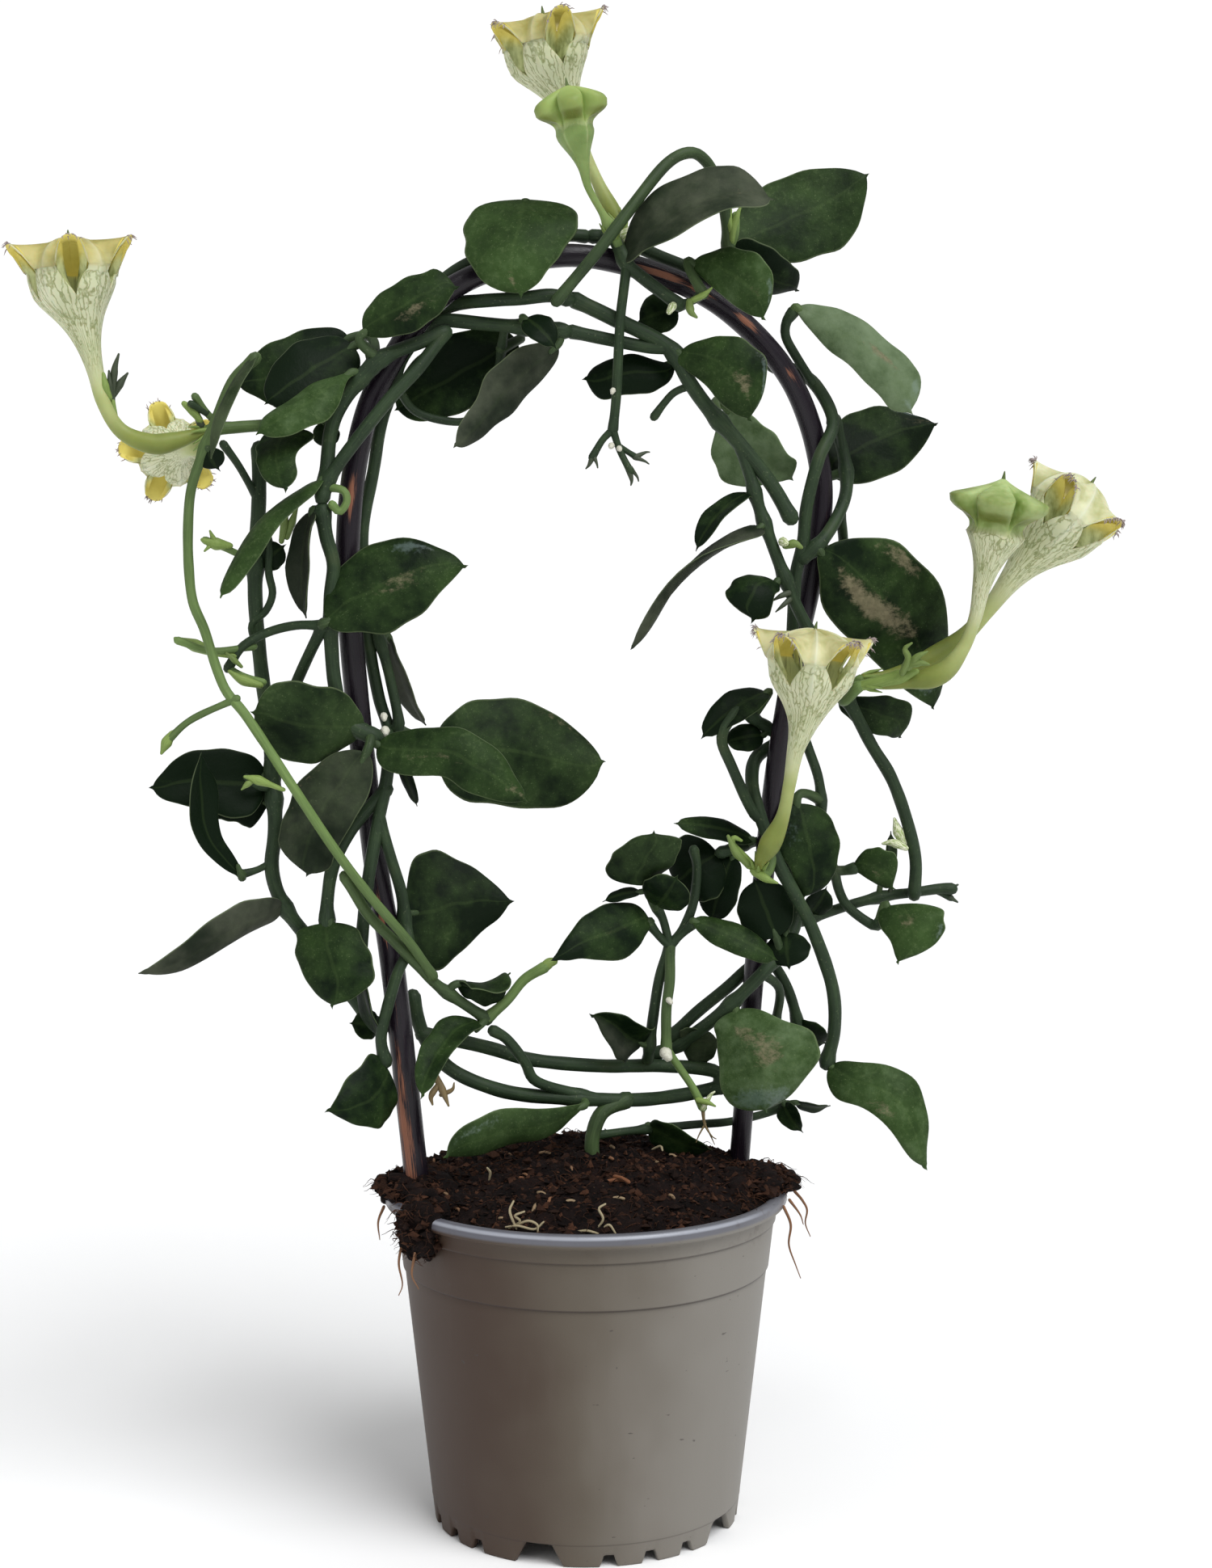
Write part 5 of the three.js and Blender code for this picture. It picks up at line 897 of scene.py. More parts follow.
class Piece:
    """Gathers surfaces into one object. flow is a pattern's place on the surface and look its finish."""

    def __init__(self, name):
        self.name = name
        self.points = []
        self.flow = []
        self.look = []
        self.quads = []
        self.triangles = []
        self.count = 0

    def add(self, points, quads=None, triangles=None, flow=None, look=(0, 0, 0)):
        """Takes in points with their faces; the flow is the points themselves where none is given."""
        points = np.asarray(points, float).reshape(-1, 3)
        n = len(points)
        self.points.append(points)
        self.flow.append(points if flow is None else flow)
        self.look.append(np.broadcast_to(np.asarray(look, float), (n, 3)))
        if quads is not None:
            self.quads.append(np.asarray(quads) + self.count)
        if triangles is not None:
            self.triangles.append(np.asarray(triangles) + self.count)
        self.count += n

    def add_skin(self, points, poles, flow=None, pole_flow=None, look=None, quads=None, turned=False):
        """Takes in rings of points, closed by a fan from a pole at each end. turned turns each face over."""
        rows, columns = points.shape[:2]
        quads = grid_quads(rows, columns, True) if quads is None else quads
        triangles = fans(rows, columns)
        if turned:
            quads, triangles = quads[:, ::-1], triangles[:, ::-1]
        if flow is not None:
            flow = np.vstack([flow.reshape(-1, 3), pole_flow])
        look = (0, 0, 0) if look is None else np.vstack([look.reshape(-1, 3), look[0, 0], look[-1, 0]])
        self.add(np.vstack([points.reshape(-1, 3), poles]), quads, triangles, flow, look)

    def make(self, slot, *materials, replaces=(), flat=False):
        """Turns what was gathered into an object in metres that rides the body."""
        points = np.vstack(self.points) * MM
        quads = np.vstack(self.quads) if self.quads else np.zeros((0, 4), int)
        triangles = np.vstack(self.triangles) if self.triangles else np.zeros((0, 3), int)
        corners = np.concatenate([quads.ravel(), triangles.ravel()]).astype(np.int32)
        sizes = np.concatenate([np.full(len(quads), 4), np.full(len(triangles), 3)]).astype(np.int32)
        mesh = bpy.data.meshes.new(self.name)
        mesh.vertices.add(len(points))
        mesh.vertices.foreach_set("co", points.astype(np.float32).ravel())
        mesh.loops.add(len(corners))
        mesh.loops.foreach_set("vertex_index", corners)
        mesh.polygons.add(len(sizes))
        mesh.polygons.foreach_set("loop_start", (np.cumsum(sizes) - sizes).astype(np.int32))
        mesh.update(calc_edges=True)
        mesh.validate()
        for name, rows in (("flow", self.flow), ("look", self.look)):
            attribute = mesh.attributes.new(name, "FLOAT_VECTOR", "POINT")
            attribute.data.foreach_set("vector", np.vstack(rows).astype(np.float32).ravel())
        mesh.polygons.foreach_set("use_smooth", np.full(len(mesh.polygons), not flat))
        for material in materials:
            mesh.materials.append(material)
        thing = bpy.data.objects.new(self.name, mesh)
        bpy.context.collection.objects.link(thing)
        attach(thing, BODY)
        if replaces:
            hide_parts(*replaces)
        return thing


def add_tube(piece, path, radius, sides, look=(0, 0, 0), cut=False):
    """A bar: a circle at each point of the path. Its ends are rounded in two steps, or flat if it is cut."""
    path = np.asarray(path, float)
    along, side, other = directions(path)
    radius = np.array(np.broadcast_to(radius, len(path)), float)
    run = distance_run(path)
    look = np.array(np.broadcast_to(look, (len(path), 3)), float)
    rows = [(path, side, other, radius, run, look)]
    if not cut:
        for end, sign, steps in ((0, -1, ROUND_END), (-1, 1, ROUND_END[::-1])):
            centre = path[end] + sign * along[end] * (radius[end] * np.sin(steps))[:, None]
            extra = (centre, np.repeat(side[end][None], 2, 0), np.repeat(other[end][None], 2, 0),
                     radius[end] * np.cos(steps), np.full(2, run[end]), np.repeat(look[end][None], 2, 0))
            rows = [extra, *rows] if end == 0 else [*rows, extra]
    centre, side, other, size, run, look = (np.concatenate([r[k] for r in rows]) for k in range(6))
    turn = np.linspace(0, 2 * np.pi, sides, endpoint=False)
    ring = side[:, None] * np.cos(turn)[None, :, None] + other[:, None] * np.sin(turn)[None, :, None]
    points = centre[:, None] + ring * size[:, None, None]
    round_it = (np.cos(turn)[None] * size[:, None], np.sin(turn)[None] * size[:, None])
    flow = np.stack(np.broadcast_arrays(*round_it, run[:, None]), -1)
    poles = np.stack([points[0].mean(0), points[-1].mean(0)])
    pole_flow = np.array([[0, 0, run[0]], [0, 0, run[-1]]])
    piece.add_skin(points, poles, flow, pole_flow, np.repeat(look[:, None], sides, 1))


# Leaves


def blade_width(t, peak):
    """Half width along a blade: the product of powers of t and 1 - t that is 1 at its widest part."""
    t = np.clip(t, 1e-6, 1 - 1e-6)
    return ((t / peak) ** peak * ((1 - t) / (1 - peak)) ** (1 - peak)) ** 0.92


def leaf_edge(t, shares):
    """Half width along a blade read between its marks: a smooth curve times a rounding at both ends."""
    marks = np.array(OUTLINE_MARKS)
    tip_power = np.interp(shares[-1], (0.15, 0.5), (0.95, 0.5))
    rounding = (np.clip(t, 1e-4, 1) ** 0.5) * np.clip(1 - t, 0, 1) ** tip_power
    at_marks = marks**0.5 * (1 - marks) ** tip_power
    level = np.array(shares) / at_marks
    along = np.concatenate([[-0.04], marks, [1.04]])
    curve = smooth_path(np.stack([along, np.concatenate([level[:1], level, level[-1:]])], 1), 0.02)
    return np.interp(t, curve[:, 0], curve[:, 1]) * rounding


def leaf_halves(t, length, row, number, outline):
    """Half widths to the left and right, and the middle's shift: shares of half the width, scalloped.

    They are never less than the neck at the stalk or the small point, which narrow along their own curves.
    """
    width, peak = row[2:4]
    blade_end = 1 - min(0.2, 0.75 * MUCRO_LENGTH / length)
    along = np.clip(t / blade_end, 0, 1)
    if outline is None:
        edges = [blade_width(along, peak) * (t < blade_end)] * 2
    else:
        edges = [leaf_edge(along, shares) * (t < blade_end) for shares in outline]
    scallop = 1 + LEAF_SCALLOP * np.sin(21 * t + 1.7 * number) * ease(0.1, 0.3, t)
    left, right = edges[0] * scallop, edges[1] * scallop[::-1]
    shift = 0.45 * (right - left) * width / 2
    point = 0.95 * np.clip((1 - t) * length / MUCRO_LENGTH, 0, 1) ** 1.2 * min(1, width / 12)
    neck = 1.15 * (1 - ease(0, 0.12, t))
    return (np.maximum.reduce([left * width / 2 + shift, point, neck]),
            np.maximum.reduce([right * width / 2 - shift, point, neck]), shift)


def spots(style, kind, t, columns):
    """Strength of a kind of spot over the blade: the sum of bell curves about their places."""
    total = np.zeros((len(t), len(columns)))
    for at, over, reach, wide, strength in style.get(kind, ()):
        away = ((t[:, None] - at) / reach) ** 2 + ((columns[None] - over) / wide) ** 2
        total += strength * np.exp(-away)
    return total


def add_leaf(piece, row, number, style, outline):
    """A fleshy blade: rings run over its top and back under it, with a grooved midrib and lifted margins.

    The top and the underside lie a thickness above and below a middle sheet. It rises to the margins by the
    fold's angle and in waves, it arches by the curl and sideways by the bend, and it turns by the twist.
    """
    base, tip, width, _, roll, curl, fold, twist = row
    base, tip = np.array(base, float), np.array(tip, float)
    length = np.linalg.norm(tip - base)
    axis = (tip - base) / length
    front = facing(axis, roll)
    across = np.cross(axis, front)
    rows, half_columns = LARGE_BLADE_GRID if width >= LARGE_BLADE else SMALL_BLADE_GRID
    t = 0.5 - 0.5 * np.cos(np.linspace(0.0, np.pi, rows))
    t[0] = 0.004
    t[-1] = 0.998
    left, right, shift = leaf_halves(t, length, row, number, outline)
    turn = np.radians(twist) * t
    up = turn_about(front, axis, turn)
    side = turn_about(across, axis, turn)
    arch = 4 * t * (1 - t)
    centre = base + (tip - base) * t[:, None] + up * (curl * arch)[:, None]
    centre = centre + side * (style.get("bend", 0.0) * arch + shift)[:, None]
    lift_angle = np.radians(fold) * ease(0, 0.15, t)
    s = np.cos(np.linspace(np.pi, 0, half_columns))
    s = np.sign(s) * np.abs(s) ** 0.92
    under = s[::-1][1:-1]
    faces = []
    for columns, sign, groove in ((s, 1, 0.42), (under, -1, 0.3)):
        half = np.where(columns[None] < 0, left[:, None], right[:, None])
        share = np.abs(columns)[None] ** 1.35
        waved = np.where(columns[None] < 0, np.sin(9 * t + number)[:, None],
                         np.sin(9 * t + 2.2 * number + 1.5)[:, None])
        wave = LEAF_WAVE * min(1, width / 20) * waved * share * half / (width / 2)
        lift = half * np.sin(lift_angle)[:, None] * share + wave
        body = np.clip(1 - columns[None] ** 2, 0, 1) ** 0.45
        thick = LEAF_HALF_THICK * min(1, 0.45 + width / 28) * body * np.clip(half / 3.0, 0.35, 1)
        rib = np.exp(-((columns[None] * half) ** 2)) * np.clip(half / 4, 0, 1)
        height = lift + sign * thick - groove * rib * (1 - ease(0.8, 1, t)[:, None])
        out = side[:, None] * (half * columns[None] * np.cos(lift_angle)[:, None])[..., None]
        faces.append(centre[:, None] + out + up[:, None] * height[..., None])
    points = np.concatenate(faces, 1)
    columns = np.concatenate([s, under])
    places = (t[:, None] * length, columns[None] * width / 2, np.abs(columns)[None])
    flow = np.stack(np.broadcast_arrays(*places), -1)
    beneath = np.concatenate([np.zeros(len(s)), np.ones(len(under))])
    dull = np.maximum(beneath * UNDER_DULL, style.get("dull", 0.0))[None] + spots(style, "drabs", t, columns)
    bright = np.full(dull.shape, style["bright"] + 0.12 * np.sin(3.7 * number))
    mark = spots(style, "scuffs", t, columns) - spots(style, "shines", t, columns)
    look = np.stack([bright, mark, dull], -1)
    poles = np.stack([points[0].mean(0) - axis * 0.2, points[-1].mean(0) + axis * 0.15])
    pole_flow = np.stack([flow[0, 0] * [1, 0, 1], flow[-1, 0] * [1, 0, 1]])
    piece.add_skin(points, poles, flow, pole_flow, look, turned=True)


# Materials


def paint(code):
    """A colour written as its red, green and blue screen values, turned into light."""
    parts = np.array([(code >> 16) & 255, (code >> 8) & 255, code & 255]) / 255.0
    light = np.where(parts <= 0.04045, parts / 12.92, ((parts + 0.055) / 1.055) ** 2.4)
    return (*(float(v) for v in light), 1.0)


class Wire:
    """A socket that adds, subtracts and multiplies as a number does."""

    def __init__(self, shade, socket):
        self.shade = shade
        self.socket = socket

    def math(self, operation, *others):
        """The operation on this socket and the others."""
        return self.shade.node("ShaderNodeMath", {"operation": operation}, [self, *others])

    def __add__(self, other):
        return self.math("ADD", other)

    def __sub__(self, other):
        return self.math("SUBTRACT", other)

    def __rsub__(self, other):
        return self.shade.node("ShaderNodeMath", {"operation": "SUBTRACT"}, [other, self])

    def __mul__(self, other):
        return self.math("MULTIPLY", other)

    __radd__ = __add__

    def above(self, low, high):
        """0 below low and 1 above high, smoothly."""
        return self.shade.node("ShaderNodeMapRange", {"interpolation_type": "SMOOTHSTEP"},
                               {"Value": self, "From Min": low, "From Max": high})


class Shade:
    """A material's tree of nodes."""

    def __init__(self, name):
        self.material = bpy.data.materials.new(name)
        self.material.use_nodes = True
        self.tree = self.material.node_tree
        self.tree.nodes.clear()

    def feed(self, socket, value):
        """Links a wire to the socket, or sets the socket to a number or a colour."""
        if isinstance(value, Wire):
            self.tree.links.new(value.socket, socket)
        else:
            socket.default_value = value

    def node(self, kind, settings=None, values=(), output=0):
        """A node with its settings, its inputs by name or in order, and the output that is wanted of it."""
        made = self.tree.nodes.new(kind)
        for key, value in (settings or {}).items():
            setattr(made, key, value)
        for key, value in values.items() if isinstance(values, dict) else enumerate(values):
            self.feed(made.inputs[key], value)
        return Wire(self, made.outputs[output])

    def place(self):
        """The place on the object, in metres."""
        return self.node("ShaderNodeTexCoord", output="Object")

    def read(self, name):
        """An attribute of the piece."""
        return self.node("ShaderNodeAttribute", {"attribute_name": name}, output="Vector")

    def split(self, vector):
        """The three numbers of a vector."""
        outputs = self.node("ShaderNodeSeparateXYZ", values=[vector]).socket.node.outputs
        return [Wire(self, outputs[k]) for k in range(3)]

    def stretch(self, vector, by):
        """The vector times another, axis by axis."""
        return self.node("ShaderNodeVectorMath", {"operation": "MULTIPLY"}, [vector, by])

    def noise(self, vector, scale, detail=3.0, roughness=0.55):
        """Cloudy noise between 0 and 1."""
        values = {"Vector": vector, "Scale": scale, "Detail": detail, "Roughness": roughness}
        return self.node("ShaderNodeTexNoise", values=values)

    def mix(self, factor, a, b):
        """From a to b by the factor. A whole number stands for a colour's screen values."""
        made = self.tree.nodes.new("ShaderNodeMix")
        made.data_type = "RGBA"
        made.clamp_factor = True
        self.feed(made.inputs[0], factor)
        self.feed(made.inputs[6], paint(a) if isinstance(a, int) else a)
        self.feed(made.inputs[7], paint(b) if isinstance(b, int) else b)
        return Wire(self, made.outputs[2])

    def cover(self, base, *layers):
        """The base under its layers, each a factor and a colour that is mixed over what lies below it."""
        for factor, colour in layers:
            base = self.mix(factor, base, colour)
        return base

    def finish(self, base, roughness, height=None, strength=0.3, distance=0.0004, coat=None, glow=None,
               **fixed):
        """The surface: colour and roughness, with a bump from the height, and the sockets named in fixed."""
        shader = self.tree.nodes.new("ShaderNodeBsdfPrincipled")
        values = {"Base Color": base, "Roughness": roughness}
        if coat is not None:
            values["Coat Weight"] = coat
        if glow is not None:
            values["Emission Color"] = glow
        if height is not None:
            bump = {"Strength": strength, "Distance": distance, "Height": height}
            values["Normal"] = self.node("ShaderNodeBump", values=bump)
        for key, value in fixed.items():
            values[key.replace("_", " ")] = value
        for key, value in values.items():
            self.feed(shader.inputs[key], value)
        out = self.tree.nodes.new("ShaderNodeOutputMaterial")
        self.tree.links.new(shader.outputs[0], out.inputs["Surface"])
        return self.material


def leaf_finish():
    """Dark green with a wax gloss, clouded, paler and greyer on the brightest leaves as painted light, with a
    pale margin that is a painted highlight, tan scuffs, glossy spots lightened by a painted highlight and
    dull undersides.
    """
    m = Shade("leaf_wax")
    _, over, margin = m.split(m.read("flow"))
    bright, mark, dull = m.split(m.read("look"))
    spot = m.place()
    cloud = m.noise(spot, 70, 4)
    fine = m.noise(spot, 700, 3, 0.6)
    patch = m.noise(spot, 230, 3, 0.6)
    pores = m.noise(spot, 2600, 2, 0.5)
    tone = bright * 0.66 + (cloud - 0.5) * 1.2 + (patch - 0.5) * 0.5 + 0.22
    light = bright * 0.75 + (cloud - 0.5) * 0.45 + (patch - 0.5) * 0.5 + 0.2
    rib = (over * over * 1.6).above(0.0, 1.0)
    rubbed = (mark + (m.noise(m.stretch(spot, (1, 1, 1.6)), 330, 5, 0.75) - 0.5) * 1.7).above(0.3, 0.85)
    gloss_and_painted_highlight = (mark * -1.0 + (fine - 0.5) * 1.3).above(0.3, 0.95)
    green = m.cover(
        m.mix(tone, 0x0A1809, 0x40592C),
        # partly painted light: a paler grey-green over the brightest leaves and clouds
        (light.above(0.5, 1.2), 0x728366),
        (fine.above(0.5, 0.75) * 0.26 * tone.above(0.05, 0.5), 0x5E7048),
        (pores.above(0.66, 0.73) * 0.4 * tone.above(-0.1, 0.4), 0x74845C),
        ((1 - rib) * 0.1, 0x556A3C),
        (dull * 0.9, m.mix(cloud.above(0.3, 0.7), 0x22291F, 0x4F5146)),
        # painted highlight: a pale line along the margin
        (margin.above(0.955, 0.995) * 0.3, 0x8C9C72),
        (rubbed * 0.75, m.mix(fine, 0x4E4938, 0x958C70)),
        # painted highlight: a pale blue-grey over the glossy spots, which also carry a real coat
        (gloss_and_painted_highlight * 0.25, 0x7F9490),
    )
    rough = 0.44 + cloud * 0.16 + rubbed * 0.2 + dull * 0.1 - gloss_and_painted_highlight * 0.24
    height = cloud * 0.5 + patch * 0.3 + fine * 0.2 + pores * 0.05 + rubbed * fine * 0.5
    return m.finish(green, rough, height, 0.4, 0.0014, coat=gloss_and_painted_highlight * 0.6, Specular_IOR_Level=0.08,
                    Coat_Roughness=0.16)


def stem_finish():
    """Blue-green bark with fine lengthwise streaks and small corky dots, lighter green where it is fresh."""
    m = Shade("stem_bark")
    fresh, _, _ = m.split(m.read("look"))
    spot = m.place()
    streak = m.noise(m.stretch(m.read("flow"), (1.6, 1.6, 0.09)), 1.3, 4, 0.6)
    cloud = m.noise(spot, 110, 3)
    dots = m.noise(spot, 1500, 2, 0.5).above(0.66, 0.72)
    green = m.cover(
        m.mix(streak + (cloud - 0.5) * 0.6, 0x121C14, 0x36492F),
        (fresh + (cloud - 0.5) * 0.25, m.mix(streak, 0x4C6636, 0x86A05C)),
        (dots * 0.45, 0x626C50),
        (cloud.above(0.58, 0.8) * 0.3, 0x3C3A2A),
    )
    return m.finish(green, 0.46 + streak * 0.15, streak * 0.6 + dots * 0.3, 0.3, 0.0006,
                    Specular_IOR_Level=0.2)


def bud_finish():
    """Yellow-green sepals and buds; by look they are darker, whitish or dry and brown."""
    m = Shade("bud_skin")
    pale, dark, dry = m.split(m.read("look"))
    streak = m.noise(m.stretch(m.read("flow"), (2.2, 2.2, 0.25)), 1.5, 3, 0.6)
    green = m.cover(
        m.mix(streak, 0x688436, 0xA3BC62),
        (dark, m.mix(streak, 0x2A3D24, 0x45483A)),
        (pale, m.mix(streak.above(0.42, 0.58), 0x90A460, 0xDEE0C4)),
        (dry, m.mix(streak, 0x4A3A26, 0x8C7A52)),
    )
    return m.finish(green, 0.55, streak, 0.25, 0.0005, Specular_IOR_Level=0.35)


def sap_finish():
    """Dried milky sap, white with cream hollows."""
    m = Shade("dried_sap")
    rough = m.noise(m.place(), 1900, 3)
    return m.finish(m.mix(rough, 0xA9A78E, 0xE6E5DA), 0.45, rough, 0.5, 0.0005)


def cane_finish():
    """Near-black lacquered cane with lengthwise fibres and tan places where the lacquer is worn."""
    m = Shade("cane_lacquer")
    flow = m.read("flow")
    worn, _, _ = m.split(m.read("look"))
    fibre = m.noise(m.stretch(flow, (1.1, 1.1, 0.035)), 1.4, 5, 0.65)
    thread = m.noise(m.stretch(flow, (2.6, 2.6, 0.05)), 2.2, 3, 0.6)
    shown = (worn + (fibre - 0.5) * 1.9 + (thread - 0.5) * 1.2).above(0.46, 0.78)
    base = m.cover(
        m.mix(fibre, 0x07060B, 0x231B24),
        (thread.above(0.6, 0.72) * 0.3, 0x37292C),
        (shown, m.mix(thread, 0x5C3426, 0x9A664C)),
    )
    rough = 0.17 + m.noise(m.place(), 260, 3) * 0.14 + shown * 0.35
    return m.finish(base, rough, fibre + thread * 0.4 - shown * 0.3, 0.22, 0.0006, Specular_IOR_Level=0.3)


def pot_finish():
    """Moulded taupe plastic, darker and browner to the left and lighter grey to the right, partly painted
    shade and light, with painted shade lines under the steps, a grey lip partly a painted reflection, a
    painted highlight on the lip's top at the front, dust and scuffs.
    """
    m = Shade("pot_taupe")
    spot = m.place()
    x, y, z = m.split(spot)
    cloud = m.noise(spot, 20, 2, 0.5)
    grain = m.noise(spot, 2600, 2, 0.5)
    streak = m.noise(m.stretch(spot, (1, 1, 0.25)), 60, 3, 0.5)
    # Where the colour turns from dark brown at the left to lighter grey at the right: partly painted shade
    # and light
    place = x * 1000.0 + (cloud - 0.5) * 34.0 + (m.noise(spot, 55, 2, 0.5) - 0.5) * 10.0
    # Painted shade: a thin dark line under each step, the foot's too
    lines = []
    for level, wide, amount in POT_LINE_SHADES:
        away = (z - level * MM).math("ABSOLUTE")
        lines.append(((1 - away.above(0.0, wide * MM)) * amount, 0x2E211E))
    lip = z.above(0.0966, 0.0976)
    # Painted highlight: a pale band along the top of the lip at the front
    shine = z.above(0.0984, 0.099) * (1 - z.above(0.0993, 0.0999)) * (1 - y.above(-0.045, -0.02))
    dust = m.noise(spot, 160, 4, 0.7).above(0.5, 0.75) * z.above(0.08, 0.1)
    sides = ((x * 1000.0) * (x * 1000.0)).above(900.0, 2600.0)
    scuffs = m.noise(m.stretch(spot, (1, 1, 2.6)), 300, 2, 0.5).above(0.735, 0.76)
    base = m.cover(
        # partly painted shade to the left and painted light to the right
        m.mix(place.above(-34.0, 4.0), 0x3C2B1F, 0x585045),
        (place.above(-4.0, 40.0), 0x79756E),
        ((streak - 0.5).above(0.0, 0.25) * 0.1, 0x8A847E),
        *lines,
        # blue-grey lip: partly its own grey and partly a painted reflection
        (lip * 0.85, m.mix(cloud, 0x474850, 0x686A74)),
        # painted highlight on the lip's top
        (shine * 0.55, 0xB4B8C2),
        (dust * (sides * 0.5 + 0.15), 0x3C2B22),
        (scuffs * 0.7, 0x3B3532),
    )
    rough = 0.46 + cloud * 0.1 - lip * 0.2
    return m.finish(base, rough, grain * 0.25 + streak * 0.3, 0.25, 0.0005, Specular_IOR_Level=0.36)


def peat_finish(name, light):
    """Dark fibrous peat: near black where the bump is low, a painted shade in the hollows, with red-brown
    fibres and pale specks, lighter by look.
    """
    m = Shade(name)
    spot = m.place()
    tint, _, _ = m.split(m.read("look"))
    clump = m.noise(spot, 120, 5, 0.65)
    fibre = m.noise(m.stretch(spot, (1.0, 2.4, 1.6)), 900, 4, 0.7)
    base = m.cover(
        # painted shade: near black where the clumps' bump is low
        m.mix(clump.above(0.3, 0.75), 0x080505, 0x1F1412),
        (fibre.above(0.52, 0.75) * 0.55, 0x432A20),
        (tint * light, m.mix(fibre, 0x3E261C, 0x6E4A36)),
        (m.noise(spot, 2100, 2, 0.5).above(0.71, 0.77) * 0.4, 0x7C664E),
    )
    return m.finish(base, 0.95, clump * 0.5 + fibre, 0.8, 0.0014, Specular_IOR_Level=0.15)


def root_finish():
    """Cream roots, and tan roots and bark chips by look."""
    m = Shade("pale_root")
    tan, _, _ = m.split(m.read("look"))
    streak = m.noise(m.stretch(m.read("flow"), (2, 2, 0.3)), 2, 3)
    base = m.mix(tan, m.mix(streak, 0x7C6E52, 0xB4A888), m.mix(streak, 0x4A2A1A, 0x8C5732))
    return m.finish(base, 0.8, streak, 0.4, 0.0004)


def petal_outer_finish():
    """Flower skin: olive at the swollen base, cream up the funnel with thin veins, pale olive-yellow canopy.

    The first number of the look is a pale edge on an open flower and painted shade on a young cap's pouches.
    The third number of the look is up to 0.1 for an open flower, by how ripe it is, and 0.5 to 1 for a young
    one, by how green it is.
    """
    m = Shade("petal_skin")
    turn_x, turn_y, climb = m.split(m.read("flow"))
    edge, keel, young = m.split(m.read("look"))
    spot = m.place()
    soft = m.noise(spot, 130, 3)
    clear = soft.above(0.3, 0.7)
    warp = m.node("ShaderNodeTexNoise", values={"Vector": spot, "Scale": 420.0}, output="Color")
    shift = m.node("ShaderNodeVectorMath", {"operation": "SCALE"}, {0: warp, "Scale": 1.1})
    ring = m.node("ShaderNodeCombineXYZ", values=[turn_x * 6.6, turn_y * 6.6, climb * 1.25])
    spread = m.node("ShaderNodeVectorMath", {"operation": "ADD"}, [ring, shift])
    net = m.node("ShaderNodeTexVoronoi", {"feature": "DISTANCE_TO_EDGE"}, {"Vector": spread, "Scale": 1.0})
    where = climb.above(-2.9, -1.5) * (1 - climb.above(0.45, 1.3) * 0.85)
    veins = (1 - net.above(0.0, 0.15)) * where * m.noise(spot, 700, 2).above(0.2, 0.55)
    white = keel * (1 - young.above(0.02, 0.1) * 0.7)
    roof = climb.above(0.5, 0.85)
    leafy = m.mix(young.above(0.6, 0.9), m.mix(clear, 0x768F3E, 0xAFC182), m.mix(soft, 0x7F9848, 0xA9BC72))
    base = m.cover(
        m.mix(climb.above(-4.6, -3.3), m.mix(soft, 0x5F6C2E, 0x8A9448), m.mix(soft, 0x8F9A55, 0xB1B87E)),
        (climb.above(-3.3, -1.7), m.mix(soft, 0xB3B98C, 0xDDDFC0)),
        (veins * 0.8, m.mix(soft, 0x6C7D42, 0x88894F)),
        (climb.above(0.3, 1.45) * (1 - white * 0.75),
         m.mix(young * 10.0, m.mix(clear, 0xABAE76, 0xD8D9B4), m.mix(clear, 0x8F8844, 0xB9B070))),
        (white * 0.45, 0xDFE2CC),
        (edge * 0.6, m.mix(soft, 0xB9BE86, 0xE2E3C2)),
        # a young cap's roof, dark olive where its painted shade lies
        (young.above(0.1, 0.4) * roof, m.mix(edge, leafy, m.mix(soft, 0x46501C, 0x70782A))),
        ((young - 0.5) * 2.0 * (1 - roof), m.mix(keel * 0.4, m.mix(soft, 0x5E7A38, 0x93A866), 0xB9C693)),
    )
    return m.finish(base, 0.52, veins * -0.4 + soft * 0.3, 0.3, 0.0006, Specular_IOR_Level=0.3,
                    Subsurface_Weight=0.15, Subsurface_Scale=0.0016)


def petal_inner_finish():
    """Inside of the canopy, a clear yellow, and of the tube, a grey-green with dim streaks; all of it glows a
    little in its own colour as painted light.
    """
    m = Shade("petal_lining")
    turn_x, turn_y, climb = m.split(m.read("flow"))
    soft = m.noise(m.place(), 200, 3)
    ring = m.node("ShaderNodeCombineXYZ", values=[turn_x * 9.0, turn_y * 9.0, climb * 0.6])
    base = m.cover(
        m.mix(soft, 0x86905E, 0xB4BC8E),
        (m.noise(ring, 1.6, 3).above(0.5, 0.7) * 0.6, 0x4E4E38),
        (climb.above(0.3, 0.8), m.mix(soft, *LINING_YELLOWS)),
    )
    # Painted light: the lining glows a little in its own colour
    return m.finish(base, 0.55, soft, 0.2, 0.0005, glow=base, Emission_Strength=0.2, Specular_IOR_Level=0.3)


def petal_fold_finish():
    """Margins of the claws turned inward: streaked olive green, yellow at the top by look, glowing a little
    in their own colour as painted light.
    """
    m = Shade("petal_fold")
    top, _, _ = m.split(m.read("look"))
    soft = m.noise(m.stretch(m.place(), (1, 1, 0.35)), 420, 3)
    olive = m.mix(soft.above(0.3, 0.7), 0x767E4A, 0xB4BB86)
    base = m.mix(top.above(0.5, 0.85), olive, m.mix(soft, *LINING_YELLOWS))
    # Painted light: the folds glow a little in their own colour
    return m.finish(base, 0.55, soft, 0.2, 0.0004, glow=base, Emission_Strength=0.12, Specular_IOR_Level=0.25)


def hair_finish():
    """Mauve-grey fringe hairs."""
    m = Shade("fringe_hair")
    soft = m.noise(m.place(), 700, 2)
    return m.finish(m.mix(soft, 0x7A6A68, 0xB6A9A6), 0.6, soft, 0.2, 0.0003)


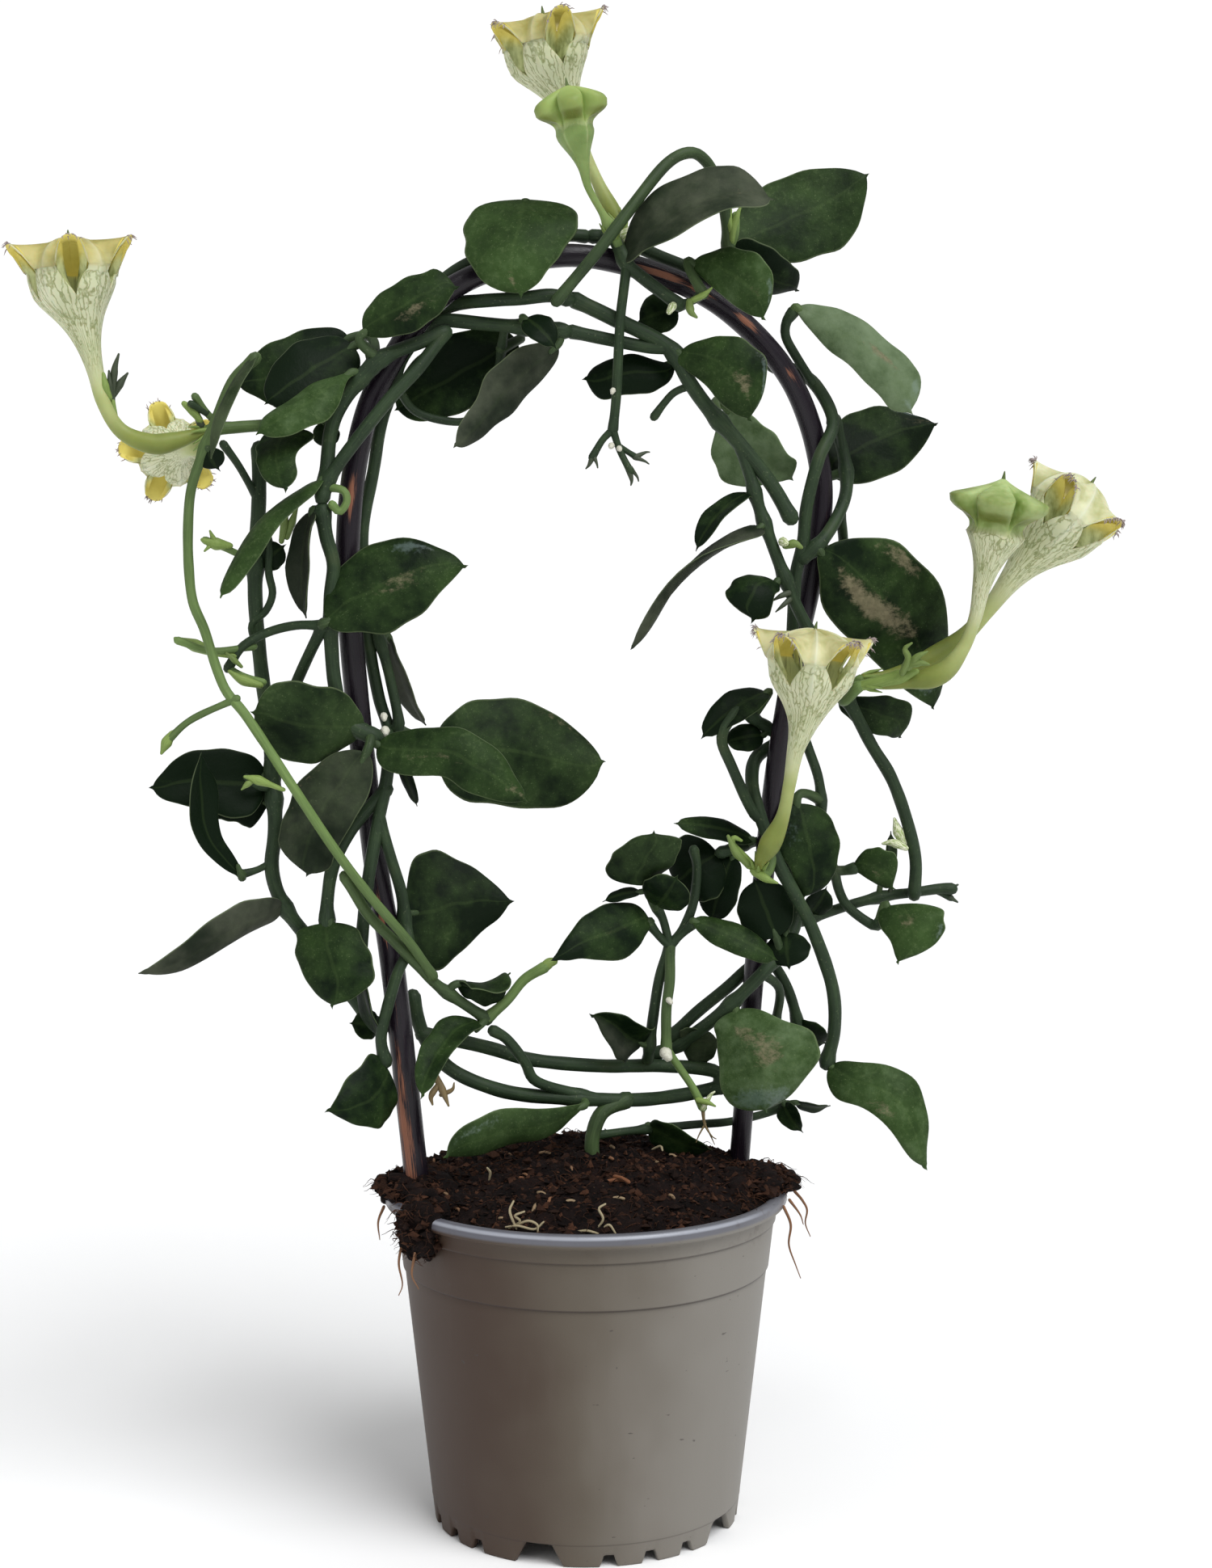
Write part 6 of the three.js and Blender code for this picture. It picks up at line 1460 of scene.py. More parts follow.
LEAF = leaf_finish()
STEM = stem_finish()
BUD = bud_finish()
SAP = sap_finish()
CANE_SKIN = cane_finish()
POT = pot_finish()
PEAT = peat_finish("peat_bulk", 0.25)
CRUMB = peat_finish("peat_crumb", 0.8)
ROOT = root_finish()
PETAL = petal_outer_finish()
LINING = petal_inner_finish()
FOLD = petal_fold_finish()
HAIR = hair_finish()


# Pot


def wall_radius(z):
    """Radius of the pot's outer wall before its steps: straight from the foot to the neck."""
    return POT_FOOT_RADIUS + (POT_NECK_RADIUS - POT_FOOT_RADIUS) * z / (POT_HEIGHT - POT_LIP_HEIGHT)


def arc_from(turn, centre, radius):
    """Distance round a circle from the centre angle, in the shorter direction."""
    return ((turn - centre + 180) % 360 - 180) * np.pi / 180 * radius


def notch_height(turn):
    """Height of the foot's lower edge: each notch is a trapezium, and the highest one wins."""
    rise = np.zeros(len(turn))
    for centres, (low, high, tall) in ((WIDE_NOTCHES, WIDE_NOTCH), (SMALL_NOTCHES, SMALL_NOTCH)):
        for centre in centres:
            away = np.abs(arc_from(turn, centre, POT_FOOT_RADIUS))
            rise = np.maximum(rise, tall * np.clip((low / 2 - away) / ((low - high) / 2), 0, 1))
    return rise


def pot_profile(rise):
    """Radius and height of each ring: under, notched foot, stepped wall, rolled lip, inner wall, floor."""
    s = POT_LINE_STEP
    under = [(2, POT_FLOOR_UNDER), (20, POT_FLOOR_UNDER), (wall_radius(9) - POT_WALL - 1.2, POT_FLOOR_UNDER),
             (wall_radius(8) - POT_WALL - 1, 8)]
    foot_out = POT_FOOT_RADIUS - 2 * s
    foot_in = POT_FOOT_RADIUS - POT_WALL - 1
    foot_line = wall_radius(POT_LINE_FOOT) - 2 * s
    foot = [(foot_in + 0.06, 6.9), (foot_in, rise + 0.35), (foot_in + 0.3, rise), (foot_out - 0.35, rise),
            (foot_out, rise + 0.35), (foot_out + 0.02, rise + 0.8), (foot_line - 0.02, POT_LINE_FOOT + 0.1),
            (foot_line + 0.1, POT_LINE_FOOT + 0.5)]
    wall = []
    low_part = (POT_LINE_LOW, (8, 10, 20, 40, 60, 74), 2)
    high_part = (POT_LINE_HIGH, (POT_LINE_LOW + 0.6, 84), 1)
    for line, below, inset in (low_part, high_part):
        wall += [(wall_radius(z) - inset * s, z) for z in (*below, line - 0.35)]
        wall.append((wall_radius(line - 0.1) - inset * s - 0.06, line - 0.18))
        wall.append((wall_radius(line) - (inset - 1) * s, line))
    wall += [(wall_radius(z), z) for z in (POT_LINE_HIGH + 0.5, 93, 95)]
    lip = [(POT_NECK_RADIUS + 0.3, POT_LIP_UNDER - 0.1)]
    lip += [(POT_LIP_RADIUS - inset, POT_LIP_UNDER + up) for inset, up in LIP_OUTSIDE]
    lip += [(POT_LIP_RADIUS - inset, POT_HEIGHT - down) for inset, down in LIP_ROUND]
    lip += [(POT_NECK_RADIUS - 0.9, POT_HEIGHT - 0.5), (POT_NECK_RADIUS - 1.5, POT_HEIGHT - 1.6)]
    inner = [(wall_radius(z) - POT_WALL - 0.8, z) for z in (92, 70, 40, POT_FLOOR_TOP + 2)]
    inner += [(r, POT_FLOOR_TOP) for r in (wall_radius(POT_FLOOR_TOP) - POT_WALL - 2, 20, 2)]
    return under + foot + wall + lip + inner


def make_pot():
    """The profile turned about Z, with small upright ticks under the lip."""
    turn = np.linspace(0, 360, POT_COLUMNS, endpoint=False)
    profile = pot_profile(notch_height(turn))
    radius = np.stack([np.broadcast_to(r, POT_COLUMNS).astype(float) for r, _ in profile])
    height = np.stack([np.broadcast_to(z, POT_COLUMNS).astype(float) for _, z in profile])
    band = ease(POT_LINE_HIGH, POT_LINE_HIGH + 1, height)
    band = band * (1 - ease(POT_LIP_UNDER - 1.5, POT_LIP_UNDER - 0.5, height))
    for centre in RIM_TICKS:
        away = arc_from(turn, centre, POT_NECK_RADIUS)
        tick = TICK_HEIGHT * np.exp(-((away / TICK_HALF_WIDTH) ** 2))[None]
        radius += tick * band * (radius > POT_NECK_RADIUS - 2.4)
    angle = np.radians(turn)[None]
    points = np.stack([radius * np.sin(angle), -radius * np.cos(angle), height], -1)
    piece = Piece("pot_shell")
    piece.add_skin(points, np.array([[0, 0, POT_FLOOR_UNDER], [0, 0, POT_FLOOR_TOP]], float))
    piece.make("pot_plastic", POT, replaces=["pot"])


# Peat


def peat_height(x, y):
    """The surface falls from the crown to the edge, lower at the front, with broad lumps."""
    r = np.hypot(x, y) / PEAT_SPAN
    edge = PEAT_EDGE_FRONT + (PEAT_EDGE_BACK - PEAT_EDGE_FRONT) * (y + PEAT_SPAN) / (2 * PEAT_SPAN)
    heap = edge + (PEAT_CROWN - edge) * np.clip(1 - r**2.4, 0, 1) ** 0.8
    lumps = 1.1 * np.sin(0.21 * x + 1.3) * np.cos(0.17 * y - 0.4)
    lumps += 0.8 * np.sin(0.11 * x - 0.19 * y + 2.1) + 0.5 * np.cos(0.33 * x + 0.27 * y)
    return heap + lumps * np.clip(1 - r**3, 0, 1)


def peat_rough(x, y):
    """The surface with small lumps on it: three sizes of smooth noise, the finest the lowest."""
    flat = np.stack([x, y], -1).reshape(-1, 2)
    rough = 0.9 * waves(flat, 9, 3) + 0.55 * waves(flat, 4.2, 4) + 0.3 * waves(flat, 1.9, 5)
    return peat_height(x, y) + rough.reshape(np.shape(x))


def make_peat():
    """A disc raised to the surface, with a skirt inside the pot; each spilled lump is a rough flat ball."""
    rings, columns = PEAT_GRID
    r = np.linspace(0.8, PEAT_RADIUS, rings)[:, None]
    a = np.linspace(0, 2 * np.pi, columns, endpoint=False)[None]
    x, y = r * np.cos(a), r * np.sin(a)
    z = peat_rough(x, y)
    skirt = np.stack([x[-1] * 0.99, y[-1] * 0.99, np.full(columns, PEAT_SKIRT)], -1)
    points = np.concatenate([np.stack([x, y, z], -1), skirt[None]])
    piece = Piece("peat_heap")
    piece.add_skin(points, np.array([[0, 0, z[0].mean()], [0, 0, PEAT_SKIRT - 2]]), turned=True)
    rings, columns = SPILL_GRID
    theta = np.linspace(0.06, np.pi - 0.06, rings)[:, None]
    phi = np.linspace(0, 2 * np.pi, columns, endpoint=False)[None]
    sphere = (np.sin(theta) * np.cos(phi), np.sin(theta) * np.sin(phi), np.cos(theta))
    ball = np.stack(np.broadcast_arrays(*sphere), -1)
    for index, (centre, half, turn) in enumerate(SPILLS):
        rough = 1 + 0.1 * np.sin(7 * ball[..., 0] + 3 * ball[..., 1])
        rough = rough + 0.08 * np.cos(6 * ball[..., 2] - 4 * ball[..., 1])
        flat = (ball * half).reshape(-1, 3)
        rough = rough.ravel() + 0.1 * waves(flat, 7, 11 + index) + 0.07 * waves(flat, 3.2, 21 + index) - 0.02
        angles = np.full(len(flat), np.radians(turn))
        swung = turn_about(flat * rough[:, None], np.array([0, 0, 1.0]), angles)
        shaped = (swung + centre).reshape(ball.shape)
        piece.add_skin(shaped, np.stack([shaped[0].mean(0), shaped[-1].mean(0)]), turned=True)
    piece.make("peat", PEAT, replaces=["peat"])


def spill_points(rng, count):
    """Random places on the spilled lumps: on their upper halves, and all round the one that hangs."""
    which = rng.integers(0, len(SPILLS), count)
    centre = np.array([SPILLS[i][0] for i in which], float)
    half = np.array([SPILLS[i][1] for i in which], float)
    ball = unit(rng.normal(size=(count, 3)))
    ball[:, 2] = np.where(which == HANGING_SPILL, ball[:, 2], np.abs(ball[:, 2]))
    turn = np.radians([SPILLS[i][2] for i in which])
    local = ball * half * 0.98
    x = local[:, 0] * np.cos(turn) - local[:, 1] * np.sin(turn)
    y = local[:, 0] * np.sin(turn) + local[:, 1] * np.cos(turn)
    return centre + np.stack([x, y, local[:, 2]], 1)


def peat_points(rng, count, reach=0.985):
    """Random places on the heap, evenly over its disc."""
    r = PEAT_RADIUS * reach * np.sqrt(rng.uniform(0, 1, count))
    a = rng.uniform(0, 2 * np.pi, count)
    x, y = r * np.cos(a), r * np.sin(a)
    return np.stack([x, y, peat_rough(x, y)], 1)


def make_crumbs():
    """Irregular grains: an octahedron with its corners pulled by random amounts, then spun and tilted."""
    rng = np.random.default_rng(7)
    places = np.vstack([peat_points(rng, HEAP_CRUMBS), spill_points(rng, SPILL_CRUMBS)])
    n = len(places)
    size = np.minimum(0.35 + rng.gamma(1.7, 0.34, n), LARGEST_CRUMB)
    corner = np.array([[1, 0, 0], [0, 1, 0], [-1, 0, 0], [0, -1, 0], [0, 0, 1], [0, 0, -1]], float)
    pulled = corner[None] * rng.uniform(0.55, 1.25, (n, 6, 1)) + rng.normal(0, 0.22, (n, 6, 3))
    spin = rng.uniform(0, 2 * np.pi, n)[:, None]
    tilt = rng.uniform(-0.8, 0.8, n)[:, None]
    x = pulled[..., 0] * np.cos(spin) - pulled[..., 1] * np.sin(spin)
    y = pulled[..., 0] * np.sin(spin) + pulled[..., 1] * np.cos(spin)
    z = pulled[..., 2] * np.cos(tilt) + y * np.sin(tilt)
    grains = np.stack([x, y, z * 0.8], -1) * size[:, None, None] + places[:, None]
    grains[..., 2] += 0.15
    face = np.array([[0, 1, 4], [1, 2, 4], [2, 3, 4], [3, 0, 4], [1, 0, 5], [2, 1, 5], [3, 2, 5], [0, 3, 5]])
    faces = (face[None] + 6 * np.arange(n)[:, None, None]).reshape(-1, 3)
    tint = np.repeat(rng.uniform(0, 1, n) ** 2.2, 6)
    piece = Piece("peat_crumbs")
    piece.add(grains, None, faces, look=first_only(tint))
    piece.make("peat", CRUMB, flat=True)


def add_threads(piece, places, length, radius, drop, rng, tint, steps=6):
    """Curved three-sided threads that start at each place: a random heading, a curl and a fall."""
    n = len(places)
    t = np.linspace(0, 1, steps)[None, :]
    head = rng.uniform(0, 2 * np.pi, n)[:, None]
    bend = rng.normal(0, 1.5, n)[:, None]
    turn = head + bend * t
    span = length[:, None]
    x = places[:, :1] + span * np.cumsum(np.cos(turn), 1) / steps
    y = places[:, 1:2] + span * np.cumsum(np.sin(turn), 1) / steps
    arch = rng.uniform(0.02, 0.22, n)[:, None] * span * np.sin(np.pi * np.clip(t * 1.3, 0, 1))
    z = places[:, 2:3] + arch - drop[:, None] * t**1.6
    path = np.stack([x, y, z], -1)
    along = unit(np.gradient(path, axis=1))
    side = unit(np.cross(along, np.array([0.02, 0.03, 1.0])))
    other = np.cross(along, side)
    angle = np.radians([0, 120, 240])
    thin = radius[:, None] * (1 - 0.75 * t)
    ring = side[:, :, None] * np.cos(angle)[:, None] + other[:, :, None] * np.sin(angle)[:, None]
    points = path[:, :, None] + ring * thin[..., None, None]
    quads = grid_quads(steps, 3, True)
    caps = np.array([[0, 2, 1], [3 * steps - 3, 3 * steps - 2, 3 * steps - 1]])
    shift = 3 * steps * np.arange(n)[:, None, None]
    piece.add(points, (quads[None] + shift).reshape(-1, 4), (caps[None] + shift).reshape(-1, 3),
              look=first_only(np.repeat(tint, 3 * steps)))


def make_fibres():
    """Fine threads that lie on the heap and on the spilled lumps."""
    rng = np.random.default_rng(19)
    piece = Piece("peat_fibres")
    for scatter, count, longest, falls, darkest in (
        (lambda: peat_points(rng, HEAP_THREADS, 0.97), HEAP_THREADS, 9, (0.2, 2), 0.2),
        (lambda: spill_points(rng, SPILL_THREADS), SPILL_THREADS, 8, (0.3, 2.5), 0.3),
    ):
        add_threads(piece, scatter(), rng.uniform(2.5, longest, count), rng.uniform(0.1, 0.24, count),
                    rng.uniform(*falls, count), rng, rng.uniform(darkest, 1, count))
    piece.make("peat", CRUMB)


def make_roots():
    """Roots that hang over the rim, pale ones on the peat, and bark chips: short bars, bent a little."""
    roots = Piece("peat_roots")
    for path in HANGING_ROOTS:
        line = smooth_path(path, 0.7)
        add_tube(roots, line, np.linspace(0.5, 0.14, len(line)), 5, (0.85, 0, 0))
    for path in PALE_ROOTS:
        line = smooth_path(path, 0.5)
        add_tube(roots, line, 0.27 + 0.12 * np.sin(np.linspace(0, 3, len(line))), 6)
    rng = np.random.default_rng(31)
    for k, spot in enumerate(np.vstack([CHIP_PLACES, peat_points(rng, SMALL_CHIPS, 0.9)])):
        large = k < LARGE_CHIPS
        long = 2.8 if large else rng.uniform(0.7, 1.8)
        heading = rng.uniform(0, np.pi)
        step = np.array([np.cos(heading), np.sin(heading), rng.uniform(-0.2, 0.5)]) * long
        line = np.stack([spot - step, spot + (0, 0, 0.3), spot + step])
        tint = 1.0 if large else rng.uniform(0.3, 1)
        add_tube(roots, smooth_path(line, 0.6), 0.35 + 0.1 * long, 5, (tint, 0, 0))
    roots.make("peat", ROOT)


# Cane


def make_cane():
    """A rod that thins from the left foot to the right, worn in streaks: bell curves along and across it."""
    line = smooth_path(CANE, 1.0)
    radius = np.linspace(0, 1, len(line)) * (CANE_RADIUS_RIGHT - CANE_RADIUS_LEFT) + CANE_RADIUS_LEFT
    piece = Piece("cane_rod")
    add_tube(piece, line, radius * (1 + 0.012 * waves(line, 18, 41)), CANE_SIDES, cut=True)
    points = piece.points[0]
    worn = np.zeros(len(points))
    for place, across, along in CANE_STREAKS:
        index = np.argmin(np.linalg.norm(line - place, axis=1))
        way = unit(line[min(index + 2, len(line) - 1)] - line[max(index - 2, 0)])
        gap = points - place
        lengthwise = gap @ way
        sideways = np.linalg.norm(gap - lengthwise[:, None] * way, axis=1)
        bell = np.exp(-((sideways / (1.15 * across)) ** 2) - (lengthwise / along) ** 2)
        worn = np.maximum(worn, 1.02 * bell)
    piece.look[0] = first_only(worn)
    piece.make("cane", CANE_SKIN, replaces=["cane_hoop"])


# Foliage


def nearest(lines, point):
    """The point of the strands' paths that is nearest."""
    every = np.vstack(lines)
    return every[np.argmin(np.linalg.norm(every - point, axis=1))]


def swelling(line, spot, height, reach):
    """A bell curve of the distance from the spot, along a line."""
    return height * np.exp(-((np.linalg.norm(line - spot, axis=1) / reach) ** 2))


def add_stalk(piece, row, root, style):
    """A leaf's stalk: a curve from the strand that meets the blade in line, thicker at the strand."""
    base, tip = np.array(row[0], float), np.array(row[1], float)
    gap = np.linalg.norm(base - root)
    if gap <= SEATED:
        return
    axis = unit(tip - base)
    control = base - axis * gap * style.get("stalk", STALK_PULL)
    t = np.linspace(0, 1, max(6, int(gap / 0.9)))[:, None]
    curve = (1 - t) ** 2 * root + 2 * t * (1 - t) * control + t**2 * base
    inside = base + axis * min(3.0, 0.12 * np.linalg.norm(tip - base))
    curve = np.vstack([curve, inside])
    size = STALK_RADIUS * min(1.15, 0.62 + row[2] / 40)
    radius = size * (1 + 0.3 * np.exp(-np.linspace(0, 5, len(curve))))
    radius[-1] = size * 0.6
    add_tube(piece, curve, radius, 10, (0.12 + 0.25 * max(0, style["bright"]), 0, 0))


def make_foliage(node, strands, leaves):
    """Strands, thickened where a stalk leaves and where they end, and the leaves on their stalks."""
    lines = [smooth_path(path, STEM_STEP if radius > 1.2 else STEM_STEP * 0.7) for radius, path in strands]
    roots = [nearest(lines, row[0]) for row in leaves]
    stems = Piece(node + "_stems")
    blades = Piece(node + "_leaves")
    for index, ((radius, path), line) in enumerate(zip(strands, lines)):
        swells = [swelling(line, root, 0.34, 2.6) for root in roots]
        swells += [swelling(line, end, 0.16, 2.4) for end in (path[0], path[-1])]
        size = radius * (1.0 + np.maximum.reduce(swells) + 0.035 * waves(line, 11, 60 + index))
        fresh = spread_out(FRESH.get(node, {}).get(index, (0.0, 0.0)), len(line))
        add_tube(stems, line, size, STEM_SIDES, first_only(fresh))
    for index, (row, root) in enumerate(zip(leaves, roots)):
        style = LOOKS.get(node, {}).get(index, {})
        style = {"bright": PLAIN_BRIGHT if not style else 0.0, **style}
        add_stalk(stems, row, root, style)
        add_leaf(blades, row, index, style, OUTLINES.get(node, {}).get(index))
    stems.make("foliage", STEM, replaces=[node])
    blades.make("foliage", LEAF, replaces=[node])


def make_buds():
    """Small tapered bars with their radii spread along them, and drops of sap."""
    for node, rows in BUDS.items():
        sprays = Piece(node + "_buds")
        sap = Piece(node + "_sap")
        for kind, path, radii in rows:
            line = smooth_path(path, 0.5)
            size = np.convolve(np.pad(spread_out(radii, len(line)), 1, "edge"), [0.25, 0.5, 0.25], "valid")
            add_tube(sap if kind == "latex" else sprays, line, size, 8, BUD_LOOKS[kind])
        for piece, finish in ((sprays, BUD), (sap, SAP)):
            if piece.points:
                piece.make("foliage", finish)


# Flowers


def sector(half):
    """Headings from a corner of the canopy, in degrees: close across the window, wide beyond it."""
    window = np.linspace(-half, half, WINDOW_COLUMNS)
    middle = (CLAW_TURN + half) / 2
    return np.concatenate([[-CLAW_TURN, -CLAW_TURN + 2.4, -middle], window, [middle, CLAW_TURN - 2.4]])


def tube_radius(row, run, below):
    """Neck plus a funnel that opens towards the rim, plus a bell-shaped swelling near the stalk."""
    reach, power = row["funnel"]
    funnel = (row["rim"] - row["neck"]) * np.exp(-((np.maximum(below, 0) / reach) ** power))
    place, size, spread = row["bulge"]
    shift = run - place
    swell = (size - row["neck"]) * np.exp(-((shift / np.where(shift < 0, 0.62 * spread, spread)) ** 2))
    return STALK_END + (row["neck"] + funnel + swell - STALK_END) * ease(0, 0.55 * place, run)


def arch_over(row, q, claw_radius):
    """Height and radius of the arch over a window: both fall from the corner, q = 0, to the claw, q = 1."""
    height = ARCH_FOOT + (row["tip"] - ARCH_FOOT) * (1 - q**ARCH_HEIGHT)
    return height, claw_radius + (row["reach"] - claw_radius) * (1 - q**ARCH_DEPTH)


def open_canopy(row, q, keel, tall, claw_radius):
    """Each column goes from the window's arch to the apex: straight over a corner and boxy over a claw."""
    edge_z, edge_r = arch_over(row, q, claw_radius.max())
    edge_r = edge_r + 0.35 * keel
    u = np.linspace(0, 1, ROOF_ROWS)[:-1, None] ** 1.15
    power = 2 / (1.0 + ROOF_BOW * q**2.2)[None]
    r = edge_r * np.cos(np.pi / 2 * u) ** power
    z = edge_z + (tall - edge_z) * np.sin(np.pi / 2 * u) ** power
    z = z - 1.1 * (1 - q) * np.sin(np.pi * u) + 0.5 * keel * np.sin(np.pi * u)
    edge = np.exp(-((u / 0.05) ** 2)) * (q < 0.999)
    return r, z, edge


def young_cap(row, phi, tall):
    """A closed cap: a profile over a corner, which bulges, and one over a claw, blended round the cap. It
    also gives painted shade, darkest on each pouch below its bulge.
    """
    steps = np.linspace(0, 1, CAP_ROWS)[1:-1]

    def profile(rows):
        """Heights and radii at even distances along the smooth curve through the rows."""
        line = smooth_path(rows, 0.25)
        run = distance_run(line)
        return np.stack([np.interp(steps * run[-1], run, line[:, k]) for k in range(2)], -1)

    high, low = profile(row["pouch"]), profile(row["valley"])
    share = (np.abs(phi) / CLAW_TURN) ** row["pinch"]
    z = (high[:, None, 0] * (1 - share) + low[:, None, 0] * share) * tall
    r = high[:, None, 1] * (1 - share) + low[:, None, 1] * share
    level = z / tall
    # Painted shade on the lower part of each pouch, strongest below its bulge over the corner, none over the
    # claws or at the cap's foot
    shade = ease(0.2, 0.28, level)
    dark = 0.85 * ease(0.52, 0.36, level) * shade * (1 - share)
    dark = np.maximum(dark, 0.42 * ease(0.9, 0.6, level) * shade * (1 - share) ** 3)
    return r, z, dark


class Bloom:
    """One flower: its axis, its front turned by the spin, and the headings of its columns round the axis."""

    def __init__(self, name, row):
        self.name = name
        self.row = row
        self.young = row["young"]
        apex, self.centre = np.array(row["path"][-1], float), np.array(row["path"][-2], float)
        self.axis = unit(apex - self.centre)
        self.tall = row.get("tall", np.linalg.norm(apex - self.centre))
        self.front = facing(self.axis, row["spin"])
        self.other = np.cross(self.axis, self.front)
        self.line = smooth_path([*row["path"][:-1], tuple(self.centre + self.axis * RIM_OVERRUN)], 0.5)
        self.along, self.side, self.across = directions(self.line, self.front)
        marks = sector(row["window"])
        self.phi = np.tile(marks, CORNERS)
        self.turn = np.radians(self.phi + np.repeat(CORNER_TURN * np.arange(CORNERS), len(marks)))
        self.q = np.clip(np.abs(self.phi) / row["window"], 0, 1)
        self.keel = np.clip((np.abs(self.phi) - (CLAW_TURN - KEEL_WIDTH)) / KEEL_WIDTH, 0, 1)
        self.ring = self.front * np.cos(self.turn)[:, None] + self.other * np.sin(self.turn)[:, None]

    def make(self):
        """The tube and canopy, then what sits on them."""
        self.make_tube()
        if self.young:
            # For a young cap the third field is painted shade, carried in the place of an open flower's edges
            r, z, edge = young_cap(self.row, self.phi, self.tall)
        else:
            r, z, edge = open_canopy(self.row, self.q, self.keel, self.tall, self.radius[-1])
        self.canopy = self.centre + self.ring[None] * r[..., None] + self.axis * z[..., None]
        self.make_skin(z, edge)
        self.make_trim()
        if self.row["hairs"]:
            self.make_fringe()
            self.make_folds()

    def make_tube(self):
        """Rings square to the path up to the rim, which rises at the claws and drops under the windows."""
        run = distance_run(self.line)
        self.rim_run = run[-1] - RIM_OVERRUN
        share = np.linspace(0, 1, TUBE_ROWS)
        lift = 0.0 * self.q if self.young else CLAW_RISE * self.q**0.85 - NOTCH_DROP * (1 - self.q)
        at = self.rim_run * share[:, None] + lift[None] * ease(0.86, 1.0, share)[:, None]
        self.below = self.rim_run - at
        radius = tube_radius(self.row, at, self.below) + np.clip(-self.below / CLAW_RISE, 0, 1) * CLAW_FLARE
        ribs = np.cos(CORNERS * (self.turn - np.pi / CORNERS))[None] * 0.035 + self.keel[None] * 0.05
        self.radius = radius * (1 + ribs * ease(18, 2, self.below))

        def follow(field):
            """The field read off at each ring's place on each column."""
            return np.stack([np.interp(at, run, field[:, k]) for k in range(3)], -1)

        sideways, crossways = unit(follow(self.side)), unit(follow(self.across))
        tube = follow(self.line) + sideways * (self.radius * np.cos(self.turn))[..., None]
        self.tube = tube + crossways * (self.radius * np.sin(self.turn))[..., None]

    def make_skin(self, z, edge):
        """Tube and canopy in one skin. An open flower's are joined at its claws alone and walled inward."""
        points = np.concatenate([self.tube, self.canopy])
        total, columns = points.shape[:2]
        claw = np.abs(self.phi) >= self.row["window"] - 1e-6
        keep = np.ones(columns, bool) if self.young else claw & np.roll(claw, -1)
        quads = grid_quads(total, columns, True).reshape(total - 1, columns, 4)
        join = TUBE_ROWS - 1
        parts = (quads[:join], quads[join][keep], quads[join + 1 :])
        quads = np.concatenate([part.reshape(-1, 4) for part in parts])
        climb = np.concatenate([-self.below / 10, 0.5 + 0.1 * z])
        around = np.broadcast_to(self.turn[None], (total, columns))
        flow = np.stack([np.cos(around), np.sin(around), climb], -1)
        lip = np.zeros((TUBE_ROWS, columns))
        lip[-1] = 0.0 if self.young else 0.7
        keel_share = YOUNG_KEEL if self.young else 1.0
        keels = [self.keel[None] * ease(8, 1, self.below), self.keel[None] * np.ones_like(z) * keel_share]
        age = 0.5 + 0.5 * self.row["green"] if self.young else 0.1 * self.row["ripe"]
        edges = np.concatenate([lip, edge])
        look = np.stack([edges, np.concatenate(keels), np.full((total, columns), age)], -1)
        poles = np.stack([self.line[0] - self.along[0] * 0.4, self.centre + self.axis * (self.tall + 0.2)])
        pole_flow = np.array([[0, 0, -self.rim_run / 10], [0, 0, 2.0]])
        piece = Piece(self.name + "_bloom")
        piece.add_skin(points, poles, flow, pole_flow, look, quads)
        bloom = piece.make("flower", PETAL, LINING, replaces=[self.name])
        if not self.young:
            wall = bloom.modifiers.new("wall", "SOLIDIFY")
            wall.thickness = PETAL_WALL * MM
            wall.offset = -1
            wall.material_offset = 1

    def make_trim(self):
        """A small spike on the apex and five sepals that spread from the stalk and lie along the base."""
        trim = Piece(self.name + "_tip")
        tip = self.centre + self.axis * (self.tall - 0.2)
        route = [tip, tip + self.axis * 1.1 + self.front * 0.1, tip + self.axis * 2.2 + self.front * 0.35]
        spike = smooth_path(route, 0.3)
        add_tube(trim, spike, spread_out([0.65, 0.42, 0.2], len(spike)), 7, (0, 0.7, 0))
        root, along = self.line[SEPAL_ROW], self.along[SEPAL_ROW]
        size = tube_radius(self.row, np.array([3.0, 6.0]), np.array([40.0, 40.0]))
        for k in range(CORNERS):
            heading = np.radians(CORNER_TURN * k + 20)
            out = self.side[SEPAL_ROW] * np.cos(heading) + self.across[SEPAL_ROW] * np.sin(heading)
            route = [root - along * 2.2 + out * 0.8, root + along * 0.6 + out * (size[0] + 0.35),
                     root + along * 3.6 + out * (size[1] + 0.8)]
            spine = smooth_path(route, 0.5)
            add_tube(trim, spine, spread_out([0.45, 0.7, 0.15], len(spine), [0, 0.4, 1]), 6, (0, 0.3, 0))
        trim.make("flower", BUD)

    def make_fringe(self):
        """Fine hairs along the arch over each window, closest at the corner's tip."""
        count = self.row["hairs"]
        rng = np.random.default_rng(100 + len(self.name) + int(abs(self.row["path"][0][0])))
        fringe = Piece(self.name + "_fringe")
        for k in range(CORNERS):
            q = np.abs(rng.normal(0, 0.3, count)).clip(0, 0.85)
            phi = q * self.row["window"] * rng.choice([-1, 1], count)
            height, out = arch_over(self.row, q, self.radius[-1].max())
            heading = np.radians(CORNER_TURN * k + phi)[:, None]
            way = self.front * np.cos(heading) + self.other * np.sin(heading)
            start = self.centre + way * (out - 0.1)[:, None] + self.axis * height[:, None]
            fall = way * rng.uniform(0.3, 1.1, count)[:, None]
            fall = fall - self.axis * rng.uniform(-0.2, 1.0, count)[:, None]
            fall = unit(fall + rng.normal(0, 0.35, (count, 3)))
            for a, b, c in zip(start, fall, rng.uniform(0.7, 2.1, count)):
                spine = np.stack([a, a + b * c * 0.55, a + b * c - self.axis * 0.25 * c])
                add_tube(fringe, spine, (0.13, 0.17, 0.05), 4, cut=True)
        fringe.make("flower", HAIR)

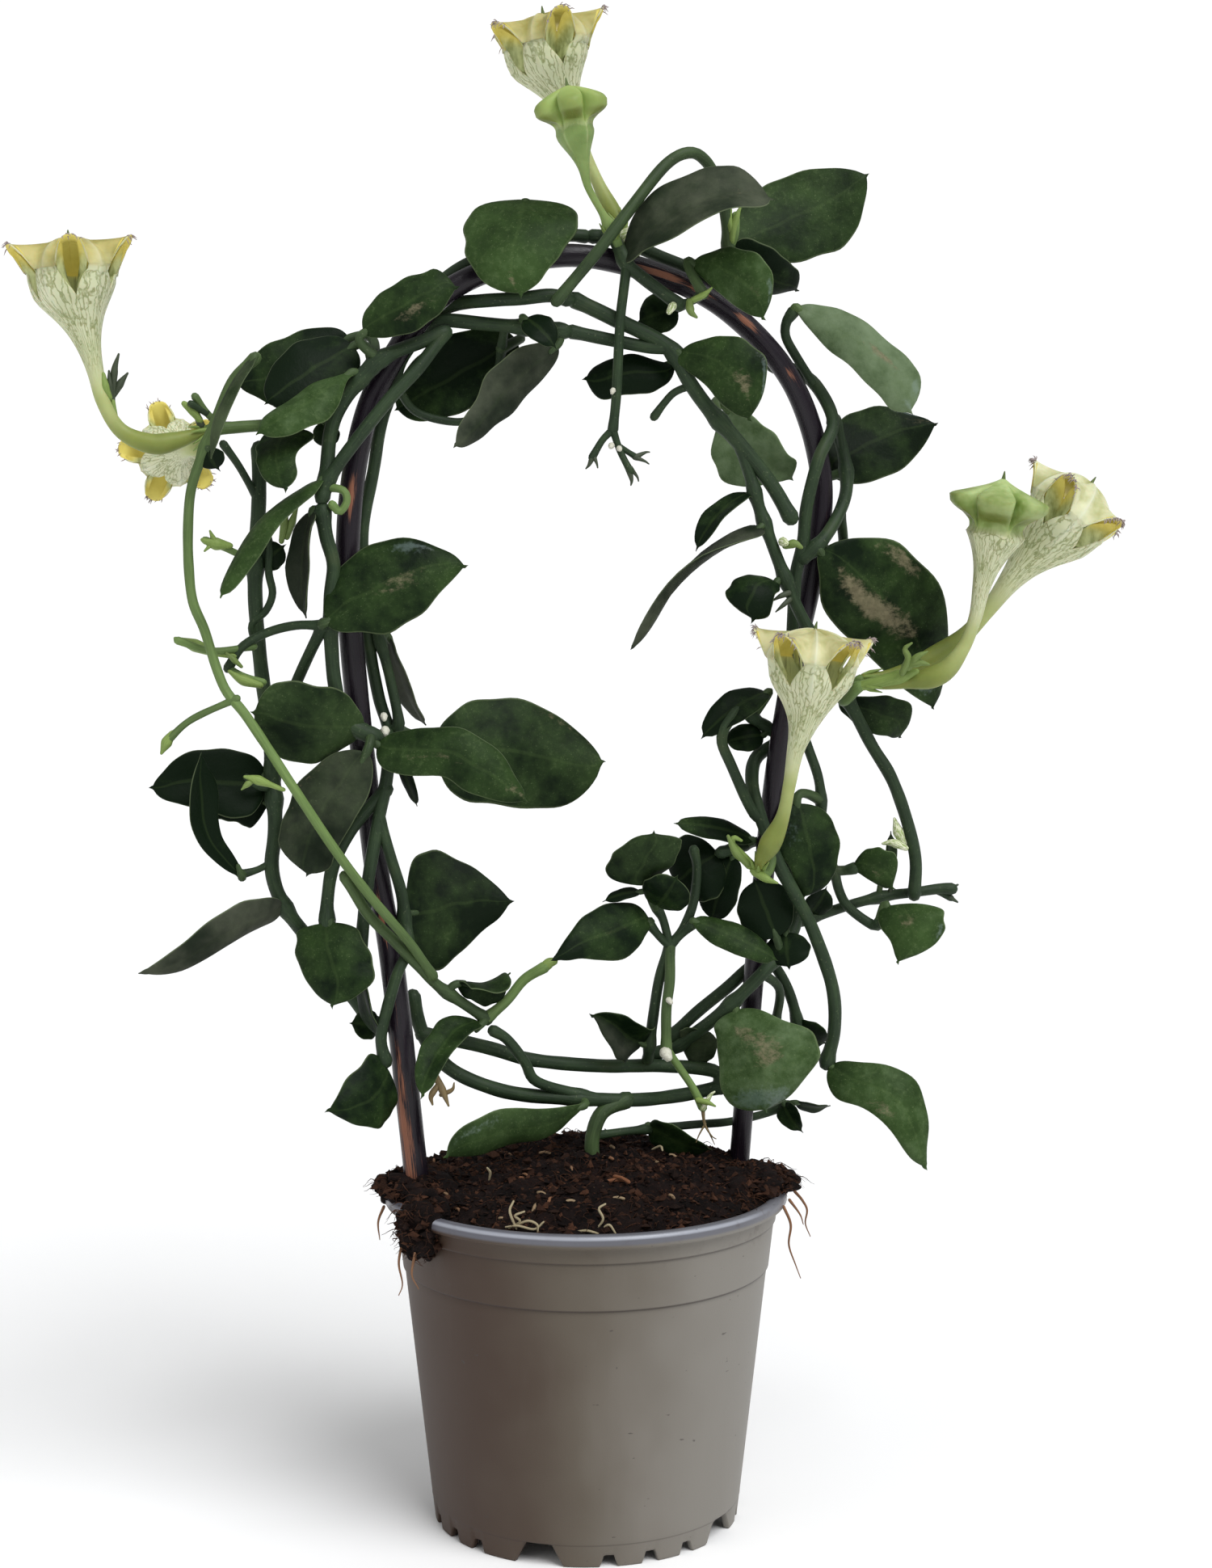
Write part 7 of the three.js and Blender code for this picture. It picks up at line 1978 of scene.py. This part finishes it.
    def make_folds(self):
        """The claws' margins turned inward: a strip along each side of a window, widest in its middle."""
        low, high = self.tube[-1], self.canopy[0]
        depth = self.row.get("fold", FOLD_DEPTH)
        folds = Piece(self.name + "_folds")
        inner = np.flatnonzero(self.q < 0.999).reshape(CORNERS, -1)
        for side in (1, -1):
            for window in inner:
                columns = window[::side][:5]
                edge = np.concatenate([high[columns[:4]][::-1], low[columns]])
                heading = np.concatenate([self.ring[columns[:4]][::-1], self.ring[columns]])
                inward = depth * np.sin(np.linspace(0.35, 2.9, len(edge)))[:, None]
                sway = np.cross(self.axis, heading) * (0.35 * side)
                reach = np.linspace(0, 1, FOLD_ROWS)[:, None, None]
                sheet = edge - heading * 0.25 + (sway - heading) * inward * reach
                sheet = sheet - self.axis * (0.5 * inward * reach**2)
                top = np.tile(np.linspace(1, 0, len(edge)), FOLD_ROWS)
                folds.add(sheet, grid_quads(FOLD_ROWS, len(edge), False)[:, ::side], look=first_only(top))
        wall = folds.make("flower", FOLD).modifiers.new("wall", "SOLIDIFY")
        wall.thickness = FOLD_WALL * MM


make_pot()
make_peat()
make_crumbs()
make_fibres()
make_roots()
make_cane()
for node_name, strands in STRANDS.items():
    make_foliage(node_name, strands, LEAVES[node_name])
make_buds()
for flower_name, row in FLOWERS.items():
    Bloom(flower_name, row).make()


# Floor, light and camera


def link(name, data):
    """An object in the scene that holds the data."""
    thing = bpy.data.objects.new(name, data)
    bpy.context.collection.objects.link(thing)
    return thing


def make_floor():
    """A pale square to stand on."""
    mesh = bpy.data.meshes.new("floor")
    corners = [(x * FLOOR_REACH, y * FLOOR_REACH, 0) for x, y in ((-1, -1), (1, -1), (1, 1), (-1, 1))]
    mesh.from_pydata(corners, [], [(0, 1, 2, 3)])
    floor = link("floor", mesh)
    m = Shade("floor_pale")
    shade = m.mix(m.noise(m.place(), 3, 2), (0.95, 0.95, 0.95, 1), (0.98, 0.98, 0.98, 1))
    mesh.materials.append(m.finish(shade, 0.8, Specular_IOR_Level=0.1))


def make_sun(name, way, strength, spread, colour):
    """A far light that shines along the direction given, spread over an angle in degrees."""
    light = bpy.data.lights.new(name, "SUN")
    light.energy = strength
    light.angle = np.radians(spread)
    light.color = colour
    lamp = link(name, light)
    lamp.rotation_mode = "QUATERNION"
    lamp.rotation_quaternion = Vector(unit(np.array(way, float))).to_track_quat("-Z", "Y")


def make_world():
    """Even light from all round, and a white backdrop that only the camera sees."""
    world = bpy.data.worlds.new("studio")
    bpy.context.scene.world = world
    world.use_nodes = True
    tree = world.node_tree
    around = tree.nodes["Background"]
    around.inputs["Color"].default_value = (0.98, 0.99, 1.0, 1)
    around.inputs["Strength"].default_value = ROOM_STRENGTH
    backdrop = tree.nodes.new("ShaderNodeBackground")
    backdrop.inputs["Color"].default_value = (1, 1, 1, 1)
    backdrop.inputs["Strength"].default_value = BACKDROP_STRENGTH
    kind = tree.nodes.new("ShaderNodeLightPath")
    either = tree.nodes.new("ShaderNodeMixShader")
    tree.links.new(kind.outputs["Is Camera Ray"], either.inputs[0])
    tree.links.new(around.outputs[0], either.inputs[1])
    tree.links.new(backdrop.outputs[0], either.inputs[2])
    tree.links.new(either.outputs[0], tree.nodes["World Output"].inputs["Surface"])


def make_camera():
    """The photograph's view: from the front, a little above the plant's middle, pitched slightly down."""
    data = bpy.data.cameras.new("camera")
    data.lens = LENS_LENGTH
    data.sensor_width = SENSOR_LONG_SIDE
    data.clip_start, data.clip_end = CAMERA_CLIP
    camera = link("camera", data)
    camera.location = np.array(CAMERA_PLACE) * MM
    camera.rotation_euler = (np.radians(90 - CAMERA_PITCH), 0, 0)
    bpy.context.scene.camera = camera


make_floor()
for lamp in LAMPS:
    make_sun(*lamp)
make_world()
bpy.context.scene.view_settings.view_transform = "Standard"
make_camera()
